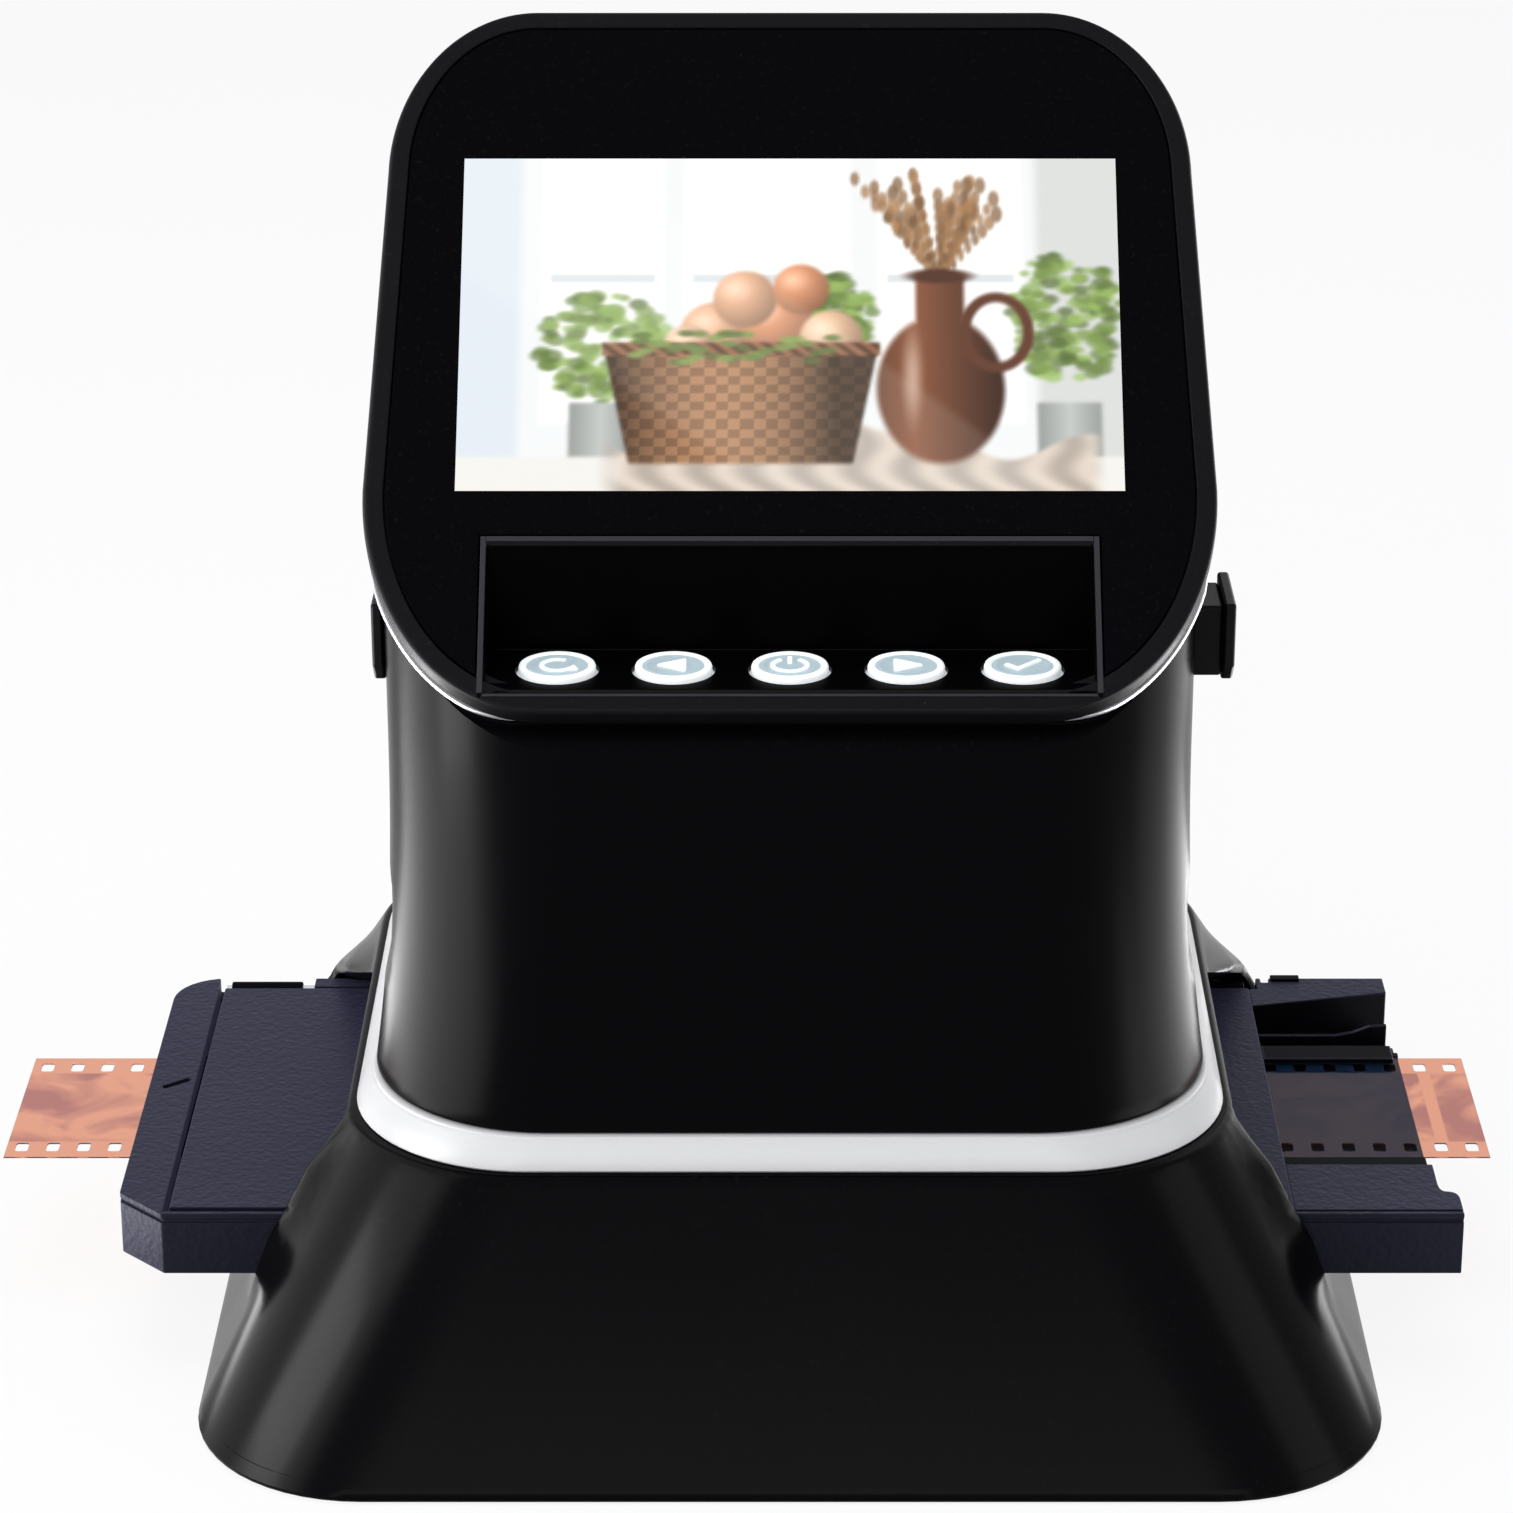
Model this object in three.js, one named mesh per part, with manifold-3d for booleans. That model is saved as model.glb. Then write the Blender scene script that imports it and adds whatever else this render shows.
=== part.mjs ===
// Film negative scanner: flared base, tower with a slanted screen head, and a film tray that slides
// through the base from side to side. Millimetres, +X to the viewer's right, +Y away, +Z up.
// The scanner is built about its own middle plane. At the end it moves right by the film's shift, so
// that the origin is under the middle of the whole box, on the surface the scanner stands on.

import * as THREE from 'three';
import { mergeVertices } from 'three/addons/utils/BufferGeometryUtils.js';
import Module from 'manifold-3d';

const wasm = await Module();
wasm.setup();

// Clearances
const GAP = 0.3; // between two pieces cut to fit each other
const RUNNING = 0.4; // beside a piece that moves
const OVERRUN = 2; // how far a cut runs past the material

// Fineness of round stretches, in steps
const CORNER_STEPS = 6;
const ROUND_STEPS = 14;

// Film strip
const FILM_LENGTH = 228;
const FILM_WIDTH = 35;
const FILM_THICKNESS = 0.2;
const FILM_SHIFT = -6.6; // its middle lies left of the scanner's middle
const PERFORATION_PITCH = 4.75;
const PERFORATION_LENGTH = 1.98;
const PERFORATION_WIDTH = 2.8;
const PERFORATION_MARGIN = 2;

// Film tray
const TRAY_LENGTH = 198;
const TRAY_DEPTH = 84;
const TRAY_HEIGHT = 10;
const TRAY_BOTTOM = 15.8; // above the standing surface
const TRAY_END_BLOCK = 6.6; // solid block at the left end
const TRAY_FRONT_RIM = 1.6;
const TRAY_REAR_RIM = 3.4;
const TRAY_CORNER_ROUND = 8;
const TRAY_CHAMFER_X = 6;
const TRAY_CHAMFER_Y = 7;
const TRAY_BEVEL_X = 1;
const TRAY_BEVEL_Z = 2.4;
const TRAY_OPEN_END = 23.9; // length at the right end that the cover leaves free
const TRAY_FLOOR_SHORT = 1.6; // the floor stops this far short of the front bar
const FRONT_BAR_WIDTH = 17.6;
const REAR_POCKET_WIDTH = 12.4;
const REAR_POCKET_DEPTH = 8;
const REAR_STEP_WIDTH = 6;
const REAR_STEP_DEPTH = 4.6;
const CHANNEL_WALL = 1.2;
const GATE_LENGTH = 37;
const GATE_WIDTH = 25;
const MARK_LENGTH = 5;
const MARK_WIDTH = 0.8;
const MARK_DEPTH = 0.6;
const MARK_ANGLE = 25; // degrees

// Tray cover and its hinge
const COVER_THICKNESS = 2.6;
const COVER_MARGIN = 0.5;
const HINGE_PIN_RADIUS = 0.65;
const HINGE_PIN_PLAY = 0.15;
const KNUCKLE_RADIUS = 1.25;
const KNUCKLE_LENGTH = 11.6;
const KNUCKLE_SLOT = 2;
const SLOT_DEPTH = 2.4;
const knucklePlaceShares = [-0.866, -0.1, 0.62]; // of half the tray's length

// Base
const BASE_WIDTH = 176;
const BASE_DEPTH = 162;
const BASE_TOP = 40.6; // above the standing surface
const BASE_LEDGE_X = 0.9; // shows around the collar, left and right
const BASE_LEDGE_Y = 1; // the same, front and rear
const BASE_CORNER = 26;
const BASE_WALL = 2.8;
const BASE_LIFT = 1; // of the rim above the standing surface
const BASE_EDGE = 0.9; // rounding of the rim
const DECK_THICKNESS = 2.5;
const DECK_WINDOW_WIDTH = 54;
const DECK_WINDOW_DEPTH = 48;
const BASE_POST_RADIUS = 4;
const BASE_POST_INSET = 30; // from the base's side
const TUNNEL_MARGIN = 0.7;
const TUNNEL_RIM = 1.2; // left above the tunnel's mouth
const TUNNEL_FRONT_LEAN = 6.2;
const TUNNEL_REAR_LEAN = 29.7;

// Bottom plate, feet and screws
const PLATE_THICKNESS = 3;
const PLATE_RISE = 0.2; // above the base's rim
const PLATE_RECESS = 1.6;
const FOOT_RADIUS = 7;
const FOOT_INSET_X = 18; // from the base's side
const FOOT_INSET_Y = 33; // from the base's front or rear
const SCREW_HEAD_RADIUS = 2.8;
const SCREW_HEAD_HEIGHT = 1.4;
const SCREW_RADIUS = 1.2;
const SCREW_LENGTH = 8;
const SCREW_CROSS_LENGTH = 3.2;
const SCREW_CROSS_WIDTH = 0.7;
const SCREW_CROSS_DEPTH = 0.7;

// Collar between base and tower
const COLLAR_HEIGHT = 5.1;
const COLLAR_SLOPE_X = 2.6; // how far it draws in on each side
const COLLAR_SLOPE_Y = 1.6; // the same, front and rear
const COLLAR_LEDGE = 0.5; // shows around the tower's foot

// Tower and head
const TOWER_WIDTH = 116.4;
const TOWER_DEPTH = 113.8;
const TOWER_CORNER = 26.4;
const TOWER_WALL = 2.5;
const TOWER_TOP_DRAW = 2.7; // how far each side leans in at the very top
const TOWER_FOOT_FLARE = 3.4; // how far each side stands out at the foot
const TOWER_FOOT_DRAW = 1.1; // how far front and rear draw in at the foot
const TOWER_FLARE_POWER = 2.5;
const FLARE_STEPS = 5;
const TOWER_FLARE_TOP = 102.5; // above the standing surface
const TOWER_SKIRT = 2; // thickness of the skirt that stands on the deck
const TOWER_SKIRT_INSET = 5.1;
const SHOULDER_HEIGHT = 136; // above the standing surface
const TOWER_SPLIT = 30; // the rear cover starts this far behind the middle
const ROOF_BACK = 150; // height of the rear edge above the standing surface
const ROOF_ROUND = 14;

// Slanted face of the head. Its own frame has x to the right, y up the slope, z outwards.
const FACE_ANGLE = 45; // degrees
const FACE_LIP_OVERHANG = 1; // of the lip past the tower's front
const FACE_LIP_Z = 112.1;
const FACE_LENGTH = 112.5;
const FACE_SIDE_OVERHANG = 1.7; // past each side of the tower
const FACE_TOP_DRAW = 2; // how far each side draws in at the top
const FACE_LOW_ROUND_X = 25.4;
const FACE_LOW_ROUND_Y = 34.5;
const FACE_TOP_ROUND_X = 21.3;
const FACE_TOP_ROUND_Y = 27.2;
const BEZEL_THICKNESS = 4;
const BEZEL_RING = 3;
const BEZEL_OVERHANG = 1.4;
const TRIM_THICKNESS = 0.6;
const TRIM_RING = 2.2;
const TRIM_INSET = 0.5;
const GLASS_THICKNESS = 1.3;
const GLASS_SINK = 0.2;

// Screen
const SCREEN_SIDE_MARGIN = 10.9; // from the face's side
const SCREEN_LOW_MARGIN = 32.5; // from the lip
const SCREEN_TOP_MARGIN = 23; // from the face's top
const SCREEN_THICKNESS = 3.2;
const BRACKET_MARGIN = 3.2;
const BRACKET_THICKNESS = 1.5;
const BRACKET_BOSS_RADIUS = 1.4;

// Button recess and buttons
const RECESS_SIDE_MARGIN = 17.3; // from the face's side
const RECESS_LIP = 3.4; // up the slope from the lip to the recess floor
const RECESS_DEPTH = 15.7; // front to back
const RECESS_WALL = 1;
const BUTTON_SPACE = 4.75; // between two buttons
const BUTTON_SIDE_MARGIN = 9.9; // from the recess's side to the first button's middle
const BUTTON_SETBACK = 8; // from the recess's front edge
const BUTTON_PROUD = 0.8;
const BUTTON_FLANGE = 1;
const BUTTON_STEM_RADIUS = 2;
const BUTTON_STEM_LENGTH = 1.6;
const BUTTON_TRAVEL = 0.8;
const KEY_BOARD_OVERHANG = 0.9; // past the recess on each side
const KEY_BOARD_DEPTH = 7;
const BOARD_THICKNESS = 1.6;
const BOARD_POST_RADIUS = 1.6;
const SWITCH_SIDE = 6;
const SWITCH_HEIGHT = 3.2;
const SWITCH_PLUNGER_RADIUS = 1.6;
const SWITCH_PLUNGER_HEIGHT = 0.8;
const BUTTON_NAMES = ['mode', 'left', 'power', 'right', 'confirm'];

// Selector bar through the head, with a plate on each end
const SELECTOR_SETBACK = 33.9; // from the lip
const SELECTOR_Z = 111.8;
const SELECTOR_BAR_DEPTH = 10.6;
const SELECTOR_BAR_HEIGHT = 10.7;
const SELECTOR_PLATE_DEPTH = 14.2;
const SELECTOR_PLATE_HEIGHT = 12.6;
const SELECTOR_PLATE_THICKNESS = 1.7;
const SELECTOR_PLATE_CHAMFER = 3;
const SELECTOR_TRAVEL = 3.9;

// Bay for the sockets in each side wall
const BAY_BOTTOM = 64.2; // above the standing surface
const BAY_HEIGHT = 9.8;
const BAY_LENGTH = 25;
const BAY_SETBACK = 36.4; // from the tower's front to the bay's middle

// Boards and sockets
const MAIN_BOARD_SIDE_ROOM = 2.2; // to the tower's wall
const MAIN_BOARD_SETBACK = 18.9; // from the tower's front
const MAIN_BOARD_REAR = 26;
const MAIN_BOARD_DROP = 0.6; // its top lies this far below the bays
const SOCKET_SETBACK = 0.3; // from the wall's inner face
const CARD_SOCKET_LENGTH = 26;
const CARD_SOCKET_WIDTH = 25;
const CARD_SOCKET_HEIGHT = 3.4;
const CARD_WIDTH = 22;
const CARD_MOUTH_HEIGHT = 2;
const SOCKET_WALL = 0.6;
const USB_WIDTH = 9;
const USB_HEIGHT = 3.3;
const USB_LENGTH = 7.5;
const VIDEO_WIDTH = 11.4;
const VIDEO_HEIGHT = 3.6;
const VIDEO_LENGTH = 10;

// Light hood, camera and lens
const HOOD_FLANGE_SIDE_ROOM = 2; // to the tower's skirt
const HOOD_FLANGE_FRONT_ROOM = 11.7; // to the tower's skirt, front and rear
const HOOD_FLANGE_THICKNESS = 1.9;
const HOOD_WIDTH = 48;
const HOOD_DEPTH = 40;
const HOOD_TOP_WIDTH = 28;
const HOOD_TOP_DEPTH = 24;
const HOOD_HEIGHT = 47.4;
const HOOD_WALL = 1.6;
const HOOD_CORNER = 2;
const HOOD_POST_RADIUS = 3;
const HOOD_POST_INSET = 7.5;
const CAMERA_BRACKET_WIDTH = 40;
const CAMERA_BRACKET_DEPTH = 32;
const CAMERA_BRACKET_THICKNESS = 2;
const CAMERA_POST_HEIGHT = 8;
const CAMERA_POST_RADIUS = 1.5;
const CAMERA_BOARD_WIDTH = 32;
const CAMERA_BOARD_DEPTH = 30;
const LENS_RADIUS = 7;
const LENS_FLANGE_RADIUS = 9;
const LENS_FLANGE_HEIGHT = 2.4;
const LENS_BORE_RADIUS = 5;
const LENS_LENGTH = 16;
const LENS_ROOF = 4;
const LENS_GLASS_SINK = 1.4;
const LENS_GLASS_THICKNESS = 2.4;
const LENS_GLASS_BULGE = 0.7;
const LENS_GLASS_PLAY = 0.1;

// Lamp and tray bed
const BED_WIDTH = 128;
const BED_OVERHANG = 4; // of the bed past the tray, front and rear
const BED_THICKNESS = 2.5;
const BED_LEG_RADIUS = 3.5;
const BED_LEG_X = 54;
const BED_LEG_Y = 37;
const LAMP_WINDOW_WIDTH = 46;
const LAMP_WINDOW_DEPTH = 34;
const LAMP_LEDGE = 3;
const DIFFUSER_THICKNESS = 1.6;
const LAMP_BOARD_WIDTH = 60;
const LAMP_BOARD_DEPTH = 44;
const LAMP_POST_HEIGHT = 2;
const LAMP_POST_RADIUS = 2;
const LAMP_POST_INSET = 4;
const LED_SIDE = 3;
const LED_HEIGHT = 0.8;
const LED_PITCH = 16;
const GUIDE_LENGTH = 124;
const GUIDE_WALL = 2.5;
const GUIDE_LIP = 1;
const GUIDE_LIP_THICKNESS = 1.8;

// Ribbons
const RIBBON_THICKNESS = 0.4;
const RIBBON_WIDTH = 12;
const RIBBON_FOOT = 5;

// Worked out from the sizes above
const trayTop = TRAY_BOTTOM + TRAY_HEIGHT;
const trayHalf = TRAY_LENGTH / 2;
const trayHalfDepth = TRAY_DEPTH / 2;
const filmTop = trayTop - COVER_THICKNESS - GAP;
const filmBottom = filmTop - FILM_THICKNESS;
const channelHalf = FILM_WIDTH / 2 + RUNNING;
const coverLeft = -trayHalf + TRAY_END_BLOCK + COVER_MARGIN;
const coverRight = trayHalf - TRAY_OPEN_END;
const coverFront = -trayHalfDepth + TRAY_FRONT_RIM + COVER_MARGIN;
const coverRear = trayHalfDepth - TRAY_REAR_RIM - COVER_MARGIN;
const hingeY = trayHalfDepth - TRAY_REAR_RIM / 2;
const hingeZ = trayTop - KNUCKLE_RADIUS;
const towerFoot = BASE_TOP + COLLAR_HEIGHT;
const towerFootWidth = TOWER_WIDTH + 2 * TOWER_FOOT_FLARE;
const towerFootDepth = TOWER_DEPTH - 2 * TOWER_FOOT_DRAW;
const collarTopWidth = towerFootWidth + 2 * COLLAR_LEDGE;
const collarTopDepth = towerFootDepth + 2 * COLLAR_LEDGE;
const collarWidth = collarTopWidth + 2 * COLLAR_SLOPE_X;
const collarDepth = collarTopDepth + 2 * COLLAR_SLOPE_Y;
const baseTopWidth = collarWidth + 2 * BASE_LEDGE_X;
const baseTopDepth = collarDepth + 2 * BASE_LEDGE_Y;
const skirtWidth = collarTopWidth - 2 * TOWER_SKIRT_INSET;
const skirtDepth = collarTopDepth - 2 * TOWER_SKIRT_INSET;
const towerTopWidth = TOWER_WIDTH - 2 * TOWER_TOP_DRAW;
const faceLipY = -TOWER_DEPTH / 2 - FACE_LIP_OVERHANG;
const faceWidth = TOWER_WIDTH + 2 * FACE_SIDE_OVERHANG;
const faceTopWidth = faceWidth - 2 * FACE_TOP_DRAW;
const screenWidth = faceWidth - 2 * SCREEN_SIDE_MARGIN;
const screenHeight = FACE_LENGTH - SCREEN_LOW_MARGIN - SCREEN_TOP_MARGIN;
const screenMiddle = SCREEN_LOW_MARGIN + screenHeight / 2; // up the slope from the lip
const recessWidth = faceWidth - 2 * RECESS_SIDE_MARGIN;
const buttonPitch = (recessWidth - 2 * BUTTON_SIDE_MARGIN) / (BUTTON_NAMES.length - 1);
const buttonRadius = (buttonPitch - BUTTON_SPACE) / 2;
const keyBoardWidth = recessWidth + 2 * KEY_BOARD_OVERHANG;
const selectorY = faceLipY + SELECTOR_SETBACK;
const bayMiddle = -TOWER_DEPTH / 2 + BAY_SETBACK;
const mainBoardWidth = TOWER_WIDTH - 2 * (TOWER_WALL + MAIN_BOARD_SIDE_ROOM);
const mainBoardFront = -TOWER_DEPTH / 2 + MAIN_BOARD_SETBACK;
const hoodFlangeWidth = skirtWidth - 2 * (TOWER_SKIRT + HOOD_FLANGE_SIDE_ROOM);
const hoodFlangeDepth = skirtDepth - 2 * (TOWER_SKIRT + HOOD_FLANGE_FRONT_ROOM);
const bedDepth = TRAY_DEPTH + 2 * BED_OVERHANG;
const basePostX = BASE_WIDTH / 2 - BASE_POST_INSET;
const basePostY = (bedDepth / 2 + BASE_DEPTH / 2 - BASE_WALL) / 2; // midway from bed to wall
const footX = BASE_WIDTH / 2 - FOOT_INSET_X;
const footY = BASE_DEPTH / 2 - FOOT_INSET_Y;
const towerTop = FACE_LIP_Z + FACE_LENGTH;
const plateBottom = BASE_LIFT + PLATE_RISE;
const plateTop = plateBottom + PLATE_THICKNESS;
const recessCeiling = plateBottom + PLATE_RECESS;
const bedTop = TRAY_BOTTOM - GAP;
const slope = THREE.MathUtils.degToRad(FACE_ANGLE);
const recessFloor = FACE_LIP_Z + RECESS_LIP * Math.sin(slope);
const recessFront = faceLipY + RECESS_LIP * Math.cos(slope);
const recessRear = recessFront + RECESS_DEPTH;
const buttonY = recessFront + BUTTON_SETBACK;
const recessUnder = recessFloor - RECESS_WALL;
const buttonFlangeTop = recessUnder - RUNNING;
const buttonFoot = buttonFlangeTop - BUTTON_FLANGE - BUTTON_STEM_LENGTH;
const flangeRadius = buttonRadius + RUNNING + BUTTON_FLANGE;
const switchTop = buttonFoot - BUTTON_TRAVEL - RUNNING;
const keyBoardTop = switchTop - SWITCH_PLUNGER_HEIGHT - SWITCH_HEIGHT;
const shellFaceDrop = BEZEL_THICKNESS + TRIM_THICKNESS + 2 * GAP;
const mainBoardTop = BAY_BOTTOM - MAIN_BOARD_DROP;
const hoodFlangeTop = BASE_TOP + HOOD_FLANGE_THICKNESS;
const hoodTop = BASE_TOP + HOOD_HEIGHT;
const cameraBoardBottom = hoodTop + CAMERA_BRACKET_THICKNESS + CAMERA_POST_HEIGHT;
const faceFrame = new THREE.Matrix4()
  .makeRotationX(slope)
  .setPosition(0, faceLipY, FACE_LIP_Z);

// Finishes
const finish = (color, roughness, metalness = 0) =>
  new THREE.MeshStandardMaterial({ color, roughness, metalness });
const glossBlack = finish(0x08080a, 0.2);
const satinBlack = finish(0x101014, 0.4);
const trayPlastic = finish(0x26262f, 0.55);
const whiteTrim = finish(0xe9e9ec, 0.35);
const silverTrim = finish(0xb9bcc2, 0.3, 0.6);
const screenGlass = finish(0x050506, 0.05);
const screenPanel = finish(0xdfe2dc, 0.4);
const keyPlastic = finish(0xc3d2d8, 0.4);
const steel = finish(0xb8b8bc, 0.3, 1);
const boardGreen = finish(0x1c5a36, 0.5);
const socketMetal = finish(0xa8abb0, 0.35, 0.9);
const rubber = finish(0x1a1a1a, 0.85);
const lampWhite = finish(0xf4f4f0, 0.5);
const filmBase = finish(0xc4724f, 0.25);
const lensGlass = finish(0x1b2430, 0.05);
const ribbonBrown = finish(0x8a5a2c, 0.45);

/** Turns a closed geometry into a solid that can be cut and joined. */
function solidOf(geometry) {
  const bare = geometry.clone();
  bare.deleteAttribute('normal');
  bare.deleteAttribute('uv');
  const merged = mergeVertices(bare);
  return new wasm.Manifold(new wasm.Mesh({
    numProp: 3,
    vertProperties: new Float32Array(merged.attributes.position.array),
    triVerts: new Uint32Array(merged.index.array),
  }));
}

function geometryOf(solid) {
  const mesh = solid.getMesh();
  const geometry = new THREE.BufferGeometry();
  geometry.setAttribute('position', new THREE.BufferAttribute(mesh.vertProperties, 3));
  geometry.setIndex(new THREE.BufferAttribute(mesh.triVerts, 1));
  geometry.computeVertexNormals();
  return geometry;
}

const join = (...solids) => solids.reduce((all, next) => all.add(next));
const cut = (solid, ...tools) => tools.reduce((rest, tool) => rest.subtract(tool), solid);

function block(x0, x1, y0, y1, z0, z1) {
  const geometry = new THREE.BoxGeometry(x1 - x0, y1 - y0, z1 - z0);
  return solidOf(geometry.translate((x0 + x1) / 2, (y0 + y1) / 2, (z0 + z1) / 2));
}

/** A block that is as wide on both sides of x and of y. */
const slab = (width, depth, z0, z1, x = 0, y = 0) =>
  block(x - width / 2, x + width / 2, y - depth / 2, y + depth / 2, z0, z1);

function pillar(radius, x, y, z0, z1) {
  const geometry = new THREE.CylinderGeometry(radius, radius, z1 - z0, ROUND_STEPS);
  return solidOf(geometry.rotateX(Math.PI / 2).translate(x, y, (z0 + z1) / 2));
}

function rodAlongX(radius, x0, x1, y, z) {
  const geometry = new THREE.CylinderGeometry(radius, radius, x1 - x0, ROUND_STEPS);
  return solidOf(geometry.rotateZ(Math.PI / 2).translate((x0 + x1) / 2, y, z));
}

function rodAlongY(radius, x, y0, y1, z) {
  const geometry = new THREE.CylinderGeometry(radius, radius, y1 - y0, ROUND_STEPS);
  return solidOf(geometry.translate(x, (y0 + y1) / 2, z));
}

const extrude = (shape, depth) => new THREE.ExtrudeGeometry(shape, {
  depth,
  bevelEnabled: false,
  curveSegments: CORNER_STEPS,
});

/** Prism along X whose outline is drawn as [y, z] points or as a shape. */
function prismAlongX(outline, x0, x1) {
  const shape = Array.isArray(outline)
    ? new THREE.Shape(outline.map(([y, z]) => new THREE.Vector2(y, z)))
    : outline;
  const geometry = extrude(shape, x1 - x0);
  const axes = new THREE.Matrix4().makeBasis(
    new THREE.Vector3(0, 1, 0), new THREE.Vector3(0, 0, 1), new THREE.Vector3(1, 0, 0));
  return solidOf(geometry.applyMatrix4(axes).translate(x0, 0, 0));
}

/** Points of one rounded rectangle, anticlockwise. */
function ringPoints({ halfWidth, halfDepth, radius, z }) {
  const points = [];
  for (let corner = 0; corner < 4; corner++) {
    const sideX = corner === 0 || corner === 3 ? 1 : -1;
    const sideY = corner < 2 ? 1 : -1;
    for (let step = 0; step <= CORNER_STEPS; step++) {
      const angle = (corner + step / CORNER_STEPS) * Math.PI / 2;
      points.push(
        sideX * (halfWidth - radius) + radius * Math.cos(angle),
        sideY * (halfDepth - radius) + radius * Math.sin(angle),
        z);
    }
  }
  return points;
}

/** Closed solid through rounded rectangles listed from bottom to top. */
function loft(rings) {
  const count = 4 * (CORNER_STEPS + 1);
  const positions = rings.flatMap(ringPoints);
  const bottomCentre = rings.length * count;
  positions.push(0, 0, rings[0].z, 0, 0, rings[rings.length - 1].z);
  const faces = [];
  for (let point = 0; point < count; point++) {
    const next = (point + 1) % count;
    for (let ring = 0; ring < rings.length - 1; ring++) {
      const low = ring * count;
      const high = low + count;
      faces.push(low + point, low + next, high + next, low + point, high + next, high + point);
    }
    const last = (rings.length - 1) * count;
    faces.push(bottomCentre, next, point, bottomCentre + 1, last + point, last + next);
  }
  const geometry = new THREE.BufferGeometry();
  geometry.setAttribute('position', new THREE.Float32BufferAttribute(positions, 3));
  geometry.setIndex(faces);
  return solidOf(geometry);
}

const ring = (width, depth, radius, z) =>
  ({ halfWidth: width / 2, halfDepth: depth / 2, radius, z });

const inset = (rings, wall) => rings.map(({ halfWidth, halfDepth, radius, z }) =>
  ({ halfWidth: halfWidth - wall, halfDepth: halfDepth - wall, radius: radius - wall, z }));

/** The four places that mirror one place in x and y. */
const fourCorners = (x, y) => [[-x, -y], [x, -y], [-x, y], [x, y]];

function piece(name, shape, material) {
  const geometry = shape.isBufferGeometry ? shape : geometryOf(shape);
  const mesh = new THREE.Mesh(geometry, material);
  mesh.name = name;
  return mesh;
}

// Base

/** Outer rings of the base; the walls run straight from the rim to the top. */
function baseRings() {
  return [
    ring(BASE_WIDTH - 2 * BASE_EDGE, BASE_DEPTH - 2 * BASE_EDGE, BASE_CORNER - BASE_EDGE, BASE_LIFT),
    ring(BASE_WIDTH, BASE_DEPTH, BASE_CORNER, BASE_LIFT + BASE_EDGE),
    ring(baseTopWidth, baseTopDepth, BASE_CORNER, BASE_TOP),
  ];
}

/** Width and depth of the base's outside at one height. */
function baseAt(z) {
  const share = (z - BASE_LIFT - BASE_EDGE) / (BASE_TOP - BASE_LIFT - BASE_EDGE);
  return {
    width: THREE.MathUtils.lerp(BASE_WIDTH, baseTopWidth, share),
    depth: THREE.MathUtils.lerp(BASE_DEPTH, baseTopDepth, share),
  };
}

function baseCavity() {
  const low = baseAt(BASE_LIFT - OVERRUN);
  const high = baseAt(BASE_TOP - DECK_THICKNESS);
  return loft(inset([
    ring(low.width, low.depth, BASE_CORNER, BASE_LIFT - OVERRUN),
    ring(high.width, high.depth, BASE_CORNER, BASE_TOP - DECK_THICKNESS),
  ], BASE_WALL));
}

/** The mouth that the tray slides through, cut in one side wall. */
function tunnelMouth(side) {
  const half = trayHalfDepth + TUNNEL_MARGIN;
  const top = BASE_TOP - TUNNEL_RIM;
  const outline = [
    [-half, TRAY_BOTTOM - TUNNEL_MARGIN],
    [half, TRAY_BOTTOM - TUNNEL_MARGIN],
    [half, trayTop + TUNNEL_MARGIN],
    [half - TUNNEL_REAR_LEAN, top],
    [-half + TUNNEL_FRONT_LEAN, top],
    [-half, trayTop + TUNNEL_MARGIN],
  ];
  const inner = baseTopWidth / 2 - 2 * BASE_WALL;
  const outer = BASE_WIDTH / 2 + OVERRUN;
  return side > 0 ? prismAlongX(outline, inner, outer) : prismAlongX(outline, -outer, -inner);
}

function baseShell() {
  const outside = loft(baseRings());
  let shell = cut(
    outside,
    baseCavity(),
    tunnelMouth(-1),
    tunnelMouth(1),
    slab(DECK_WINDOW_WIDTH, DECK_WINDOW_DEPTH, BASE_TOP - DECK_THICKNESS - OVERRUN, BASE_TOP + OVERRUN));
  for (const [x, y] of fourCorners(basePostX, basePostY)) {
    const post = pillar(BASE_POST_RADIUS, x, y, plateTop, BASE_TOP - DECK_THICKNESS / 2);
    shell = join(shell, post.intersect(outside));
    const holeTop = recessCeiling + SCREW_LENGTH + GAP;
    shell = cut(shell, pillar(SCREW_RADIUS + GAP, x, y, plateTop - OVERRUN, holeTop));
  }
  return piece('base_shell', shell, glossBlack);
}

function bottomPlate() {
  const room = baseAt(plateTop);
  const width = room.width - 2 * (BASE_WALL + GAP);
  const depth = room.depth - 2 * (BASE_WALL + GAP);
  const radius = BASE_CORNER - BASE_WALL - GAP;
  let plate = loft([ring(width, depth, radius, plateBottom), ring(width, depth, radius, plateTop)]);
  for (const [x, y] of fourCorners(footX, footY)) {
    plate = cut(plate, pillar(FOOT_RADIUS + GAP, x, y, plateBottom - OVERRUN, recessCeiling));
  }
  for (const [x, y] of fourCorners(basePostX, basePostY)) {
    plate = cut(
      plate,
      pillar(SCREW_HEAD_RADIUS + GAP, x, y, plateBottom - OVERRUN, recessCeiling),
      pillar(SCREW_RADIUS + GAP, x, y, plateBottom, plateTop + OVERRUN));
  }
  for (const [x, y] of lampPosts()) {
    const root = plateTop - PLATE_THICKNESS / 2;
    plate = join(plate, pillar(LAMP_POST_RADIUS, x, y, root, plateTop + LAMP_POST_HEIGHT));
  }
  return piece('bottom_plate', plate, satinBlack);
}

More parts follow.
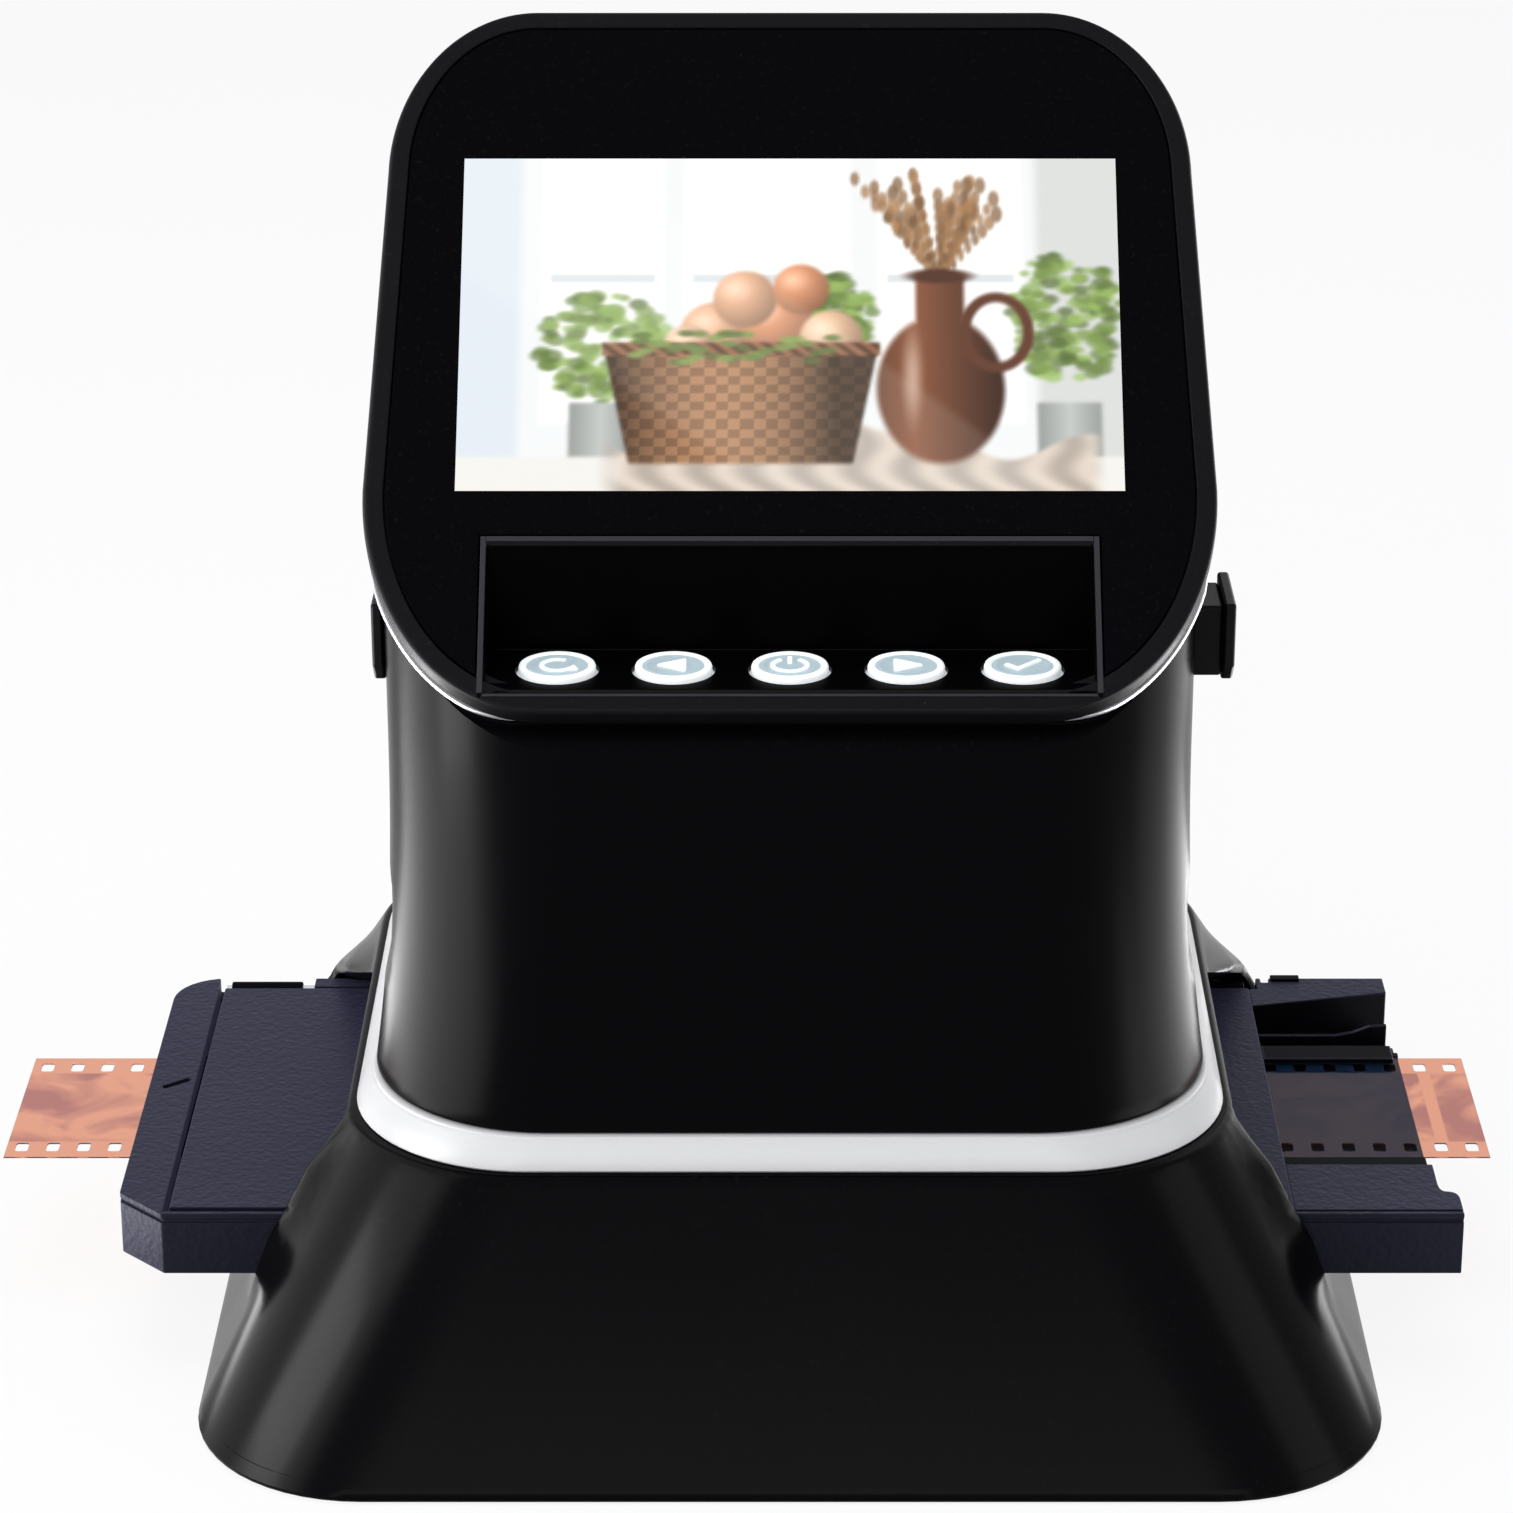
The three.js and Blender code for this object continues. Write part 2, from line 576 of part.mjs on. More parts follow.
/** Screw with its head below, the bearing face of the head at z = 0. */
function screwSolid() {
  const head = pillar(SCREW_HEAD_RADIUS, 0, 0, -SCREW_HEAD_HEIGHT, 0);
  const shank = pillar(SCREW_RADIUS, 0, 0, -SCREW_HEAD_HEIGHT / 2, SCREW_LENGTH);
  const crossBottom = -SCREW_HEAD_HEIGHT - OVERRUN;
  const crossTop = -SCREW_HEAD_HEIGHT + SCREW_CROSS_DEPTH;
  return cut(
    join(head, shank),
    slab(SCREW_CROSS_LENGTH, SCREW_CROSS_WIDTH, crossBottom, crossTop),
    slab(SCREW_CROSS_WIDTH, SCREW_CROSS_LENGTH, crossBottom, crossTop));
}

function feetAndBaseScrews() {
  const feet = fourCorners(footX, footY).map(([x, y], index) =>
    piece(`rubber_foot_${index + 1}`, pillar(FOOT_RADIUS, x, y, 0, recessCeiling), rubber));
  const screws = fourCorners(basePostX, basePostY).map(([x, y], index) => {
    const screw = piece(`base_screw_${index + 1}`, screwSolid(), steel);
    screw.position.set(x, y, recessCeiling);
    return screw;
  });
  return [...feet, ...screws];
}

// Lamp under the film, the bed that the tray slides on, and its guides

const lampPosts = () =>
  fourCorners(LAMP_BOARD_WIDTH / 2 - LAMP_POST_INSET, LAMP_BOARD_DEPTH / 2 - LAMP_POST_INSET);

function lampBoard() {
  const bottom = plateTop + LAMP_POST_HEIGHT;
  const top = bottom + BOARD_THICKNESS;
  let board = slab(LAMP_BOARD_WIDTH, LAMP_BOARD_DEPTH, bottom, top);
  for (const x of [-LED_PITCH, 0, LED_PITCH]) {
    for (const y of [-LED_PITCH / 2, LED_PITCH / 2]) {
      board = join(board, slab(LED_SIDE, LED_SIDE, bottom, top + LED_HEIGHT, x, y));
    }
  }
  return piece('lamp_board', board, lampWhite);
}

function trayBed() {
  const bottom = bedTop - BED_THICKNESS;
  let bed = slab(BED_WIDTH, bedDepth, bottom, bedTop);
  for (const [x, y] of fourCorners(BED_LEG_X, BED_LEG_Y)) {
    bed = join(bed, pillar(BED_LEG_RADIUS, x, y, plateTop, bottom + BED_THICKNESS / 2));
  }
  bed = cut(
    bed,
    slab(LAMP_WINDOW_WIDTH, LAMP_WINDOW_DEPTH, bedTop - DIFFUSER_THICKNESS, bedTop + OVERRUN),
    slab(LAMP_WINDOW_WIDTH - 2 * LAMP_LEDGE, LAMP_WINDOW_DEPTH - 2 * LAMP_LEDGE,
      bottom - OVERRUN, bedTop + OVERRUN));
  return piece('tray_bed', bed, satinBlack);
}

const diffuserPlate = () => piece(
  'diffuser_plate',
  slab(LAMP_WINDOW_WIDTH - 2 * GAP, LAMP_WINDOW_DEPTH - 2 * GAP, bedTop - DIFFUSER_THICKNESS, bedTop),
  lampWhite);

/** Guide rail with a lip over the tray's rim: side -1 is the front, 1 the rear. */
function trayGuide(name, side) {
  const face = side * (trayHalfDepth + RUNNING);
  const back = side * (trayHalfDepth + RUNNING + GUIDE_WALL);
  const lip = side * (trayHalfDepth - GUIDE_LIP);
  const lipBottom = trayTop + GAP;
  const outline = [
    [face, bedTop],
    [face, lipBottom],
    [lip, lipBottom],
    [lip, lipBottom + GUIDE_LIP_THICKNESS],
    [back, lipBottom + GUIDE_LIP_THICKNESS],
    [back, bedTop],
  ];
  return piece(name, prismAlongX(outline, -GUIDE_LENGTH / 2, GUIDE_LENGTH / 2), satinBlack);
}

// Tray, cover, hinge pin and film

/** Outline of the tray seen from above, with its left end rounded and chamfered. */
function trayOutline() {
  const shape = new THREE.Shape();
  shape.moveTo(-trayHalf + TRAY_CHAMFER_X, -trayHalfDepth);
  shape.lineTo(trayHalf, -trayHalfDepth);
  shape.lineTo(trayHalf, trayHalfDepth);
  shape.lineTo(-trayHalf + TRAY_CORNER_ROUND, trayHalfDepth);
  shape.absarc(-trayHalf + TRAY_CORNER_ROUND, trayHalfDepth - TRAY_CORNER_ROUND,
    TRAY_CORNER_ROUND, Math.PI / 2, Math.PI, false);
  shape.lineTo(-trayHalf, -trayHalfDepth + TRAY_CHAMFER_Y);
  return shape;
}

const knuckleStarts = () => knucklePlaceShares.map((share) => share * trayHalf - KNUCKLE_LENGTH / 2);

/** Long bevel on the top front edge of the tray. */
const trayBevel = () => prismAlongX([
  [-trayHalfDepth - OVERRUN, trayTop - TRAY_BEVEL_Z],
  [-trayHalfDepth, trayTop - TRAY_BEVEL_Z],
  [-trayHalfDepth + TRAY_BEVEL_X, trayTop],
  [-trayHalfDepth + TRAY_BEVEL_X, trayTop + OVERRUN],
  [-trayHalfDepth - OVERRUN, trayTop + OVERRUN],
], -trayHalf - OVERRUN, trayHalf + OVERRUN);

/** Everything that is cut from the tray's open right end. */
function openEndCuts() {
  const right = trayHalf + OVERRUN;
  const top = trayTop + OVERRUN;
  const pocketFront = channelHalf + CHANNEL_WALL;
  const barRear = -trayHalfDepth + FRONT_BAR_WIDTH;
  const rearRail = pocketFront + REAR_POCKET_WIDTH;
  return [
    block(coverRight, right, barRear, rearRail, filmTop + GAP, top),
    block(coverRight, right, pocketFront, rearRail, trayTop - REAR_STEP_DEPTH, top),
    block(coverRight, right, pocketFront + REAR_STEP_WIDTH, rearRail, trayTop - REAR_POCKET_DEPTH, top),
    block(trayHalf - TRAY_FLOOR_SHORT, right, barRear, trayHalfDepth + OVERRUN, TRAY_BOTTOM - OVERRUN, top),
  ];
}

/** Slots beside each cover knuckle, and the room that the knuckle turns in. */
function hingeCuts() {
  const front = coverRear - GAP;
  const back = trayHalfDepth + OVERRUN;
  return knuckleStarts().map((start) => join(
    block(start - KNUCKLE_SLOT, start + KNUCKLE_LENGTH + KNUCKLE_SLOT, front, back,
      trayTop - SLOT_DEPTH, trayTop + OVERRUN),
    block(start - GAP, start + KNUCKLE_LENGTH + GAP, front, back,
      hingeZ - KNUCKLE_RADIUS - GAP, trayTop + OVERRUN)));
}

/** The oblique pointer mark on top of the end block. */
function pointerMark() {
  const groove = slab(MARK_LENGTH, MARK_WIDTH, -MARK_DEPTH, OVERRUN);
  const turn = new THREE.Matrix4().makeRotationZ(THREE.MathUtils.degToRad(MARK_ANGLE));
  return solidOf(geometryOf(groove).applyMatrix4(turn)
    .translate(-trayHalf + TRAY_END_BLOCK / 2, MARK_LENGTH / 2, trayTop));
}

function trayBase() {
  const outline = extrude(trayOutline(), TRAY_HEIGHT).translate(0, 0, TRAY_BOTTOM);
  const pocketFloor = filmTop + GAP / 2;
  const tray = cut(
    solidOf(outline),
    block(coverLeft - COVER_MARGIN, coverRight + OVERRUN, coverFront - COVER_MARGIN,
      coverRear + COVER_MARGIN, pocketFloor, trayTop + OVERRUN),
    block(-trayHalf - OVERRUN, trayHalf + OVERRUN, -channelHalf, channelHalf,
      filmBottom - GAP, filmTop + GAP),
    slab(GATE_LENGTH, GATE_WIDTH, TRAY_BOTTOM - OVERRUN, trayTop + OVERRUN),
    rodAlongX(HINGE_PIN_RADIUS + HINGE_PIN_PLAY, pinLeft() - GAP, pinRight() + GAP, hingeY, hingeZ),
    trayBevel(),
    pointerMark(),
    ...openEndCuts(),
    ...hingeCuts());
  return piece('tray_base', tray, trayPlastic);
}

const pinLeft = () => coverLeft - COVER_MARGIN;
const pinRight = () => coverRight - KNUCKLE_SLOT;

const hingePin = () => piece(
  'tray_hinge_pin', rodAlongX(HINGE_PIN_RADIUS, pinLeft(), pinRight(), hingeY, hingeZ), steel);

function trayCover() {
  let cover = block(coverLeft, coverRight, coverFront, coverRear, filmTop + GAP, trayTop);
  for (const start of knuckleStarts()) {
    const left = start;
    const right = start + KNUCKLE_LENGTH;
    cover = join(
      cover,
      rodAlongX(KNUCKLE_RADIUS, left, right, hingeY, hingeZ),
      block(left, right, coverRear - KNUCKLE_RADIUS, hingeY, hingeZ, trayTop));
  }
  cover = cut(
    cover,
    slab(GATE_LENGTH, GATE_WIDTH, TRAY_BOTTOM, trayTop + OVERRUN),
    rodAlongX(HINGE_PIN_RADIUS + HINGE_PIN_PLAY, pinLeft() - OVERRUN, pinRight() + OVERRUN, hingeY, hingeZ));
  return piece('tray_cover', cover, trayPlastic);
}

/** The film with its two rows of perforations. */
function filmStrip() {
  const count = Math.round(FILM_LENGTH / PERFORATION_PITCH);
  const row = FILM_WIDTH / 2 - PERFORATION_MARGIN - PERFORATION_WIDTH / 2;
  const holes = [];
  for (const side of [-1, 1]) {
    for (let index = 0; index < count; index++) {
      const x = (index + 1 / 2 - count / 2) * PERFORATION_PITCH;
      holes.push(slab(PERFORATION_LENGTH, PERFORATION_WIDTH, -OVERRUN, OVERRUN, x, side * row));
    }
  }
  const strip = slab(FILM_LENGTH, FILM_WIDTH, 0, FILM_THICKNESS);
  const film = piece('film_strip', cut(strip, join(...holes)), filmBase);
  film.position.set(FILM_SHIFT, 0, filmBottom);
  return film;
}

// Collar and tower

function trimCollar() {
  const outside = loft([
    ring(collarWidth, collarDepth, BASE_CORNER + GAP, BASE_TOP),
    ring(collarTopWidth, collarTopDepth, TOWER_CORNER, towerFoot),
  ]);
  const skirt = skirtRing(BASE_TOP - OVERRUN, GAP);
  const hole = loft([skirt, { ...skirt, z: towerFoot + OVERRUN }]);
  return piece('trim_collar', cut(outside, hole), whiteTrim);
}

/** Ring of the tower's skirt, grown outwards by some clearance. */
function skirtRing(z, grow) {
  return ring(
    skirtWidth + 2 * grow,
    skirtDepth + 2 * grow,
    TOWER_CORNER - TOWER_SKIRT_INSET + grow,
    z);
}

/** Rings of the tower's outside, from its flared foot to above the head. */
function towerRings() {
  const rings = [];
  for (let step = 0; step <= FLARE_STEPS; step++) {
    const share = step / FLARE_STEPS;
    const flare = 2 * TOWER_FOOT_FLARE * (1 - share) ** TOWER_FLARE_POWER;
    rings.push(ring(
      TOWER_WIDTH + flare,
      THREE.MathUtils.lerp(towerFootDepth, TOWER_DEPTH, share),
      TOWER_CORNER,
      THREE.MathUtils.lerp(towerFoot, TOWER_FLARE_TOP, share)));
  }
  rings.push(ring(TOWER_WIDTH, TOWER_DEPTH, TOWER_CORNER, SHOULDER_HEIGHT));
  rings.push(ring(towerTopWidth, TOWER_DEPTH, TOWER_CORNER, towerTop));
  return rings;
}

/** Side view of the tower: walls drawn in by some wall, the slanted front some drop below the face. */
function towerProfile(wall, drop) {
  const lineStart = FACE_LIP_Z - drop / Math.cos(slope); // height of the slant above the lip
  const frontLine = (y) => lineStart + (y - faceLipY) * Math.tan(slope);
  const bottom = BASE_TOP - OVERRUN;
  const crest = FACE_LENGTH - BEZEL_OVERHANG - wall;
  const crestY = faceLipY + crest * Math.cos(slope) + drop * Math.sin(slope);
  const back = TOWER_DEPTH / 2 - wall;
  const shape = new THREE.Shape();
  shape.moveTo(faceLipY - (lineStart - bottom) / Math.tan(slope), bottom);
  shape.lineTo(crestY, frontLine(crestY));
  shape.lineTo(back - ROOF_ROUND / 2, ROOF_BACK - wall + ROOF_ROUND / 2);
  shape.quadraticCurveTo(back, ROOF_BACK - wall, back, ROOF_BACK - wall - ROOF_ROUND);
  shape.lineTo(back, bottom);
  return shape;
}

/** Prism square to the face that rounds the head's two top corners. */
function headCorners(wall) {
  const top = FACE_LENGTH - BEZEL_OVERHANG - wall;
  const side = faceWidth / 2 - wall;
  const radiusX = FACE_TOP_ROUND_X + (faceWidth - faceTopWidth) / 2;
  const shape = new THREE.Shape();
  shape.moveTo(-faceWidth, top - FACE_TOP_ROUND_Y);
  shape.lineTo(-faceWidth, -2 * FACE_LENGTH);
  shape.lineTo(faceWidth, -2 * FACE_LENGTH);
  shape.lineTo(faceWidth, top - FACE_TOP_ROUND_Y);
  shape.absellipse(side - radiusX, top - FACE_TOP_ROUND_Y, radiusX, FACE_TOP_ROUND_Y, 0, Math.PI / 2);
  shape.absellipse(-side + radiusX, top - FACE_TOP_ROUND_Y, radiusX, FACE_TOP_ROUND_Y,
    Math.PI / 2, Math.PI);
  const geometry = extrude(shape, 4 * FACE_LENGTH).translate(0, 0, -2 * FACE_LENGTH);
  return solidOf(geometry.applyMatrix4(faceFrame));
}

/** The tower's body drawn in by some wall, from the given lowest rings upwards. */
function towerBody(rings, wall, drop) {
  const profile = prismAlongX(towerProfile(wall, drop), -TOWER_WIDTH, TOWER_WIDTH);
  return loft(rings).intersect(profile).intersect(headCorners(wall));
}

function towerOutside() {
  const skirt = skirtRing(BASE_TOP, 0);
  return towerBody([skirt, { ...skirt, z: towerFoot }, ...towerRings()], 0, shellFaceDrop);
}

/** The hollow of the tower, which runs out through the slanted front that the bezel closes. */
function towerHollow() {
  const skirt = inset([skirtRing(BASE_TOP - OVERRUN, 0)], TOWER_SKIRT)[0];
  const flangeTop = towerFoot + TOWER_WALL;
  const walls = inset(towerRings(), TOWER_WALL).map((one, index) =>
    index === 0 ? { ...one, z: flangeTop } : one);
  return towerBody([skirt, { ...skirt, z: flangeTop }, ...walls], TOWER_WALL, shellFaceDrop - OVERRUN);
}

const bossPlaces = () => {
  const x = TOWER_WIDTH / 2 - TOWER_CORNER;
  const low = BAY_BOTTOM + BAY_HEIGHT + BASE_POST_RADIUS / 2;
  const high = ROOF_BACK - ROOF_ROUND - BASE_POST_RADIUS / 2;
  return [[-x, low], [x, low], [-x, high], [x, high]];
};

const rearScrewSeat = () => TOWER_SPLIT + BASE_POST_RADIUS;

function towerShell() {
  const outside = towerOutside();
  let shell = cut(outside, towerHollow());
  const front = block(-TOWER_WIDTH, TOWER_WIDTH, -TOWER_DEPTH, TOWER_SPLIT - GAP / 2, 0, 2 * towerTop);
  for (const [x, z] of bossPlaces()) {
    const boss = rodAlongY(BASE_POST_RADIUS, x, TOWER_SPLIT - 3 * BASE_POST_RADIUS, TOWER_SPLIT, z);
    const wallX = Math.sign(x) * TOWER_WIDTH / 2;
    const rib = block(Math.min(x, wallX), Math.max(x, wallX), TOWER_SPLIT - 3 * BASE_POST_RADIUS,
      TOWER_SPLIT, z - TOWER_WALL / 2, z + TOWER_WALL / 2);
    shell = join(shell, join(boss, rib).intersect(outside));
    shell = cut(shell, rodAlongY(SCREW_RADIUS + GAP, x,
      rearScrewSeat() - SCREW_LENGTH - GAP, TOWER_SPLIT + OVERRUN, z));
  }
  shell = cut(shell.intersect(front), ...socketBays(), ...selectorHoles());
  return piece('tower_shell', shell, glossBlack);
}

function rearCover() {
  const outside = towerOutside();
  let cover = cut(outside, towerHollow());
  const rear = block(-TOWER_WIDTH, TOWER_WIDTH, TOWER_SPLIT + GAP / 2, TOWER_DEPTH, 0, 2 * towerTop);
  for (const [x, z] of bossPlaces()) {
    const tube = rodAlongY(BASE_POST_RADIUS, x, TOWER_SPLIT, TOWER_DEPTH / 2, z).intersect(outside);
    cover = cut(
      join(cover, tube),
      rodAlongY(SCREW_HEAD_RADIUS + GAP, x, rearScrewSeat(), TOWER_DEPTH, z),
      rodAlongY(SCREW_RADIUS + GAP, x, TOWER_SPLIT - OVERRUN, TOWER_DEPTH, z));
  }
  return piece('rear_cover', cover.intersect(rear), glossBlack);
}

const rearScrews = () => bossPlaces().map(([x, z], index) => {
  const screw = piece(`rear_screw_${index + 1}`, screwSolid(), steel);
  screw.rotation.x = Math.PI / 2;
  screw.position.set(x, rearScrewSeat() + GAP, z);
  return screw;
});

function socketBays() {
  const y0 = bayMiddle - BAY_LENGTH / 2;
  return [-1, 1].map((side) => {
    const inner = side * (TOWER_WIDTH / 2 - 2 * TOWER_WALL);
    const outer = side * (TOWER_WIDTH / 2 + 2 * OVERRUN);
    return block(Math.min(inner, outer), Math.max(inner, outer), y0, y0 + BAY_LENGTH,
      BAY_BOTTOM, BAY_BOTTOM + BAY_HEIGHT);
  });
}

// Head face: bezel, trim, glass and screen

/** Outline of the face drawn in on all sides by some width. */
function faceOutline(drawIn) {
  const low = faceWidth / 2 - FACE_LOW_ROUND_X;
  const high = faceTopWidth / 2 - FACE_TOP_ROUND_X;
  const highY = FACE_LENGTH - FACE_TOP_ROUND_Y;
  const lowRadii = [FACE_LOW_ROUND_X - drawIn, FACE_LOW_ROUND_Y - drawIn];
  const highRadii = [FACE_TOP_ROUND_X - drawIn, FACE_TOP_ROUND_Y - drawIn];
  const quarter = Math.PI / 2;
  const shape = new THREE.Shape();
  shape.moveTo(low, drawIn);
  shape.absellipse(low, FACE_LOW_ROUND_Y, ...lowRadii, -quarter, 0);
  shape.absellipse(high, highY, ...highRadii, 0, quarter);
  shape.absellipse(-high, highY, ...highRadii, quarter, 2 * quarter);
  shape.absellipse(-low, FACE_LOW_ROUND_Y, ...lowRadii, 2 * quarter, 3 * quarter);
  return shape;
}

/** Plate of the face's outline between two depths along the face's normal. */
const facePlate = (drawIn, z0, z1) =>
  solidOf(extrude(faceOutline(drawIn), z1 - z0).translate(0, 0, z0));

const onFace = (solid) => solidOf(geometryOf(solid).applyMatrix4(faceFrame));

/** The wedge of air over the buttons, grown by some wall and cut off at the face. */
function recessWedge(grow) {
  const front = recessFront - 2 * grow;
  const outline = [
    [front - OVERRUN, recessFloor - grow],
    [recessRear + grow, recessFloor - grow],
    [recessRear + grow, recessFloor + RECESS_DEPTH + OVERRUN + 2 * grow],
    [front - OVERRUN, recessFloor + RECESS_DEPTH + OVERRUN + 2 * grow],
  ];
  return prismAlongX(outline, -recessWidth / 2 - grow, recessWidth / 2 + grow);
}

const bossesOnFace = () => fourCorners(
  screenWidth / 2 + BRACKET_MARGIN / 2, screenHeight / 2 - BRACKET_MARGIN);

function frontBezel() {
  const window = slab(screenWidth + 2 * GAP, screenHeight + 2 * GAP, -BEZEL_THICKNESS - OVERRUN,
    OVERRUN, 0, screenMiddle);
  let plate = cut(
    facePlate(0, -BEZEL_THICKNESS, 0),
    facePlate(BEZEL_RING, -GLASS_THICKNESS - GLASS_SINK - GAP, OVERRUN),
    window);
  for (const [x, y] of bossesOnFace()) {
    plate = join(plate, pillar(BRACKET_BOSS_RADIUS, x, screenMiddle + y,
      bracketTop() + GAP, -BEZEL_THICKNESS / 2 - GLASS_THICKNESS));
  }
  const belowFace = onFace(facePlate(BEZEL_RING / 2, -FACE_LENGTH, 0));
  const tub = recessWedge(RECESS_WALL).intersect(belowFace);
  let bezel = cut(join(onFace(plate), tub), recessWedge(0));
  for (const x of buttonPlaces()) {
    bezel = cut(
      bezel,
      pillar(buttonRadius + RUNNING, x, buttonY, recessUnder - OVERRUN, recessFloor + OVERRUN),
      pillar(flangeRadius + RUNNING, x, buttonY, keyBoardTop, recessUnder));
  }
  for (const side of [-1, 1]) {
    const postTop = recessUnder + RECESS_WALL / 2;
    bezel = join(bezel, pillar(BOARD_POST_RADIUS, side * keyPostX(), buttonY, keyBoardTop, postTop));
  }
  return piece('front_bezel', bezel, satinBlack);
}

const bracketTop = () => -GLASS_THICKNESS - GLASS_SINK - GAP - SCREEN_THICKNESS - GAP;

/** The pieces that lie in the face's own frame, as one turned group. */
function faceGroup() {
  const group = new THREE.Group();
  group.applyMatrix4(faceFrame);
  const trimTop = -BEZEL_THICKNESS - GAP;
  const trim = cut(
    facePlate(TRIM_INSET, trimTop - TRIM_THICKNESS, trimTop),
    facePlate(TRIM_INSET + TRIM_RING, trimTop - TRIM_THICKNESS - OVERRUN, trimTop + OVERRUN));
  const glassBack = -GLASS_THICKNESS - GLASS_SINK;
  const recessTop = (recessRear + RECESS_WALL + GAP - faceLipY) / Math.cos(slope);
  const glass = cut(
    facePlate(BEZEL_RING + GAP, glassBack, -GLASS_SINK),
    block(-recessWidth / 2 - RECESS_WALL - GAP, recessWidth / 2 + RECESS_WALL + GAP, -OVERRUN,
      recessTop, glassBack - OVERRUN, OVERRUN));
  const screenTop = glassBack - GAP;
  const screen = slab(screenWidth, screenHeight, screenTop - SCREEN_THICKNESS, screenTop, 0, screenMiddle);
  const bracket = slab(screenWidth + 2 * BRACKET_MARGIN, screenHeight, bracketTop() - BRACKET_THICKNESS,
    bracketTop(), 0, screenMiddle);
  group.add(
    piece('head_trim', trim, silverTrim),
    piece('screen_glass', glass, screenGlass),
    piece('lcd_panel', screen, screenPanel),
    piece('lcd_bracket', bracket, steel));
  return group;
}

// Buttons, switches and their board

const buttonPlaces = () => BUTTON_NAMES.map((_, index) =>
  (index - (BUTTON_NAMES.length - 1) / 2) * buttonPitch);

const keyPostX = () => (keyBoardWidth - 2 * BOARD_POST_RADIUS) / 2;

function buttons() {
  return buttonPlaces().map((x, index) => {
    const cap = pillar(buttonRadius, 0, 0, buttonFlangeTop - BUTTON_FLANGE, recessFloor + BUTTON_PROUD);
    const flange = pillar(flangeRadius, 0, 0, buttonFlangeTop - BUTTON_FLANGE, buttonFlangeTop);
    const stem = pillar(BUTTON_STEM_RADIUS, 0, 0, buttonFoot, buttonFlangeTop);
    const button = piece(`button_${BUTTON_NAMES[index]}`, join(cap, flange, stem), keyPlastic);
    button.position.set(x, buttonY, 0);
    return button;
  });
}

function keyBoardAndSwitches() {
  const board = piece(
    'button_board',
    slab(keyBoardWidth, KEY_BOARD_DEPTH, keyBoardTop - BOARD_THICKNESS, keyBoardTop, 0, buttonY),
    boardGreen);
  const switches = buttonPlaces().map((x, index) => {
    const body = slab(SWITCH_SIDE, SWITCH_SIDE, keyBoardTop, keyBoardTop + SWITCH_HEIGHT);
    const plunger = pillar(SWITCH_PLUNGER_RADIUS, 0, 0, keyBoardTop + SWITCH_HEIGHT / 2, switchTop);
    const one = piece(`key_switch_${index + 1}`, join(body, plunger), satinBlack);
    one.position.set(x, buttonY, 0);
    return one;
  });
  return [board, ...switches];
}

// Selector

/** Place of each plate's inner face, left pushed home and right drawn out. */
const selectorEnds = () => ({
  left: -TOWER_WIDTH / 2 - GAP,
  right: TOWER_WIDTH / 2 + SELECTOR_TRAVEL + GAP,
});

function selectorHoles() {
  const depth = SELECTOR_BAR_DEPTH + 2 * RUNNING;
  const half = SELECTOR_BAR_HEIGHT / 2 + RUNNING;
  return [-1, 1].map((side) => slab(4 * TOWER_WALL, depth, SELECTOR_Z - half, SELECTOR_Z + half,
    side * TOWER_WIDTH / 2, selectorY));
}

/** End plate with its two lower edges chamfered, its inner face at x. */
function selectorPlate(name, x, side) {
  const halfDepth = SELECTOR_PLATE_DEPTH / 2;
  const halfHeight = SELECTOR_PLATE_HEIGHT / 2;
  const chamfer = SELECTOR_PLATE_CHAMFER;
  const outline = [
    [-halfDepth, halfHeight],
    [-halfDepth, -halfHeight + chamfer],
    [-halfDepth + chamfer, -halfHeight],
    [halfDepth - chamfer, -halfHeight],
    [halfDepth, -halfHeight + chamfer],
    [halfDepth, halfHeight],
  ];
  const start = side > 0 ? x : x - SELECTOR_PLATE_THICKNESS;
  const plate = piece(name, prismAlongX(outline, start, start + SELECTOR_PLATE_THICKNESS), satinBlack);
  plate.position.set(0, selectorY, SELECTOR_Z);
  return plate;
}

function selector() {
  const { left, right } = selectorEnds();
  const bar = block(left, right, selectorY - SELECTOR_BAR_DEPTH / 2, selectorY + SELECTOR_BAR_DEPTH / 2,
    SELECTOR_Z - SELECTOR_BAR_HEIGHT / 2, SELECTOR_Z + SELECTOR_BAR_HEIGHT / 2);
  return [
    piece('selector_bar', bar, satinBlack),
    selectorPlate('selector_plate_left', left, -1),
    selectorPlate('selector_plate_right', right, 1),
  ];
}

// Light hood, main board, sockets and camera

const hoodPosts = () => {
  const x = mainBoardWidth / 2 - HOOD_POST_INSET;
  const front = mainBoardFront + HOOD_POST_INSET;
  const rear = MAIN_BOARD_REAR - HOOD_POST_INSET;
  return [[-x, front], [x, front], [-x, rear], [x, rear]];
};

const hoodRings = () => [
  ring(HOOD_WIDTH, HOOD_DEPTH, HOOD_CORNER, BASE_TOP),
  ring(HOOD_TOP_WIDTH, HOOD_TOP_DEPTH, HOOD_CORNER, hoodTop),
];

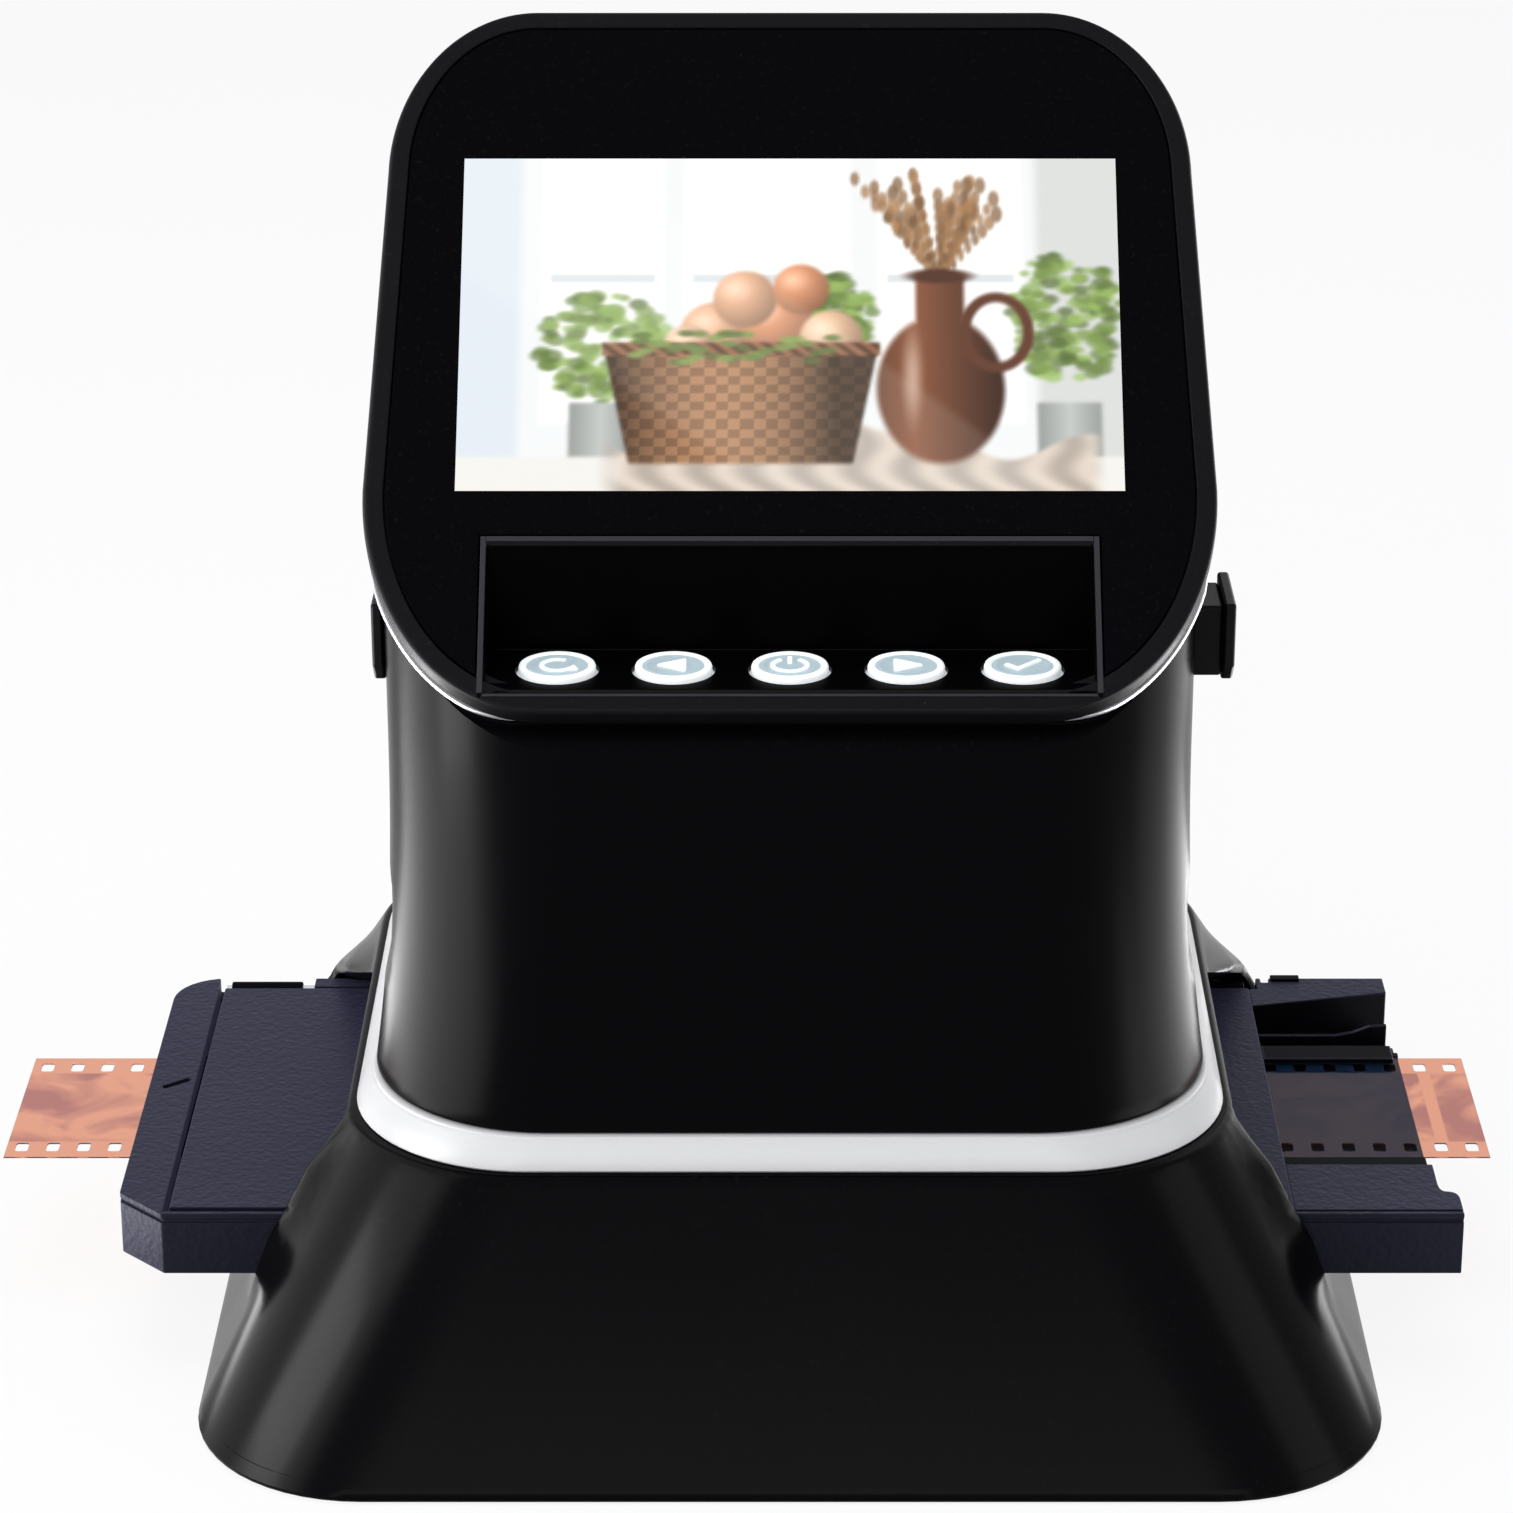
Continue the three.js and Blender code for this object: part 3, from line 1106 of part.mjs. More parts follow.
function lightHood() {
  const flange = slab(hoodFlangeWidth, hoodFlangeDepth, BASE_TOP, hoodFlangeTop);
  let hood = join(flange, loft(hoodRings()));
  for (const [x, y] of hoodPosts()) {
    hood = join(hood, pillar(HOOD_POST_RADIUS, x, y, BASE_TOP, mainBoardTop - BOARD_THICKNESS));
  }
  const [low, high] = hoodRings();
  const inside = loft([
    ring(HOOD_WIDTH - 2 * HOOD_WALL, HOOD_DEPTH - 2 * HOOD_WALL, HOOD_CORNER / 2, low.z - OVERRUN),
    ring(HOOD_TOP_WIDTH - 2 * HOOD_WALL, HOOD_TOP_DEPTH - 2 * HOOD_WALL, HOOD_CORNER / 2, high.z + OVERRUN),
  ]);
  return piece('light_hood', cut(hood, inside), satinBlack);
}

function mainBoard() {
  const share = (mainBoardTop - BASE_TOP) / HOOD_HEIGHT;
  const window = slab(
    THREE.MathUtils.lerp(HOOD_WIDTH, HOOD_TOP_WIDTH, share) + 4 * GAP,
    THREE.MathUtils.lerp(HOOD_DEPTH, HOOD_TOP_DEPTH, share) + 4 * GAP,
    mainBoardTop - BOARD_THICKNESS - OVERRUN, mainBoardTop + OVERRUN);
  const board = block(-mainBoardWidth / 2, mainBoardWidth / 2, mainBoardFront, MAIN_BOARD_REAR,
    mainBoardTop - BOARD_THICKNESS, mainBoardTop);
  return piece('main_board', cut(board, window), boardGreen);
}

/** Socket block on the main board with its mouth facing a side wall. */
function socket(name, { side, y, length, width, height, mouthWidth, mouthHeight }) {
  const outer = side * (TOWER_WIDTH / 2 - TOWER_WALL - SOCKET_SETBACK);
  const inner = outer - side * length;
  const body = block(Math.min(inner, outer), Math.max(inner, outer), y - width / 2, y + width / 2,
    mainBoardTop, mainBoardTop + height);
  const mouthInner = inner + side * SOCKET_WALL;
  const mouthOuter = outer + side * OVERRUN;
  const middle = mainBoardTop + height / 2;
  const mouth = block(Math.min(mouthInner, mouthOuter), Math.max(mouthInner, mouthOuter),
    y - mouthWidth / 2, y + mouthWidth / 2, middle - mouthHeight / 2, middle + mouthHeight / 2);
  return piece(name, cut(body, mouth), socketMetal);
}

const sockets = () => [
  socket('sd_socket', {
    side: -1, y: bayMiddle, length: CARD_SOCKET_LENGTH, width: CARD_SOCKET_WIDTH,
    height: CARD_SOCKET_HEIGHT, mouthWidth: CARD_WIDTH, mouthHeight: CARD_MOUTH_HEIGHT,
  }),
  socket('usb_port', {
    side: 1, y: bayMiddle - BAY_LENGTH / 4, length: USB_LENGTH, width: USB_WIDTH, height: USB_HEIGHT,
    mouthWidth: USB_WIDTH - 2 * SOCKET_WALL, mouthHeight: USB_HEIGHT - 2 * SOCKET_WALL,
  }),
  socket('video_port', {
    side: 1, y: bayMiddle + BAY_LENGTH / 4, length: VIDEO_LENGTH, width: VIDEO_WIDTH, height: VIDEO_HEIGHT,
    mouthWidth: VIDEO_WIDTH - 2 * SOCKET_WALL, mouthHeight: VIDEO_HEIGHT - 2 * SOCKET_WALL,
  }),
];

function cameraBracket() {
  const top = hoodTop + CAMERA_BRACKET_THICKNESS;
  let bracket = cut(
    slab(CAMERA_BRACKET_WIDTH, CAMERA_BRACKET_DEPTH, hoodTop, top),
    pillar(LENS_RADIUS + GAP, 0, 0, hoodTop - OVERRUN, top + OVERRUN));
  const x = CAMERA_BOARD_WIDTH / 2 - CAMERA_POST_RADIUS;
  const y = CAMERA_BOARD_DEPTH / 2 - CAMERA_POST_RADIUS;
  for (const [postX, postY] of fourCorners(x, y)) {
    bracket = join(bracket, pillar(CAMERA_POST_RADIUS, postX, postY, hoodTop, cameraBoardBottom));
  }
  return piece('camera_bracket', bracket, steel);
}

const cameraBoard = () => piece(
  'camera_board',
  slab(CAMERA_BOARD_WIDTH, CAMERA_BOARD_DEPTH, cameraBoardBottom, cameraBoardBottom + BOARD_THICKNESS),
  boardGreen);

/** Barrel that hangs from the camera board, turned from one profile. */
function lensBarrel() {
  const bottom = cameraBoardBottom - LENS_LENGTH;
  const profile = [
    [0, cameraBoardBottom],
    [0, cameraBoardBottom - LENS_ROOF],
    [LENS_BORE_RADIUS, cameraBoardBottom - LENS_ROOF],
    [LENS_BORE_RADIUS, bottom],
    [LENS_RADIUS, bottom],
    [LENS_RADIUS, cameraBoardBottom - LENS_FLANGE_HEIGHT],
    [LENS_FLANGE_RADIUS, cameraBoardBottom - LENS_FLANGE_HEIGHT],
    [LENS_FLANGE_RADIUS, cameraBoardBottom],
    [0, cameraBoardBottom],
  ];
  return piece('lens_barrel', turned(profile), satinBlack);
}

/** Solid turned about Z from [radius, z] points. */
function turned(profile) {
  const points = profile.map(([radius, z]) => new THREE.Vector2(radius, z));
  return solidOf(new THREE.LatheGeometry(points, ROUND_STEPS).rotateX(Math.PI / 2));
}

function frontLens() {
  const radius = LENS_BORE_RADIUS - LENS_GLASS_PLAY;
  const bottom = cameraBoardBottom - LENS_LENGTH + LENS_GLASS_SINK;
  const top = bottom + LENS_GLASS_THICKNESS;
  const faceShares = [0.5, 1];
  const low = faceShares.map((share) => [radius * share, bottom + LENS_GLASS_BULGE * share ** 2]);
  const high = faceShares.map((share) => [radius * share, top - LENS_GLASS_BULGE * share ** 2]).reverse();
  return piece('front_lens', turned([[0, bottom], ...low, ...high, [0, top], [0, bottom]]), lensGlass);
}

/** Flat ribbon of constant thickness between two heights, with a foot on the board below. */
function ribbon(name, y, topZ, footSide, head) {
  const far = y + RIBBON_THICKNESS;
  const low = mainBoardTop;
  const outline = footSide > 0
    ? [[y, topZ], [y, low], [far + RIBBON_FOOT, low], [far + RIBBON_FOOT, low + RIBBON_THICKNESS],
      [far, low + RIBBON_THICKNESS], [far, topZ]]
    : [[far, topZ], [far, low], [y - RIBBON_FOOT, low], [y - RIBBON_FOOT, low + RIBBON_THICKNESS],
      [y, low + RIBBON_THICKNESS], [y, topZ]];
  const strip = prismAlongX(footSide > 0 ? outline.reverse() : outline, -RIBBON_WIDTH / 2, RIBBON_WIDTH / 2);
  return piece(name, head ? join(strip, head) : strip, ribbonBrown);
}

function ribbons() {
  const cameraTop = cameraBoardBottom + BOARD_THICKNESS;
  const cameraY = MAIN_BOARD_REAR - RIBBON_FOOT - 2 * RIBBON_THICKNESS;
  const onCamera = block(-RIBBON_WIDTH / 2, RIBBON_WIDTH / 2, CAMERA_BOARD_DEPTH / 2 - RIBBON_FOOT,
    cameraY + RIBBON_THICKNESS, cameraTop, cameraTop + RIBBON_THICKNESS);
  const screenEdge = screenMiddle - screenHeight / 2;
  const screenY = faceLipY + screenEdge * Math.cos(slope) - bracketTop() * Math.sin(slope)
    - RIBBON_THICKNESS - 2 * GAP;
  const screenTop = FACE_LIP_Z + screenEdge * Math.sin(slope) + bracketTop() * Math.cos(slope) - GAP;
  return [
    ribbon('camera_ribbon', cameraY, cameraTop + RIBBON_THICKNESS, 1, onCamera),
    ribbon('screen_ribbon', screenY, screenTop, 1),
  ];
}

const scanner = new THREE.Group();
scanner.position.x = -FILM_SHIFT;
scanner.add(
  baseShell(),
  bottomPlate(),
  ...feetAndBaseScrews(),
  lampBoard(),
  trayBed(),
  diffuserPlate(),
  trayGuide('tray_guide_front', -1),
  trayGuide('tray_guide_rear', 1),
  trimCollar(),
  towerShell(),
  rearCover(),
  ...rearScrews(),
  frontBezel(),
  faceGroup(),
  ...buttons(),
  ...keyBoardAndSwitches(),
  ...selector(),
  lightHood(),
  mainBoard(),
  ...sockets(),
  cameraBracket(),
  cameraBoard(),
  lensBarrel(),
  frontLens(),
  ...ribbons(),
  trayBase(),
  trayCover(),
  hingePin(),
  filmStrip());

export default scanner;
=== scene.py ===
"""Film negative scanner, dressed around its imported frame.

Sizes are in millimetres about the scanner's own middle plane: X to the right, Y away, Z up. Each
piece is drawn there, and moves into the frame, in metres, when it is finished.
"""

import logging
import math
from dataclasses import dataclass, field
from enum import Enum

import bmesh
import bpy
import numpy as np
from mathutils import Matrix, Vector
from mathutils.geometry import tessellate_polygon


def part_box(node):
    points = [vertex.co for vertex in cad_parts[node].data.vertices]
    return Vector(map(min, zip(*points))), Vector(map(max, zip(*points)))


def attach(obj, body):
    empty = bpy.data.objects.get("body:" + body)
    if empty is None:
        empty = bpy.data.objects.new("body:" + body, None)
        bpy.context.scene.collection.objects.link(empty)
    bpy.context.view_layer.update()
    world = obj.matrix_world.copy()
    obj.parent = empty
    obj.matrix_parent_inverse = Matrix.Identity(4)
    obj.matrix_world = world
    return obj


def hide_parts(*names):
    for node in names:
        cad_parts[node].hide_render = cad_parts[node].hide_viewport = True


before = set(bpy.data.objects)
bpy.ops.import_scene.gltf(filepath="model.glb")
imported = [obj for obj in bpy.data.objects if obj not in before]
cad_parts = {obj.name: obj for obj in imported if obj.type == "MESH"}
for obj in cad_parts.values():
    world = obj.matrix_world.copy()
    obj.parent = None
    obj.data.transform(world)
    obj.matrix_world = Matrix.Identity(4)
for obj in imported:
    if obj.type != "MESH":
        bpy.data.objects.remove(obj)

log = logging.getLogger("scanner")

MM = 0.001
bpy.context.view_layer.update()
LOW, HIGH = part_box("tower_shell")
MIDDLE_X = (LOW.x + HIGH.x) / 2
INTO_FRAME = Matrix.Translation((MIDDLE_X, 0, 0)) @ Matrix.Scale(MM, 4)

Flat = tuple[float, float]
Triple = tuple[float, float, float]
Quad = tuple[float, float, float, float]
Socket = bpy.types.NodeSocket
Mesh = bmesh.types.BMesh


class Body(Enum):
    """The bodies of the frame that pieces ride on."""

    SCANNER = "scanner"
    MODE_KEY = "mode_key"
    LEFT_KEY = "left_key"
    POWER_KEY = "power_key"
    RIGHT_KEY = "right_key"
    CONFIRM_KEY = "confirm_key"
    SELECTOR = "selector"
    TRAY = "tray"
    COVER = "cover"
    FILM = "film"


class Symbol(Enum):
    """The raised signs on the keys."""

    TURN = "turn"
    LEFT = "left"
    POWER = "power"
    RIGHT = "right"
    TICK = "tick"


# Node helpers


class Nodes:
    """A node tree under construction, with its links made by name."""

    def __init__(self, tree: bpy.types.NodeTree) -> None:
        """Starts from an empty tree."""
        self.tree = tree
        tree.nodes.clear()

    def add(self, kind: str, inputs: dict | None = None, **settings: object) -> bpy.types.Node:
        """Adds one node.

        Args:
            kind: Blender's name of the node type.
            inputs: socket name or number to a value, or to an output socket to link.
            settings: the node's own properties.

        Returns:
            The new node.
        """
        node = self.tree.nodes.new(kind)
        for name, value in settings.items():
            setattr(node, name, value)
        for key, value in (inputs or {}).items():
            self.join(value, node.inputs[key])
        return node

    def join(self, value: object, socket: Socket) -> None:
        """Links an output to a socket, or sets the socket's value."""
        if isinstance(value, Socket):
            self.tree.links.new(value, socket)
        else:
            socket.default_value = value

    def math(self, operation: str, *values: object) -> Socket:
        """A Math node's output for the given operation and values."""
        node = self.add("ShaderNodeMath", dict(enumerate(values)), operation=operation)
        return node.outputs[0]

    def ramp(self, value: object, start: Flat, end: Flat = (0.0, 1.0)) -> Socket:
        """A Map Range node's output, from one range to another."""
        return self.add("ShaderNodeMapRange", {
            "Value": value, "From Min": start[0], "From Max": start[1],
            "To Min": end[0], "To Max": end[1]}).outputs[0]

    def mix(self, share: object, first: object, second: object) -> Socket:
        """A colour mixed from two by a share."""
        return self.add(
            "ShaderNodeMix", {0: share, 6: first, 7: second}, data_type="RGBA").outputs[2]

    def noise(self, place: object, scale: object, detail: float, **more: float) -> Socket:
        """A Noise node's value, with further inputs by name."""
        return self.add("ShaderNodeTexNoise", {
            "Vector": place, "Scale": scale, "Detail": detail, **more}).outputs["Fac"]

    def surface(self, inputs: dict) -> None:
        """Adds a Principled shader and leads it to the material's output."""
        shader = self.add("ShaderNodeBsdfPrincipled", inputs)
        self.add("ShaderNodeOutputMaterial", {"Surface": shader.outputs["BSDF"]})

    def seen(self) -> Socket:
        """1 for rays from the camera, from gloss and through glass, and 0 for all others."""
        path = self.add("ShaderNodeLightPath").outputs
        return self.math("MAXIMUM", path["Is Camera Ray"], self.math(
            "MAXIMUM", path["Is Glossy Ray"], path["Is Transmission Ray"]))


def new_group(name: str, inputs: dict[str, tuple[str, object]], outputs: dict[str, str]) -> tuple:
    """Makes a shader node group with named sockets.

    Args:
        name: the group's name.
        inputs: socket name to its kind and starting value.
        outputs: socket name to its kind.

    Returns:
        The group, its node helper, and its input and output nodes.
    """
    group = bpy.data.node_groups.new(name, "ShaderNodeTree")
    nodes = Nodes(group)
    for socket, (kind, value) in inputs.items():
        made = group.interface.new_socket(name=socket, in_out="INPUT", socket_type=kind)
        made.default_value = value
    for socket, kind in outputs.items():
        group.interface.new_socket(name=socket, in_out="OUTPUT", socket_type=kind)
    return group, nodes, nodes.add("NodeGroupInput"), nodes.add("NodeGroupOutput")


def new_object(name: str, data: bpy.types.ID) -> bpy.types.Object:
    """An object for some data, linked to the scene."""
    made = bpy.data.objects.new(name, data)
    bpy.context.scene.collection.objects.link(made)
    return made


def new_material(name: str) -> tuple[bpy.types.Material, Nodes]:
    """An empty material, and the helper that fills its nodes."""
    material = bpy.data.materials.new(name)
    material.use_nodes = True
    return material, Nodes(material.node_tree)


NUMBER = "NodeSocketFloat"
BLACK = (0.0, 0.0, 0.0, 1.0)
PURE_WHITE = (1.0, 1.0, 1.0, 1.0)


@dataclass(frozen=True)
class Patterns:
    """Scales, per metre, and thresholds of the effects that finishes share."""

    fine_detail: float = 3.0
    fine_roughness: float = 0.6
    cell_share: float = 0.8
    drift_scale: float = 40.0
    drift_detail: float = 4.0
    speck_scale: float = 1400.0
    speck_detail: float = 2.0
    speck_range: Flat = (0.62, 0.8)
    cloud_scale: float = 26.0
    cloud_detail: float = 5.0
    wipe_scale: Triple = (18.0, 60.0, 18.0)
    wipe_detail: float = 6.0
    wipe_range: Flat = (0.45, 0.75)
    dust_colour: Quad = (0.5, 0.5, 0.52, 1.0)
    coat_roughness: float = 0.05


PATTERNS = Patterns()


def grain_group() -> bpy.types.NodeTree:
    """Fine moulded grain: a height for bump and a mask that drifts the gloss."""
    group, nodes, given, out = new_group(
        "moulded_grain",
        {"Scale": (NUMBER, 1000.0), "Coarse Share": (NUMBER, 0.3)},
        {"Height": NUMBER, "Drift": NUMBER},
    )
    place = nodes.add("ShaderNodeTexCoord").outputs["Object"]
    scale = given.outputs["Scale"]
    fine = nodes.noise(place, scale, PATTERNS.fine_detail, Roughness=PATTERNS.fine_roughness)
    cells = nodes.add("ShaderNodeTexVoronoi", {
        "Vector": place, "Scale": nodes.math("MULTIPLY", scale, PATTERNS.cell_share)},
        feature="SMOOTH_F1")
    broad = nodes.noise(place, PATTERNS.drift_scale, PATTERNS.drift_detail)
    coarse = nodes.math("MULTIPLY", cells.outputs["Distance"], given.outputs["Coarse Share"])
    nodes.join(nodes.math("ADD", fine, coarse), out.inputs["Height"])
    nodes.join(broad, out.inputs["Drift"])
    return group


def wear_group() -> bpy.types.NodeTree:
    """Handling marks: fine dust on faces that look up, and faint wiped smears."""
    group, nodes, given, out = new_group(
        "dust_and_smears",
        {"Dust": (NUMBER, 0.1), "Smear": (NUMBER, 0.1)},
        {"Dust Mask": NUMBER, "Smear Mask": NUMBER},
    )
    place = nodes.add("ShaderNodeTexCoord").outputs["Object"]
    facing = nodes.add(
        "ShaderNodeSeparateXYZ", {"Vector": nodes.add("ShaderNodeNewGeometry").outputs["Normal"]})
    upward = nodes.math("MAXIMUM", facing.outputs["Z"], 0.0)
    specks = nodes.noise(place, PATTERNS.speck_scale, PATTERNS.speck_detail)
    clouds = nodes.noise(place, PATTERNS.cloud_scale, PATTERNS.cloud_detail)
    sharp = nodes.ramp(specks, PATTERNS.speck_range)
    dust = nodes.math("MULTIPLY", nodes.math("MULTIPLY", sharp, upward),
                      nodes.math("MULTIPLY", clouds, given.outputs["Dust"]))
    stretch = nodes.add("ShaderNodeMapping", {"Vector": place, "Scale": PATTERNS.wipe_scale})
    wiped = nodes.noise(stretch.outputs[0], 1.0, PATTERNS.wipe_detail)
    smear = nodes.ramp(wiped, PATTERNS.wipe_range)
    nodes.join(dust, out.inputs["Dust Mask"])
    nodes.join(nodes.math("MULTIPLY", smear, given.outputs["Smear"]), out.inputs["Smear Mask"])
    return group


class Effects:
    """The shader groups that finishes share, each built once."""

    made: dict[str, bpy.types.NodeTree] = {}

    @classmethod
    def get(cls, name: str) -> bpy.types.NodeTree:
        """The shared group of that name, built on first use."""
        if name not in cls.made:
            cls.made[name] = {"grain": grain_group, "wear": wear_group}[name]()
        return cls.made[name]


@dataclass(frozen=True)
class Finish:
    """One finish: its colour, gloss, grain and marks of use."""

    name: str
    slot: str
    color: Triple
    roughness: float
    metallic: float = 0.0
    specular: float = 0.5
    coat: float = 0.0
    grain_scale: float = 1600.0
    grain_depth: float = 0.000004
    coarse: float = 0.3
    gloss_drift: float = 0.05
    dust: float = 0.04
    smear: float = 0.05
    # painted glow: emission in the finish's own colour, for parts that are no lamp
    painted_glow: float = 0.0
    sheen: float = 0.0
    sheen_tint: Triple = (1.0, 1.0, 1.0)

    def material(self) -> bpy.types.Material:
        """The finish as a material, built on first use."""
        found = bpy.data.materials.get(self.name)
        return found or self.build()

    def build(self) -> bpy.types.Material:
        """Builds the material's nodes.

        Returns:
            The new material.
        """
        material, nodes = new_material(self.name)
        grain = nodes.add("ShaderNodeGroup", {
            "Scale": self.grain_scale, "Coarse Share": self.coarse}, node_tree=Effects.get("grain"))
        wear = nodes.add("ShaderNodeGroup", {
            "Dust": self.dust, "Smear": self.smear}, node_tree=Effects.get("wear"))
        color = nodes.mix(wear.outputs["Dust Mask"], (*self.color, 1.0), PATTERNS.dust_colour)
        drift = nodes.ramp(grain.outputs["Drift"], (0.0, 1.0), (
            max(self.roughness - self.gloss_drift, 0.0), self.roughness + self.gloss_drift))
        bump = nodes.add(
            "ShaderNodeBump", {"Height": grain.outputs["Height"], "Distance": self.grain_depth})
        nodes.surface({
            "Base Color": color,
            "Roughness": nodes.math("ADD", drift, wear.outputs["Smear Mask"]),
            "Metallic": self.metallic,
            "Specular IOR Level": self.specular,
            "Coat Weight": self.coat,
            "Coat Roughness": PATTERNS.coat_roughness,
            # painted glow: the finish emits its own colour at the strength above
            "Emission Color": (*self.color, 1.0),
            "Emission Strength": self.painted_glow,
            "Sheen Weight": self.sheen,
            "Sheen Tint": (*self.sheen_tint, 1.0),
            "Normal": bump.outputs["Normal"]})
        return material


GLOSS_BLACK = Finish("gloss_black_shell", "gloss_black", (0.0009, 0.0007, 0.0012), 0.24, specular=0.03,
                     grain_depth=0.0000012, gloss_drift=0.02, smear=0.03, dust=0.02)
BASE_BLACK = Finish("satin_black_base", "gloss_black", (0.0011, 0.0009, 0.0014), 0.2, specular=0.035,
                    grain_depth=0.000002, gloss_drift=0.03, smear=0.03, dust=0.02)
SATIN_BLACK = Finish("satin_black_frame", "satin_black", (0.004, 0.0038, 0.0048), 0.38, specular=0.06)
# painted shade: a darker, duller black for the faces inside the key recess
RECESS_SHADE_BLACK = Finish("recess_painted_shade", "satin_black", (0.0008, 0.0007, 0.001), 0.3, specular=0.012,
                      dust=0.0)
INNER_BLACK = Finish("matt_black_inside", "satin_black", (0.006, 0.006, 0.007), 0.6, specular=0.3)
TRAY = Finish("textured_tray", "tray_plastic", (0.0055, 0.0054, 0.012), 0.44, specular=0.06,
              grain_scale=1300.0, grain_depth=0.00008, coarse=1.0, dust=0.05, sheen=0.25,
              sheen_tint=(0.55, 0.55, 1.0))
# darker tray finish: painted shade on flat faces in the tray's pockets, grooves and open end, and also the
# colour of the knuckles and the hinge stop
TRAY_DARK_AND_SHADE = Finish("tray_dark_and_painted_shade", "tray_plastic", (0.002, 0.0019, 0.003), 0.45, specular=0.02,
                     dust=0.0)
WHITE = Finish("white_collar_plastic", "white_trim", (0.74, 0.74, 0.75), 0.32, specular=0.15,
               dust=0.02)
SILVER = Finish("silver_line", "silver_trim", (0.7, 0.71, 0.74), 0.28, metallic=0.6, dust=0.02)
# painted highlight: a pale grey for thin strips that stand in for light caught on the recess rim's edges
EDGE_HIGHLIGHT_GREY = Finish("painted_edge_highlight", "satin_black", (0.028, 0.028, 0.034), 0.34, specular=0.12, dust=0.0)
GLASS = Finish("black_front_glass", "black_glass", (0.0014, 0.0011, 0.0017), 0.05, specular=0.02,
               grain_depth=0.0, gloss_drift=0.01, smear=0.02, dust=0.02)
# The keys' faces, rims and signs carry a painted glow: they emit their own colour though nothing lights
# them from behind
KEY_FACE = Finish("key_face", "key_plastic", (0.36, 0.45, 0.49), 0.42, grain_depth=0.000003, painted_glow=0.4)
KEY_RIM = Finish("key_rim", "key_plastic", (0.9, 0.93, 0.94), 0.35, grain_depth=0.000002, painted_glow=0.35)
STEEL = Finish("bright_steel", "steel", (0.55, 0.55, 0.57), 0.3, metallic=1.0, grain_scale=3000.0)
BOARD = Finish("green_board", "circuit_board", (0.012, 0.1, 0.035), 0.42)
SOCKET = Finish("socket_tin", "socket_metal", (0.45, 0.46, 0.48), 0.33, metallic=0.9)
RUBBER = Finish("rubber_foot", "rubber", (0.012, 0.012, 0.012), 0.8, grain_depth=0.00003)
LAMP = Finish("lamp_white", "diffuser", (0.86, 0.86, 0.83), 0.5)
LENS = Finish("lens_glass_blue", "lens_glass", (0.01, 0.018, 0.03), 0.04, coat=1.0, grain_depth=0.0)
RIBBON = Finish("ribbon_amber", "ribbon", (0.25, 0.1, 0.025), 0.4)


# Drawing in millimetres


CUT_TOLERANCE = 0.0001
SAME_POINT = 0.001
HAIR = 0.01
FAR = 99
ROOT_HALF = math.sqrt(0.5)


class Draft:
    """A mesh being drawn, in millimetres, with one finish number for each face."""

    def __init__(self) -> None:
        """Starts empty."""
        self.points: list[np.ndarray] = []
        self.faces: list[tuple[int, ...]] = []
        self.kinds: list[int] = []
        self.count = 0

    def add(self, points: object, faces: list, kind: int = 0) -> "Draft":
        """Adds points and the faces between them.

        Args:
            points: rows of x, y, z.
            faces: tuples of point numbers, counted from the first new point.
            kind: which of the piece's finishes the faces take.

        Returns:
            This draft.
        """
        rows = np.asarray(points, float).reshape(-1, 3)
        self.points.append(rows)
        self.faces += [tuple(self.count + int(i) for i in face) for face in faces]
        self.kinds += [kind] * len(faces)
        self.count += len(rows)
        return self

    def take(self, other: "Draft", kind: int | None = None) -> "Draft":
        """Adds all of another draft, with its own finish numbers or with one."""
        start = self.count
        self.points += other.points
        self.count += other.count
        self.faces += [tuple(start + i for i in face) for face in other.faces]
        self.kinds += other.kinds if kind is None else [kind] * len(other.faces)
        return self

    def moved(self, matrix: Matrix) -> "Draft":
        """This draft with every point moved by a matrix."""
        turn = np.array(matrix.to_3x3())
        shift = np.array(matrix.translation)
        self.points = [rows @ turn.T + shift for rows in self.points]
        return self

    def bmesh(self) -> Mesh:
        """The draft as a bmesh, still in millimetres."""
        mesh = bmesh.new()
        rows = np.vstack(self.points) if self.points else np.zeros((0, 3))
        verts = [mesh.verts.new(row) for row in rows]
        for face, kind in zip(self.faces, self.kinds):
            made = mesh.faces.new([verts[i] for i in face])
            made.material_index = kind
        return mesh


def loft(rings: list[np.ndarray], closed: bool = False) -> Draft:
    """Skin through rings of equally many points.

    Args:
        rings: arrays of x, y, z rows, each anticlockwise seen from the side the rings run to.
        closed: whether the last ring joins the first.

    Returns:
        The skin as a draft.
    """
    count = len(rings[0])
    last = len(rings) if closed else len(rings) - 1
    faces = []
    for low in range(last):
        high = (low + 1) % len(rings)
        for i in range(count):
            j = (i + 1) % count
            faces.append((low * count + i, low * count + j, high * count + j, high * count + i))
    return Draft().add(np.vstack(rings), faces)


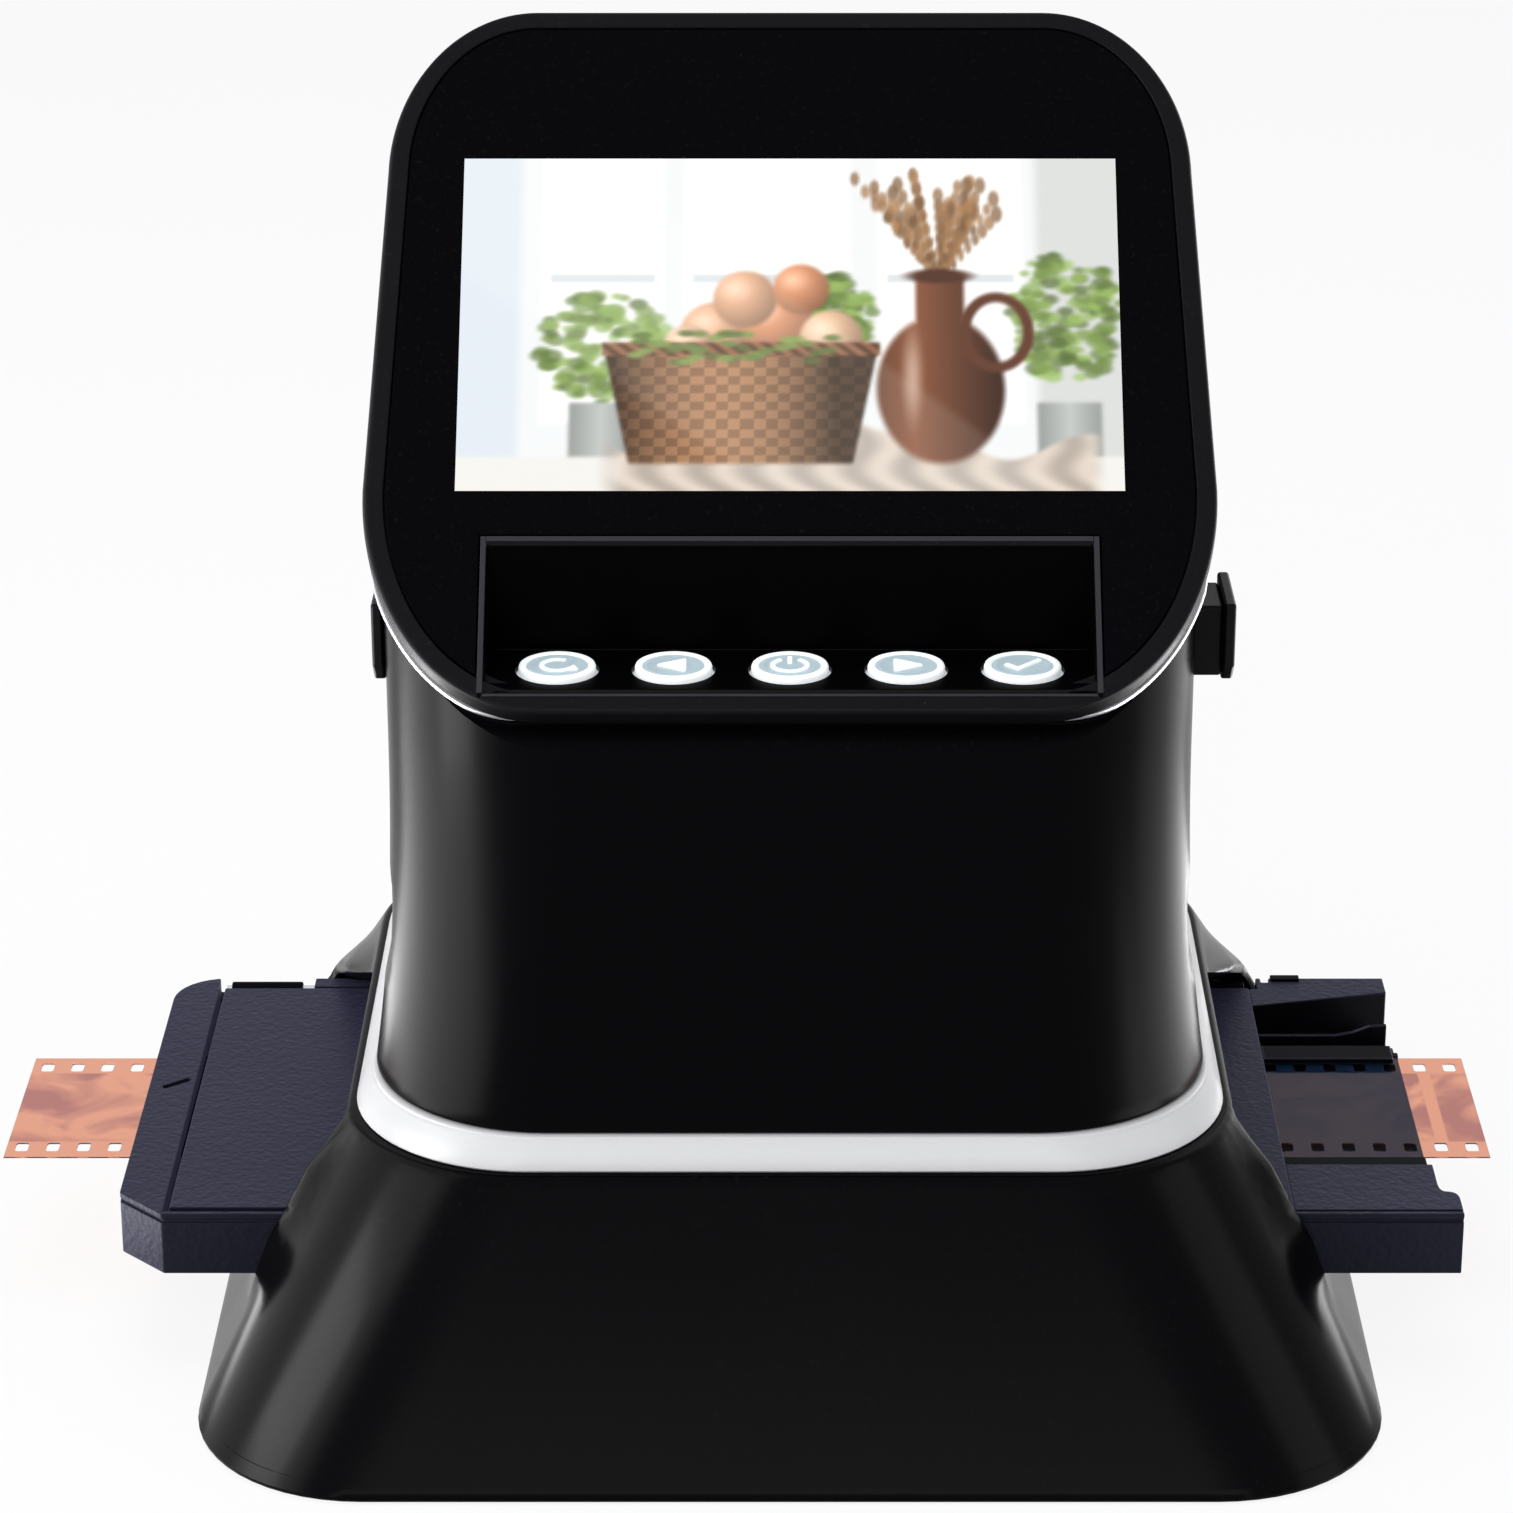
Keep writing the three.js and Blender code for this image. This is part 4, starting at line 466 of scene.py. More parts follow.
def prism(outline: list, low: float, high: float, axis: str = "z", holes: tuple = ()) -> Draft:
    """Closed prism over a flat outline, with holes through it.

    Args:
        outline: (a, b) points: x, y along z; y, z along x; x, z along y.
        low: where the prism starts on its axis.
        high: where it ends.
        axis: the axis that it runs along.
        holes: outlines of the holes.

    Returns:
        The prism as a draft.
    """
    loops = [list(outline), *[list(hole) for hole in holes]]
    flat = [Vector((a, b, 0)) for loop in loops for a, b in loop]
    fills = tessellate_polygon([[Vector((a, b, 0)) for a, b in loop] for loop in loops])
    count = len(flat)
    points = [spread(v.x, v.y, level, axis) for level in (low, high) for v in flat]
    faces = [tuple(fill) for fill in fills]
    faces += [tuple(count + i for i in reversed(fill)) for fill in fills]
    start = 0
    for loop in loops:
        for i in range(len(loop)):
            j = (i + 1) % len(loop)
            faces.append((start + i, start + j, count + start + j, count + start + i))
        start += len(loop)
    return Draft().add(points, faces)


def spread(a: float, b: float, along: float, axis: str) -> Triple:
    """A flat point and its place along an axis as x, y, z."""
    return {"x": (along, a, b), "y": (a, along, b), "z": (a, b, along)}[axis]


def box(x: Flat, y: Flat, z: Flat) -> Draft:
    """Closed block between two places on each axis."""
    return prism(corners(x, y), *z)


def corners(a: Flat, b: Flat) -> list[Flat]:
    """The four corners of a flat block, anticlockwise."""
    return [(a[0], b[0]), (a[1], b[0]), (a[1], b[1]), (a[0], b[1])]


def about(half: float, middle: float = 0.0) -> Flat:
    """The two places that lie half a width to each side of a middle."""
    return middle - half, middle + half


def circle(radius: float, steps: int, centre: Flat = (0, 0)) -> list[Flat]:
    """Points round a circle, anticlockwise."""
    turns = [2 * math.pi * i / steps for i in range(steps)]
    return [(centre[0] + radius * math.cos(t), centre[1] + radius * math.sin(t)) for t in turns]


def rounded(sharp: list[Flat], radius: float, steps: int = 6) -> list[Flat]:
    """A convex outline with each corner rounded.

    Args:
        sharp: the sharp corners, anticlockwise.
        radius: the rounding's radius, less where an edge is short.
        steps: steps in each rounding.

    Returns:
        The rounded outline.
    """
    made = []
    for i, corner in enumerate(sharp):
        here = Vector(corner)
        back = Vector(sharp[i - 1]) - here
        ahead = Vector(sharp[(i + 1) % len(sharp)]) - here
        reach = min(radius / math.tan(back.angle(ahead) / 2), back.length / 2.1, ahead.length / 2.1)
        start = here + back.normalized() * reach
        end = here + ahead.normalized() * reach
        for step in range(steps + 1):
            t = step / steps
            point = start * (1 - t) ** 2 + here * 2 * t * (1 - t) + end * t ** 2
            made.append((point.x, point.y))
    return made


def turned(profile: list[Flat], centre: Flat, steps: int, kinds: list[int]) -> Draft:
    """Closed solid turned about an upright axis.

    Args:
        profile: (radius, z) points from the axis at the bottom to the axis at the top.
        centre: the axis's x and y.
        steps: steps round the axis.
        kinds: the finish of each band of the profile.

    Returns:
        The solid as a draft.
    """
    points = [(x, y, z) for radius, z in profile[1:-1] for x, y in circle(radius, steps, centre)]
    foot, top = len(points), len(points) - steps
    points += [(*centre, profile[0][1]), (*centre, profile[-1][1])]
    draft = Draft().add(points, [])
    for i in range(steps):
        j = (i + 1) % steps
        draft.faces.append((foot, j, i))
        draft.faces += [(low + i, low + j, low + steps + j, low + steps + i)
                        for low in range(0, top, steps)]
        draft.faces.append((foot + 1, top + i, top + j))
        draft.kinds += kinds
    return draft


def arc(start: Flat, corner: Flat, end: Flat, steps: int = 4) -> list[Flat]:
    """Points of a soft rounding from start to end about a corner."""
    made = []
    for step in range(steps + 1):
        t = step / steps
        made.append(tuple(
            start[i] * (1 - t) ** 2 + corner[i] * 2 * t * (1 - t) + end[i] * t ** 2 for i in (0, 1)))
    return made


@dataclass(frozen=True)
class RingGrid:
    """How finely a rounded outline is stepped: its corners, its front and rear, and its sides."""

    corner: int = 14
    front: int = 24
    side: int = 24

    def join(self, arcs: list[np.ndarray]) -> np.ndarray:
        """Joins four corner arcs, each an array of points, with straight stretches between."""
        made = []
        for i, points in enumerate(arcs):
            ahead = arcs[(i + 1) % len(arcs)][0]
            steps = self.front if i % 2 == 0 else self.side
            share = np.linspace(0, 1, steps + 1)[1:-1, None]
            made += [points, points[-1] * (1 - share) + ahead * share]
        return np.vstack(made)

    def arc(self, quarter: int, centre: Flat, radii: Flat) -> np.ndarray:
        """One corner's points: quarter 0 lies right and rear, and they run anticlockwise."""
        turn = np.radians(np.linspace(90 * quarter, 90 * (quarter + 1), self.corner + 1))
        return np.column_stack([
            centre[0] + radii[0] * np.cos(turn), centre[1] + radii[1] * np.sin(turn)])

    def rectangle(self, half_x: float, half_y: float, radius: float, z: float) -> np.ndarray:
        """Rounded rectangle at one height."""
        signs = ((1, 1), (-1, 1), (-1, -1), (1, -1))
        flat = self.join([
            self.arc(i, (x * (half_x - radius), y * (half_y - radius)), (radius, radius))
            for i, (x, y) in enumerate(signs)])
        return np.column_stack([flat, np.full(len(flat), z)])

    def spans(self) -> dict[str, slice]:
        """Which of a ring's points belong to which corner or stretch."""
        sizes = [("rear_right", self.corner + 1), ("rear", self.front - 1),
                 ("rear_left", self.corner + 1), ("left", self.side - 1),
                 ("front_left", self.corner + 1), ("front", self.front - 1),
                 ("front_right", self.corner + 1), ("right", self.side - 1)]
        made, start = {}, 0
        for name, size in sizes:
            made[name] = slice(start, start + size)
            start += size
        return made


AXES = {"x": 0, "y": 1, "z": 2}


def punch(mesh: Mesh, outline: list[Flat], axis: str, beyond: float,
          margin: float = 4) -> None:
    """Cuts a convex hole through one side of a skin.

    Args:
        mesh: the skin, changed in place.
        outline: the hole's points in the two other axes.
        axis: the axis that the hole runs along.
        beyond: faces past this place on the axis are cut; a negative place cuts the low side.
        margin: faces further from the hole than this stay whole.
    """
    along = AXES[axis]
    first, second = [i for i in range(3) if i != along]
    rim = np.array(outline)
    low = rim.min(0) - margin
    high = rim.max(0) + margin
    middle = rim.mean(0)
    sign = 1 if beyond > 0 else -1

    def near(face: bmesh.types.BMFace) -> bool:
        """Whether a face lies by the hole."""
        c = face.calc_center_median()
        return (c[along] * sign > beyond * sign and low[0] <= c[first] <= high[0]
                and low[1] <= c[second] <= high[1])

    lines = []
    for start, end in zip(rim, np.roll(rim, -1, 0)):
        run = end - start
        out = np.array([run[1], -run[0]])
        if out @ (start - middle) < 0:
            out = -out
        lines.append((start, out / np.linalg.norm(out)))
    for start, out in lines:
        region = [face for face in mesh.faces if near(face)]
        geometry = {item for face in region for item in [face, *face.edges, *face.verts]}
        place, normal = Vector((0, 0, 0)), Vector((0, 0, 0))
        place[first], place[second] = start
        normal[first], normal[second] = out
        bmesh.ops.bisect_plane(
            mesh, geom=list(geometry), dist=CUT_TOLERANCE, plane_co=place, plane_no=normal)
    gone = []
    for face in mesh.faces:
        c = face.calc_center_median()
        if near(face) and all(
                (c[first] - s[0]) * o[0] + (c[second] - s[1]) * o[1] < 0 for s, o in lines):
            gone.append(face)
    bmesh.ops.delete(mesh, geom=gone, context="FACES")


def rim_distance(point: Flat, outline: np.ndarray) -> float:
    """Distance from a flat point to a closed outline."""
    ends = np.roll(outline, -1, 0)
    run = ends - outline
    to = np.asarray(point) - outline
    share = np.clip((to * run).sum(1) / np.maximum((run ** 2).sum(1), 1e-12), 0, 1)
    return float(np.sqrt(((to - run * share[:, None]) ** 2).sum(1)).min())


def towards(point: np.ndarray, outline: np.ndarray, softness: float = 0.05) -> np.ndarray:
    """Direction from a point on a closed convex outline into it, softened over its corners.

    Args:
        point: a flat point on the outline.
        outline: the outline's corners.
        softness: how far a corner's turn is spread.

    Returns:
        The direction, one long.
    """
    ends = np.roll(outline, -1, 0)
    run = ends - outline
    length = np.maximum(np.linalg.norm(run, axis=1), 1e-9)
    to = point - outline
    share = np.clip((to * run).sum(1) / length ** 2, 0, 1)
    gap = np.linalg.norm(to - run * share[:, None], axis=1)
    normal = np.column_stack([-run[:, 1], run[:, 0]]) / length[:, None]
    inside = np.sign(((outline.mean(0) - outline) * normal).sum(1))
    weight = length / (softness + gap) ** 2
    made = (normal * (inside * weight)[:, None]).sum(0)
    return made / np.linalg.norm(made)


# Pieces


class Piece:
    """One visible piece, from its draft in millimetres to its place in the frame."""

    FLAT = math.radians(1)
    SHARP = math.radians(35)
    FACE_WEIGHT = 80

    def __init__(self, name: str, shape: Draft | Mesh, closed: bool = True) -> None:
        """Makes the object.

        Args:
            name: the piece's name.
            shape: its draft, or a bmesh in millimetres.
            closed: whether its normals are worked out anew.
        """
        mesh = shape.bmesh() if isinstance(shape, Draft) else shape
        if closed:
            bmesh.ops.recalc_face_normals(mesh, faces=mesh.faces)
        data = bpy.data.meshes.new(name)
        mesh.to_mesh(data)
        mesh.free()
        self.name = name
        self.object = new_object(name, data)

    def apply(self) -> "Piece":
        """Turns the modifiers' result into the piece's plain mesh."""
        graph = bpy.context.evaluated_depsgraph_get()
        graph.update()
        data = bpy.data.meshes.new_from_object(
            self.object.evaluated_get(graph), preserve_all_data_layers=True, depsgraph=graph)
        old = self.object.data
        self.object.modifiers.clear()
        self.object.data = data
        bpy.data.meshes.remove(old)
        return self

    def modify(self, name: str, kind: str, **settings: object) -> "Piece":
        """Adds a modifier with its settings and turns its result into the mesh."""
        made = self.object.modifiers.new(name, kind)
        for key, value in settings.items():
            setattr(made, key, value)
        return self.apply()

    def wall(self, thickness: float) -> "Piece":
        """Gives an open skin a wall on its inner side."""
        return self.modify("wall", "SOLIDIFY", thickness=thickness, offset=-1,
                           use_even_offset=False, use_quality_normals=True)

    def bool(self, tool: Draft, operation: str) -> "Piece":
        """Cuts or joins another draft, with exact sums."""
        other = Piece(self.name + "_tool", tool)
        self.modify("shape", "BOOLEAN", operation=operation, solver="EXACT", object=other.object)
        data = other.object.data
        bpy.data.objects.remove(other.object)
        bpy.data.meshes.remove(data)
        return self

    def cut(self, *tools: Draft) -> "Piece":
        """Cuts drafts away."""
        for tool in tools:
            self.bool(tool, "DIFFERENCE")
        return self

    def weld(self, *tools: Draft) -> "Piece":
        """Joins drafts on."""
        for tool in tools:
            self.bool(tool, "UNION")
        return self

    def add(self, shape: Draft) -> "Piece":
        """Adds a draft's closed shells to the mesh, beside its own."""
        extra = Piece(self.name + "_extra", shape)
        mesh = bmesh.new()
        mesh.from_mesh(self.object.data)
        mesh.from_mesh(extra.object.data)
        mesh.to_mesh(self.object.data)
        mesh.free()
        bpy.data.objects.remove(extra.object)
        return self

    def soften(self, width: float, segments: int = 2) -> "Piece":
        """Merges flat faces, then rounds every sharp edge to a width."""
        mesh = bmesh.new()
        mesh.from_mesh(self.object.data)
        bmesh.ops.remove_doubles(mesh, verts=mesh.verts, dist=SAME_POINT)
        bmesh.ops.dissolve_limit(
            mesh, angle_limit=self.FLAT, verts=mesh.verts, edges=mesh.edges)
        mesh.to_mesh(self.object.data)
        mesh.free()
        return self.modify("edges", "BEVEL", width=width, segments=segments, limit_method="ANGLE",
                           angle_limit=self.SHARP, use_clamp_overlap=False, miter_outer="MITER_ARC")

    def place(self, finishes: list, body: Body, nodes: tuple[str, ...] = (), smooth: float = 32,
              weighted: bool = True) -> bpy.types.Object:
        """Moves the piece into the frame and dresses it.

        Args:
            finishes: its finishes or materials, in the order of the draft's numbers.
            body: the body that it rides on.
            nodes: the frame's nodes that it stands for.
            smooth: edges that turn more sharply than this, in degrees, stay sharp.
            weighted: whether large faces lead the shading.

        Returns:
            The finished object.
        """
        data = self.object.data
        data.shade_smooth()
        data.set_sharp_from_angle(angle=math.radians(smooth))
        if weighted:
            self.modify("shading", "WEIGHTED_NORMAL", keep_sharp=True, weight=self.FACE_WEIGHT)
            data = self.object.data
        data.transform(INTO_FRAME)
        for one in finishes:
            data.materials.append(one.material() if isinstance(one, Finish) else one)
        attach(self.object, body.value)
        if nodes:
            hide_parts(*nodes)
        log.info("%s: %d faces on %s", self.name, len(data.polygons), body.value)
        return self.object


# Base and collar


@dataclass
class Base:
    """Flared base with a mouth for the tray in each side."""

    half_x: float = 87.2
    half_y: float = 82.2
    top_half_x: float = 65.6
    top_half_y: float = 58.9
    corner: float = 26
    rim_z: float = 0.15
    edge: float = 0.9
    top_z: float = 40.6
    top_round: float = 0.7
    wall: float = 2.6
    window: Flat = (27, 24)
    rows: int = 34
    mouth_round: float = 3.2
    lip_reach: float = 7.5
    lip_height: float = 2.1
    lip_roll: float = 1.8
    roll: tuple = ((0.05, 0.02), (0.12, 0.11), (0.13, 0.25))
    post: Flat = (58, 62.1)
    post_radius: float = 4
    post_top: float = 22.5
    grid: RingGrid = field(default_factory=lambda: RingGrid(14, 44, 76))
    mouth: tuple = (
        (-42.7, 15.1), (42.7, 15.1), (42.7, 26.5), (13, 40.1), (-36.5, 40.1), (-42.7, 26.5))
    mouth_z: Flat = (12, 40)
    mouth_end: float = 52
    side_x: float = 60
    same_point: float = 0.04
    deck_shares: Flat = (0.35, 1)
    window_corner: float = 4
    top_clear: float = 0.5
    fade_high: Flat = (1.2, 6)
    fade_low: Flat = (12, 11)
    edge_dip: float = 0.9
    post_bore: float = 1.5
    post_low: float = 4.2

    def skin(self) -> Mesh:
        """The outside, from the rim over the shoulder to the deck's window."""
        profile = arc((self.edge, self.rim_z), (0, self.rim_z), (0, self.rim_z + self.edge))
        rings = [self.grid.rectangle(self.half_x - x, self.half_y - x, self.corner - x, z)
                 for x, z in profile]
        low = self.rim_z + self.edge
        for row in range(1, self.rows):
            share = row / self.rows
            rings.append(self.at(share, low))
        shoulder = arc(
            (0, self.top_z - self.top_round), (0, self.top_z), (self.top_round, self.top_z), 3)
        for x, z in shoulder:
            share = (z - low) / (self.top_z - low)
            half_x, half_y = self.halves(share)
            rings.append(self.grid.rectangle(half_x - x, half_y - x, self.corner - x, z))
        for share in self.deck_shares:
            rings.append(self.grid.rectangle(
                self.top_half_x + (self.window[0] - self.top_half_x) * share,
                self.top_half_y + (self.window[1] - self.top_half_y) * share,
                self.corner + (self.window_corner - self.corner) * share, self.top_z))
        mesh = loft(rings).bmesh()
        outline = rounded([tuple(p) for p in self.mouth], self.mouth_round)
        for side in (-1, 1):
            punch(mesh, outline, "x", side * self.side_x)
        bmesh.ops.remove_doubles(mesh, verts=mesh.verts, dist=self.same_point)
        self.thicken(mesh, np.array(outline))
        return mesh

    def halves(self, share: float) -> Flat:
        """Half width and half depth at a share of the wall's height."""
        return (self.half_x + (self.top_half_x - self.half_x) * share,
                self.half_y + (self.top_half_y - self.half_y) * share)

    def at(self, share: float, low: float) -> np.ndarray:
        """One ring of the wall."""
        top = self.top_z - self.top_round
        return self.grid.rectangle(
            *self.halves(share * (top - low) / (self.top_z - low)), self.corner,
            low + (top - low) * share)

    def thicken(self, mesh: Mesh, outline: np.ndarray) -> None:
        """Adds the inner side, then raises each mouth's lip and rolls its edge in.

        Args:
            mesh: the outer skin, changed in place into a closed shell.
            outline: the mouth's outline as y and z.
        """
        mesh.normal_update()
        outer, faces = list(mesh.verts), list(mesh.faces)
        loops = [edge.link_loops[0] for edge in mesh.edges if edge.is_boundary]
        rims = [(loop.vert, loop.link_loop_next.vert) for loop in loops]
        inner = {}
        for vert in outer:
            place = vert.co - vert.normal * self.wall
            place.z = min(place.z, self.top_z - self.wall)
            inner[vert] = mesh.verts.new(place)
        for face in faces:
            mesh.faces.new([inner[vert] for vert in reversed(face.verts)])
        self.raise_lips(outer, outline)
        out = self.wall_out()
        edge = {vert: vert for pair in rims for vert in pair}
        mouth = [pair for pair in rims if all(self.by_mouth(vert.co) for vert in pair)]
        for across, inward in self.roll:
            ahead = dict(edge)
            for vert in {vert for pair in mouth for vert in pair}:
                here = edge[vert].co
                to = towards(np.array(here.yz), outline)
                side = 1 if here.x > 0 else -1
                ahead[vert] = mesh.verts.new(here + Vector(
                    (-side * inward / out.x, to[0] * across, to[1] * across)))
            for a, b in mouth:
                mesh.faces.new((edge[b], edge[a], ahead[a], ahead[b]))
            edge = ahead
        for a, b in rims:
            mesh.faces.new((edge[b], edge[a], inner[a], inner[b]))

    def by_mouth(self, place: Vector) -> bool:
        """Whether a point lies on a side wall, at the height of its mouth."""
        return abs(place.x) > self.side_x and self.mouth_z[0] < place.z < self.mouth_z[1]

    def wall_out(self) -> Vector:
        """The direction in which the right wall faces."""
        return Vector((self.top_z, 0, self.half_x - self.top_half_x)).normalized()

    def raise_lips(self, verts: list, outline: np.ndarray) -> None:
        """Raises a soft lip round each mouth, which falls again at its edge."""
        out = self.wall_out()
        for vert in verts:
            x, y, z = vert.co
            if abs(x) < self.side_x or abs(y) > self.mouth_end or z > self.top_z - self.top_clear:
                continue
            gap = rim_distance((y, z), outline)
            if gap < self.lip_reach:
                fade = min(1.0, max(0.0, self.top_z - self.fade_high[0] - z) / self.fade_high[1])
                fade *= min(1.0, max(0.0, z - self.fade_low[0]) / self.fade_low[1])
                rise = 0.5 + 0.5 * math.cos(math.pi * gap / self.lip_reach)
                rise *= self.lip_height * fade
                if gap < self.lip_roll:
                    rise -= self.edge_dip * fade * (1 - gap / self.lip_roll) ** 2
                vert.co.x += math.copysign(rise / out.x, x)

    def build(self) -> None:
        """Makes the base with its four screw posts."""
        piece = Piece("base_body", self.skin(), closed=False)
        posts = Draft()
        for x in about(self.post[0]):
            for y in about(self.post[1]):
                posts.take(
                    tube((x, y), self.post_bore, self.post_radius, self.post_low, self.post_top))
        piece.add(posts).place([BASE_BLACK], Body.SCANNER, ("base_shell",), 40, False)


def tube(centre: Flat, inner: float, outer: float, low: float, high: float, steps: int = 32) -> Draft:
    """Upright tube with flat ends."""
    return prism(circle(outer, steps, centre), low, high, holes=(circle(inner, steps, centre),))


@dataclass
class Collar:
    """White sloped collar between base and tower."""

    low_z: float = 40.6
    high_z: float = 45.7
    low: Triple = (64.7, 57.9, 26.3)
    high: Triple = (62.1, 56.3, 26.4)
    hole: Triple = (57.3, 51.5, 21.6)
    round_top: float = 0.8
    bulge: float = 0.25
    foot: float = 0.3
    top_lean: float = 0.2
    steps: int = 7
    grid: RingGrid = field(default_factory=lambda: RingGrid(20, 10, 10))

    def build(self) -> None:
        """Makes the collar as one closed band."""
        rings = [self.grid.rectangle(
            self.low[0] - self.foot, self.low[1] - self.foot, self.low[2], self.low_z)]
        top = self.high_z - self.round_top
        for step in range(self.steps + 1):
            share = step / self.steps
            z = self.low_z + self.foot + (top - self.low_z - self.foot) * share
            part = (z - self.low_z) / (self.high_z - self.low_z)
            swell = self.bulge * math.sin(math.pi * share)
            x, y, r = (a + (b - a) * part for a, b in zip(self.low, self.high))
            rings.append(self.grid.rectangle(x + swell, y + swell, r + swell, z))
        edge = arc((0.0, top), (-self.top_lean, self.high_z), (self.round_top, self.high_z), 5)
        for inset, z in edge[1:]:
            rings.append(self.grid.rectangle(
                self.high[0] - inset, self.high[1] - inset, self.high[2] - inset, z))
        rings.append(self.grid.rectangle(*self.hole, self.high_z))
        rings.append(self.grid.rectangle(*self.hole, self.low_z))
        piece = Piece("collar_band", loft(rings, closed=True))
        piece.place([WHITE], Body.SCANNER, ("trim_collar",), 40)


# Face of the head


@dataclass(frozen=True)
class Face:
    """The slanted plane of the head, with x to the right, s up the slope and h outwards."""

    lip_y: float = -57.9
    lip_z: float = 112.1
    length: float = 113.2
    low_half: float = 60.6
    top_half: float = 58.6
    low_round: Flat = (25.4, 34.5)
    top_round: Flat = (21.3, 27.2)

    def matrix(self) -> Matrix:
        """From the face's own frame to the scanner's."""
        return Matrix.Translation((0, self.lip_y, self.lip_z)) @ Matrix.Rotation(math.pi / 4, 4, "X")

    def outline(self, inset: float, grid: RingGrid) -> np.ndarray:
        """The face's outline, drawn in all round, as x and s."""
        high = self.top_half - self.top_round[0]
        low = self.low_half - self.low_round[0]
        high_s = self.length - self.top_round[1]
        top = (self.top_round[0] - inset, self.top_round[1] - inset)
        bottom = (self.low_round[0] - inset, self.low_round[1] - inset)
        return grid.join([
            grid.arc(0, (high, high_s), top), grid.arc(1, (-high, high_s), top),
            grid.arc(2, (-low, self.low_round[1]), bottom), grid.arc(3, (low, self.low_round[1]), bottom)])

    def ring(self, inset: float, height: float, grid: RingGrid) -> np.ndarray:
        """The outline at one height over the face, in the scanner's frame."""
        flat = self.outline(inset, grid)
        c = ROOT_HALF
        x, s = flat[:, 0], flat[:, 1]
        return np.column_stack([x, self.lip_y + s * c - height * c, self.lip_z + s * c + height * c])


FACE = Face()


@dataclass
class Tower:
    """Tower with its flared foot and the body of the head, in two mouldings."""

    half_x: float = 58.2
    half_y: float = 56.9
    corner: float = 26.4
    foot_z: float = 45.7
    foot_half: Flat = (61.6, 55.8)
    foot_round: float = 0.9
    flare_top: float = 102.5
    flare_power: float = 2.5
    crown_drop: float = 5.2
    crown_inset: float = 1.4
    back_round: float = 14
    flange_width: float = 5.4
    wall: float = 2.5
    split: float = 30
    seam: float = 0.3
    skirt: Triple = (57, 51.2, 21.3)
    bay: tuple = ((-33, 64.2), (-8, 64.2), (-8, 74), (-33, 74))
    bay_dip: float = 1.1
    bay_reach: float = 5
    slot: Flat = (5.7, 5.75)
    slot_place: Flat = (-24, 111.8)
    screw_x: float = 31.8
    screw_z: tuple = (76, 134)
    screw_recess: float = 3.1
    screw_tube: float = 4.1
    tube_y: Flat = (34.4, 20.2)
    foot_gap: float = 0.05
    flare_steps: int = 30
    rise_steps: int = 56
    bend_limit: float = 0.85
    bend_share: float = 0.6
    bay_round: float = 1.6
    side_x: float = 50
    rear_y: float = 45
    dip_y: Flat = (-45, 5)
    dip_z: Flat = (55, 84)
    skirt_z: Flat = (40.65, 47.2)
    skirt_width: float = 2
    skirt_gap: float = 0.1
    grid: RingGrid = field(default_factory=lambda: RingGrid(20, 26, 40))

    def shell(self) -> list[np.ndarray]:
        """Rings of the outside, from the foot to the crown under the bezel."""
        rings = []
        foot = self.foot_z + self.foot_gap
        for inset, z in arc(
                (self.foot_round, foot), (0, foot), (0, self.foot_z + self.foot_round)):
            rings.append(self.grid.rectangle(
                self.foot_half[0] - inset, self.foot_half[1] - inset, self.corner - inset, z))
        low = self.foot_z + self.foot_round
        for step in range(1, self.flare_steps + 1):
            share = step / self.flare_steps
            swell = (self.foot_half[0] - self.half_x) * (1 - share) ** self.flare_power
            half_y = self.foot_half[1] + (self.half_y - self.foot_half[1]) * share
            rings.append(self.grid.rectangle(
                self.half_x + swell, half_y, self.corner, low + (self.flare_top - low) * share))
        crown = self.crown(rings[-1])
        return rings + self.rise(rings[-1], crown) + [self.flange(crown)]

    def flange(self, crown: np.ndarray) -> np.ndarray:
        """The crown's ring drawn in along its slanted plane."""
        middle = crown.mean(0)
        out = crown - middle
        return middle + out * (1 - self.flange_width / np.linalg.norm(out, axis=1))[:, None]

    def crown(self, ring: np.ndarray) -> np.ndarray:
        """Where each point of the topmost ring ends, on the slanted plane under the bezel."""
        c = ROOT_HALF
        end = ring.copy()
        s = (ring[:, 1] - FACE.lip_y - self.crown_drop * c) / c
        end[:, 2] = FACE.lip_z + s * c - self.crown_drop * c
        face = FACE.ring(self.crown_inset, -self.crown_drop, self.grid)
        spans = self.grid.spans()
        for name in ("rear_right", "rear", "rear_left"):
            end[spans[name]] = face[spans[name]]
        for name, before, after in (("left", "rear_left", "front_left"),
                                    ("right", "front_right", "rear_right")):
            start = end[spans[before]][-1]
            stop = end[spans[after]][0]
            share = np.linspace(0, 1, self.grid.side + 1)[1:-1, None]
            end[spans[name]] = start * (1 - share) + stop * share
        return end

    def rise(self, low: np.ndarray, high: np.ndarray) -> list[np.ndarray]:
        """Rings that rise straight from one ring and then lean forward at 45 degrees to the other."""
        knee = np.column_stack([low[:, 0], low[:, 1], high[:, 2] - (low[:, 1] - high[:, 1])])
        first = np.linalg.norm(knee - low, axis=1)
        second = np.linalg.norm(high - knee, axis=1)
        bend = np.minimum(
            np.minimum(first, second) * self.bend_limit, self.back_round * self.bend_share)
        rings = []
        for step in range(1, self.rise_steps + 1):
            run = step / self.rise_steps * (first + second)
            made = np.empty_like(low)
            for i in range(len(low)):
                made[i] = self.along(low[i], knee[i], high[i], run[i], first[i], second[i], bend[i])
            rings.append(made)
        return rings

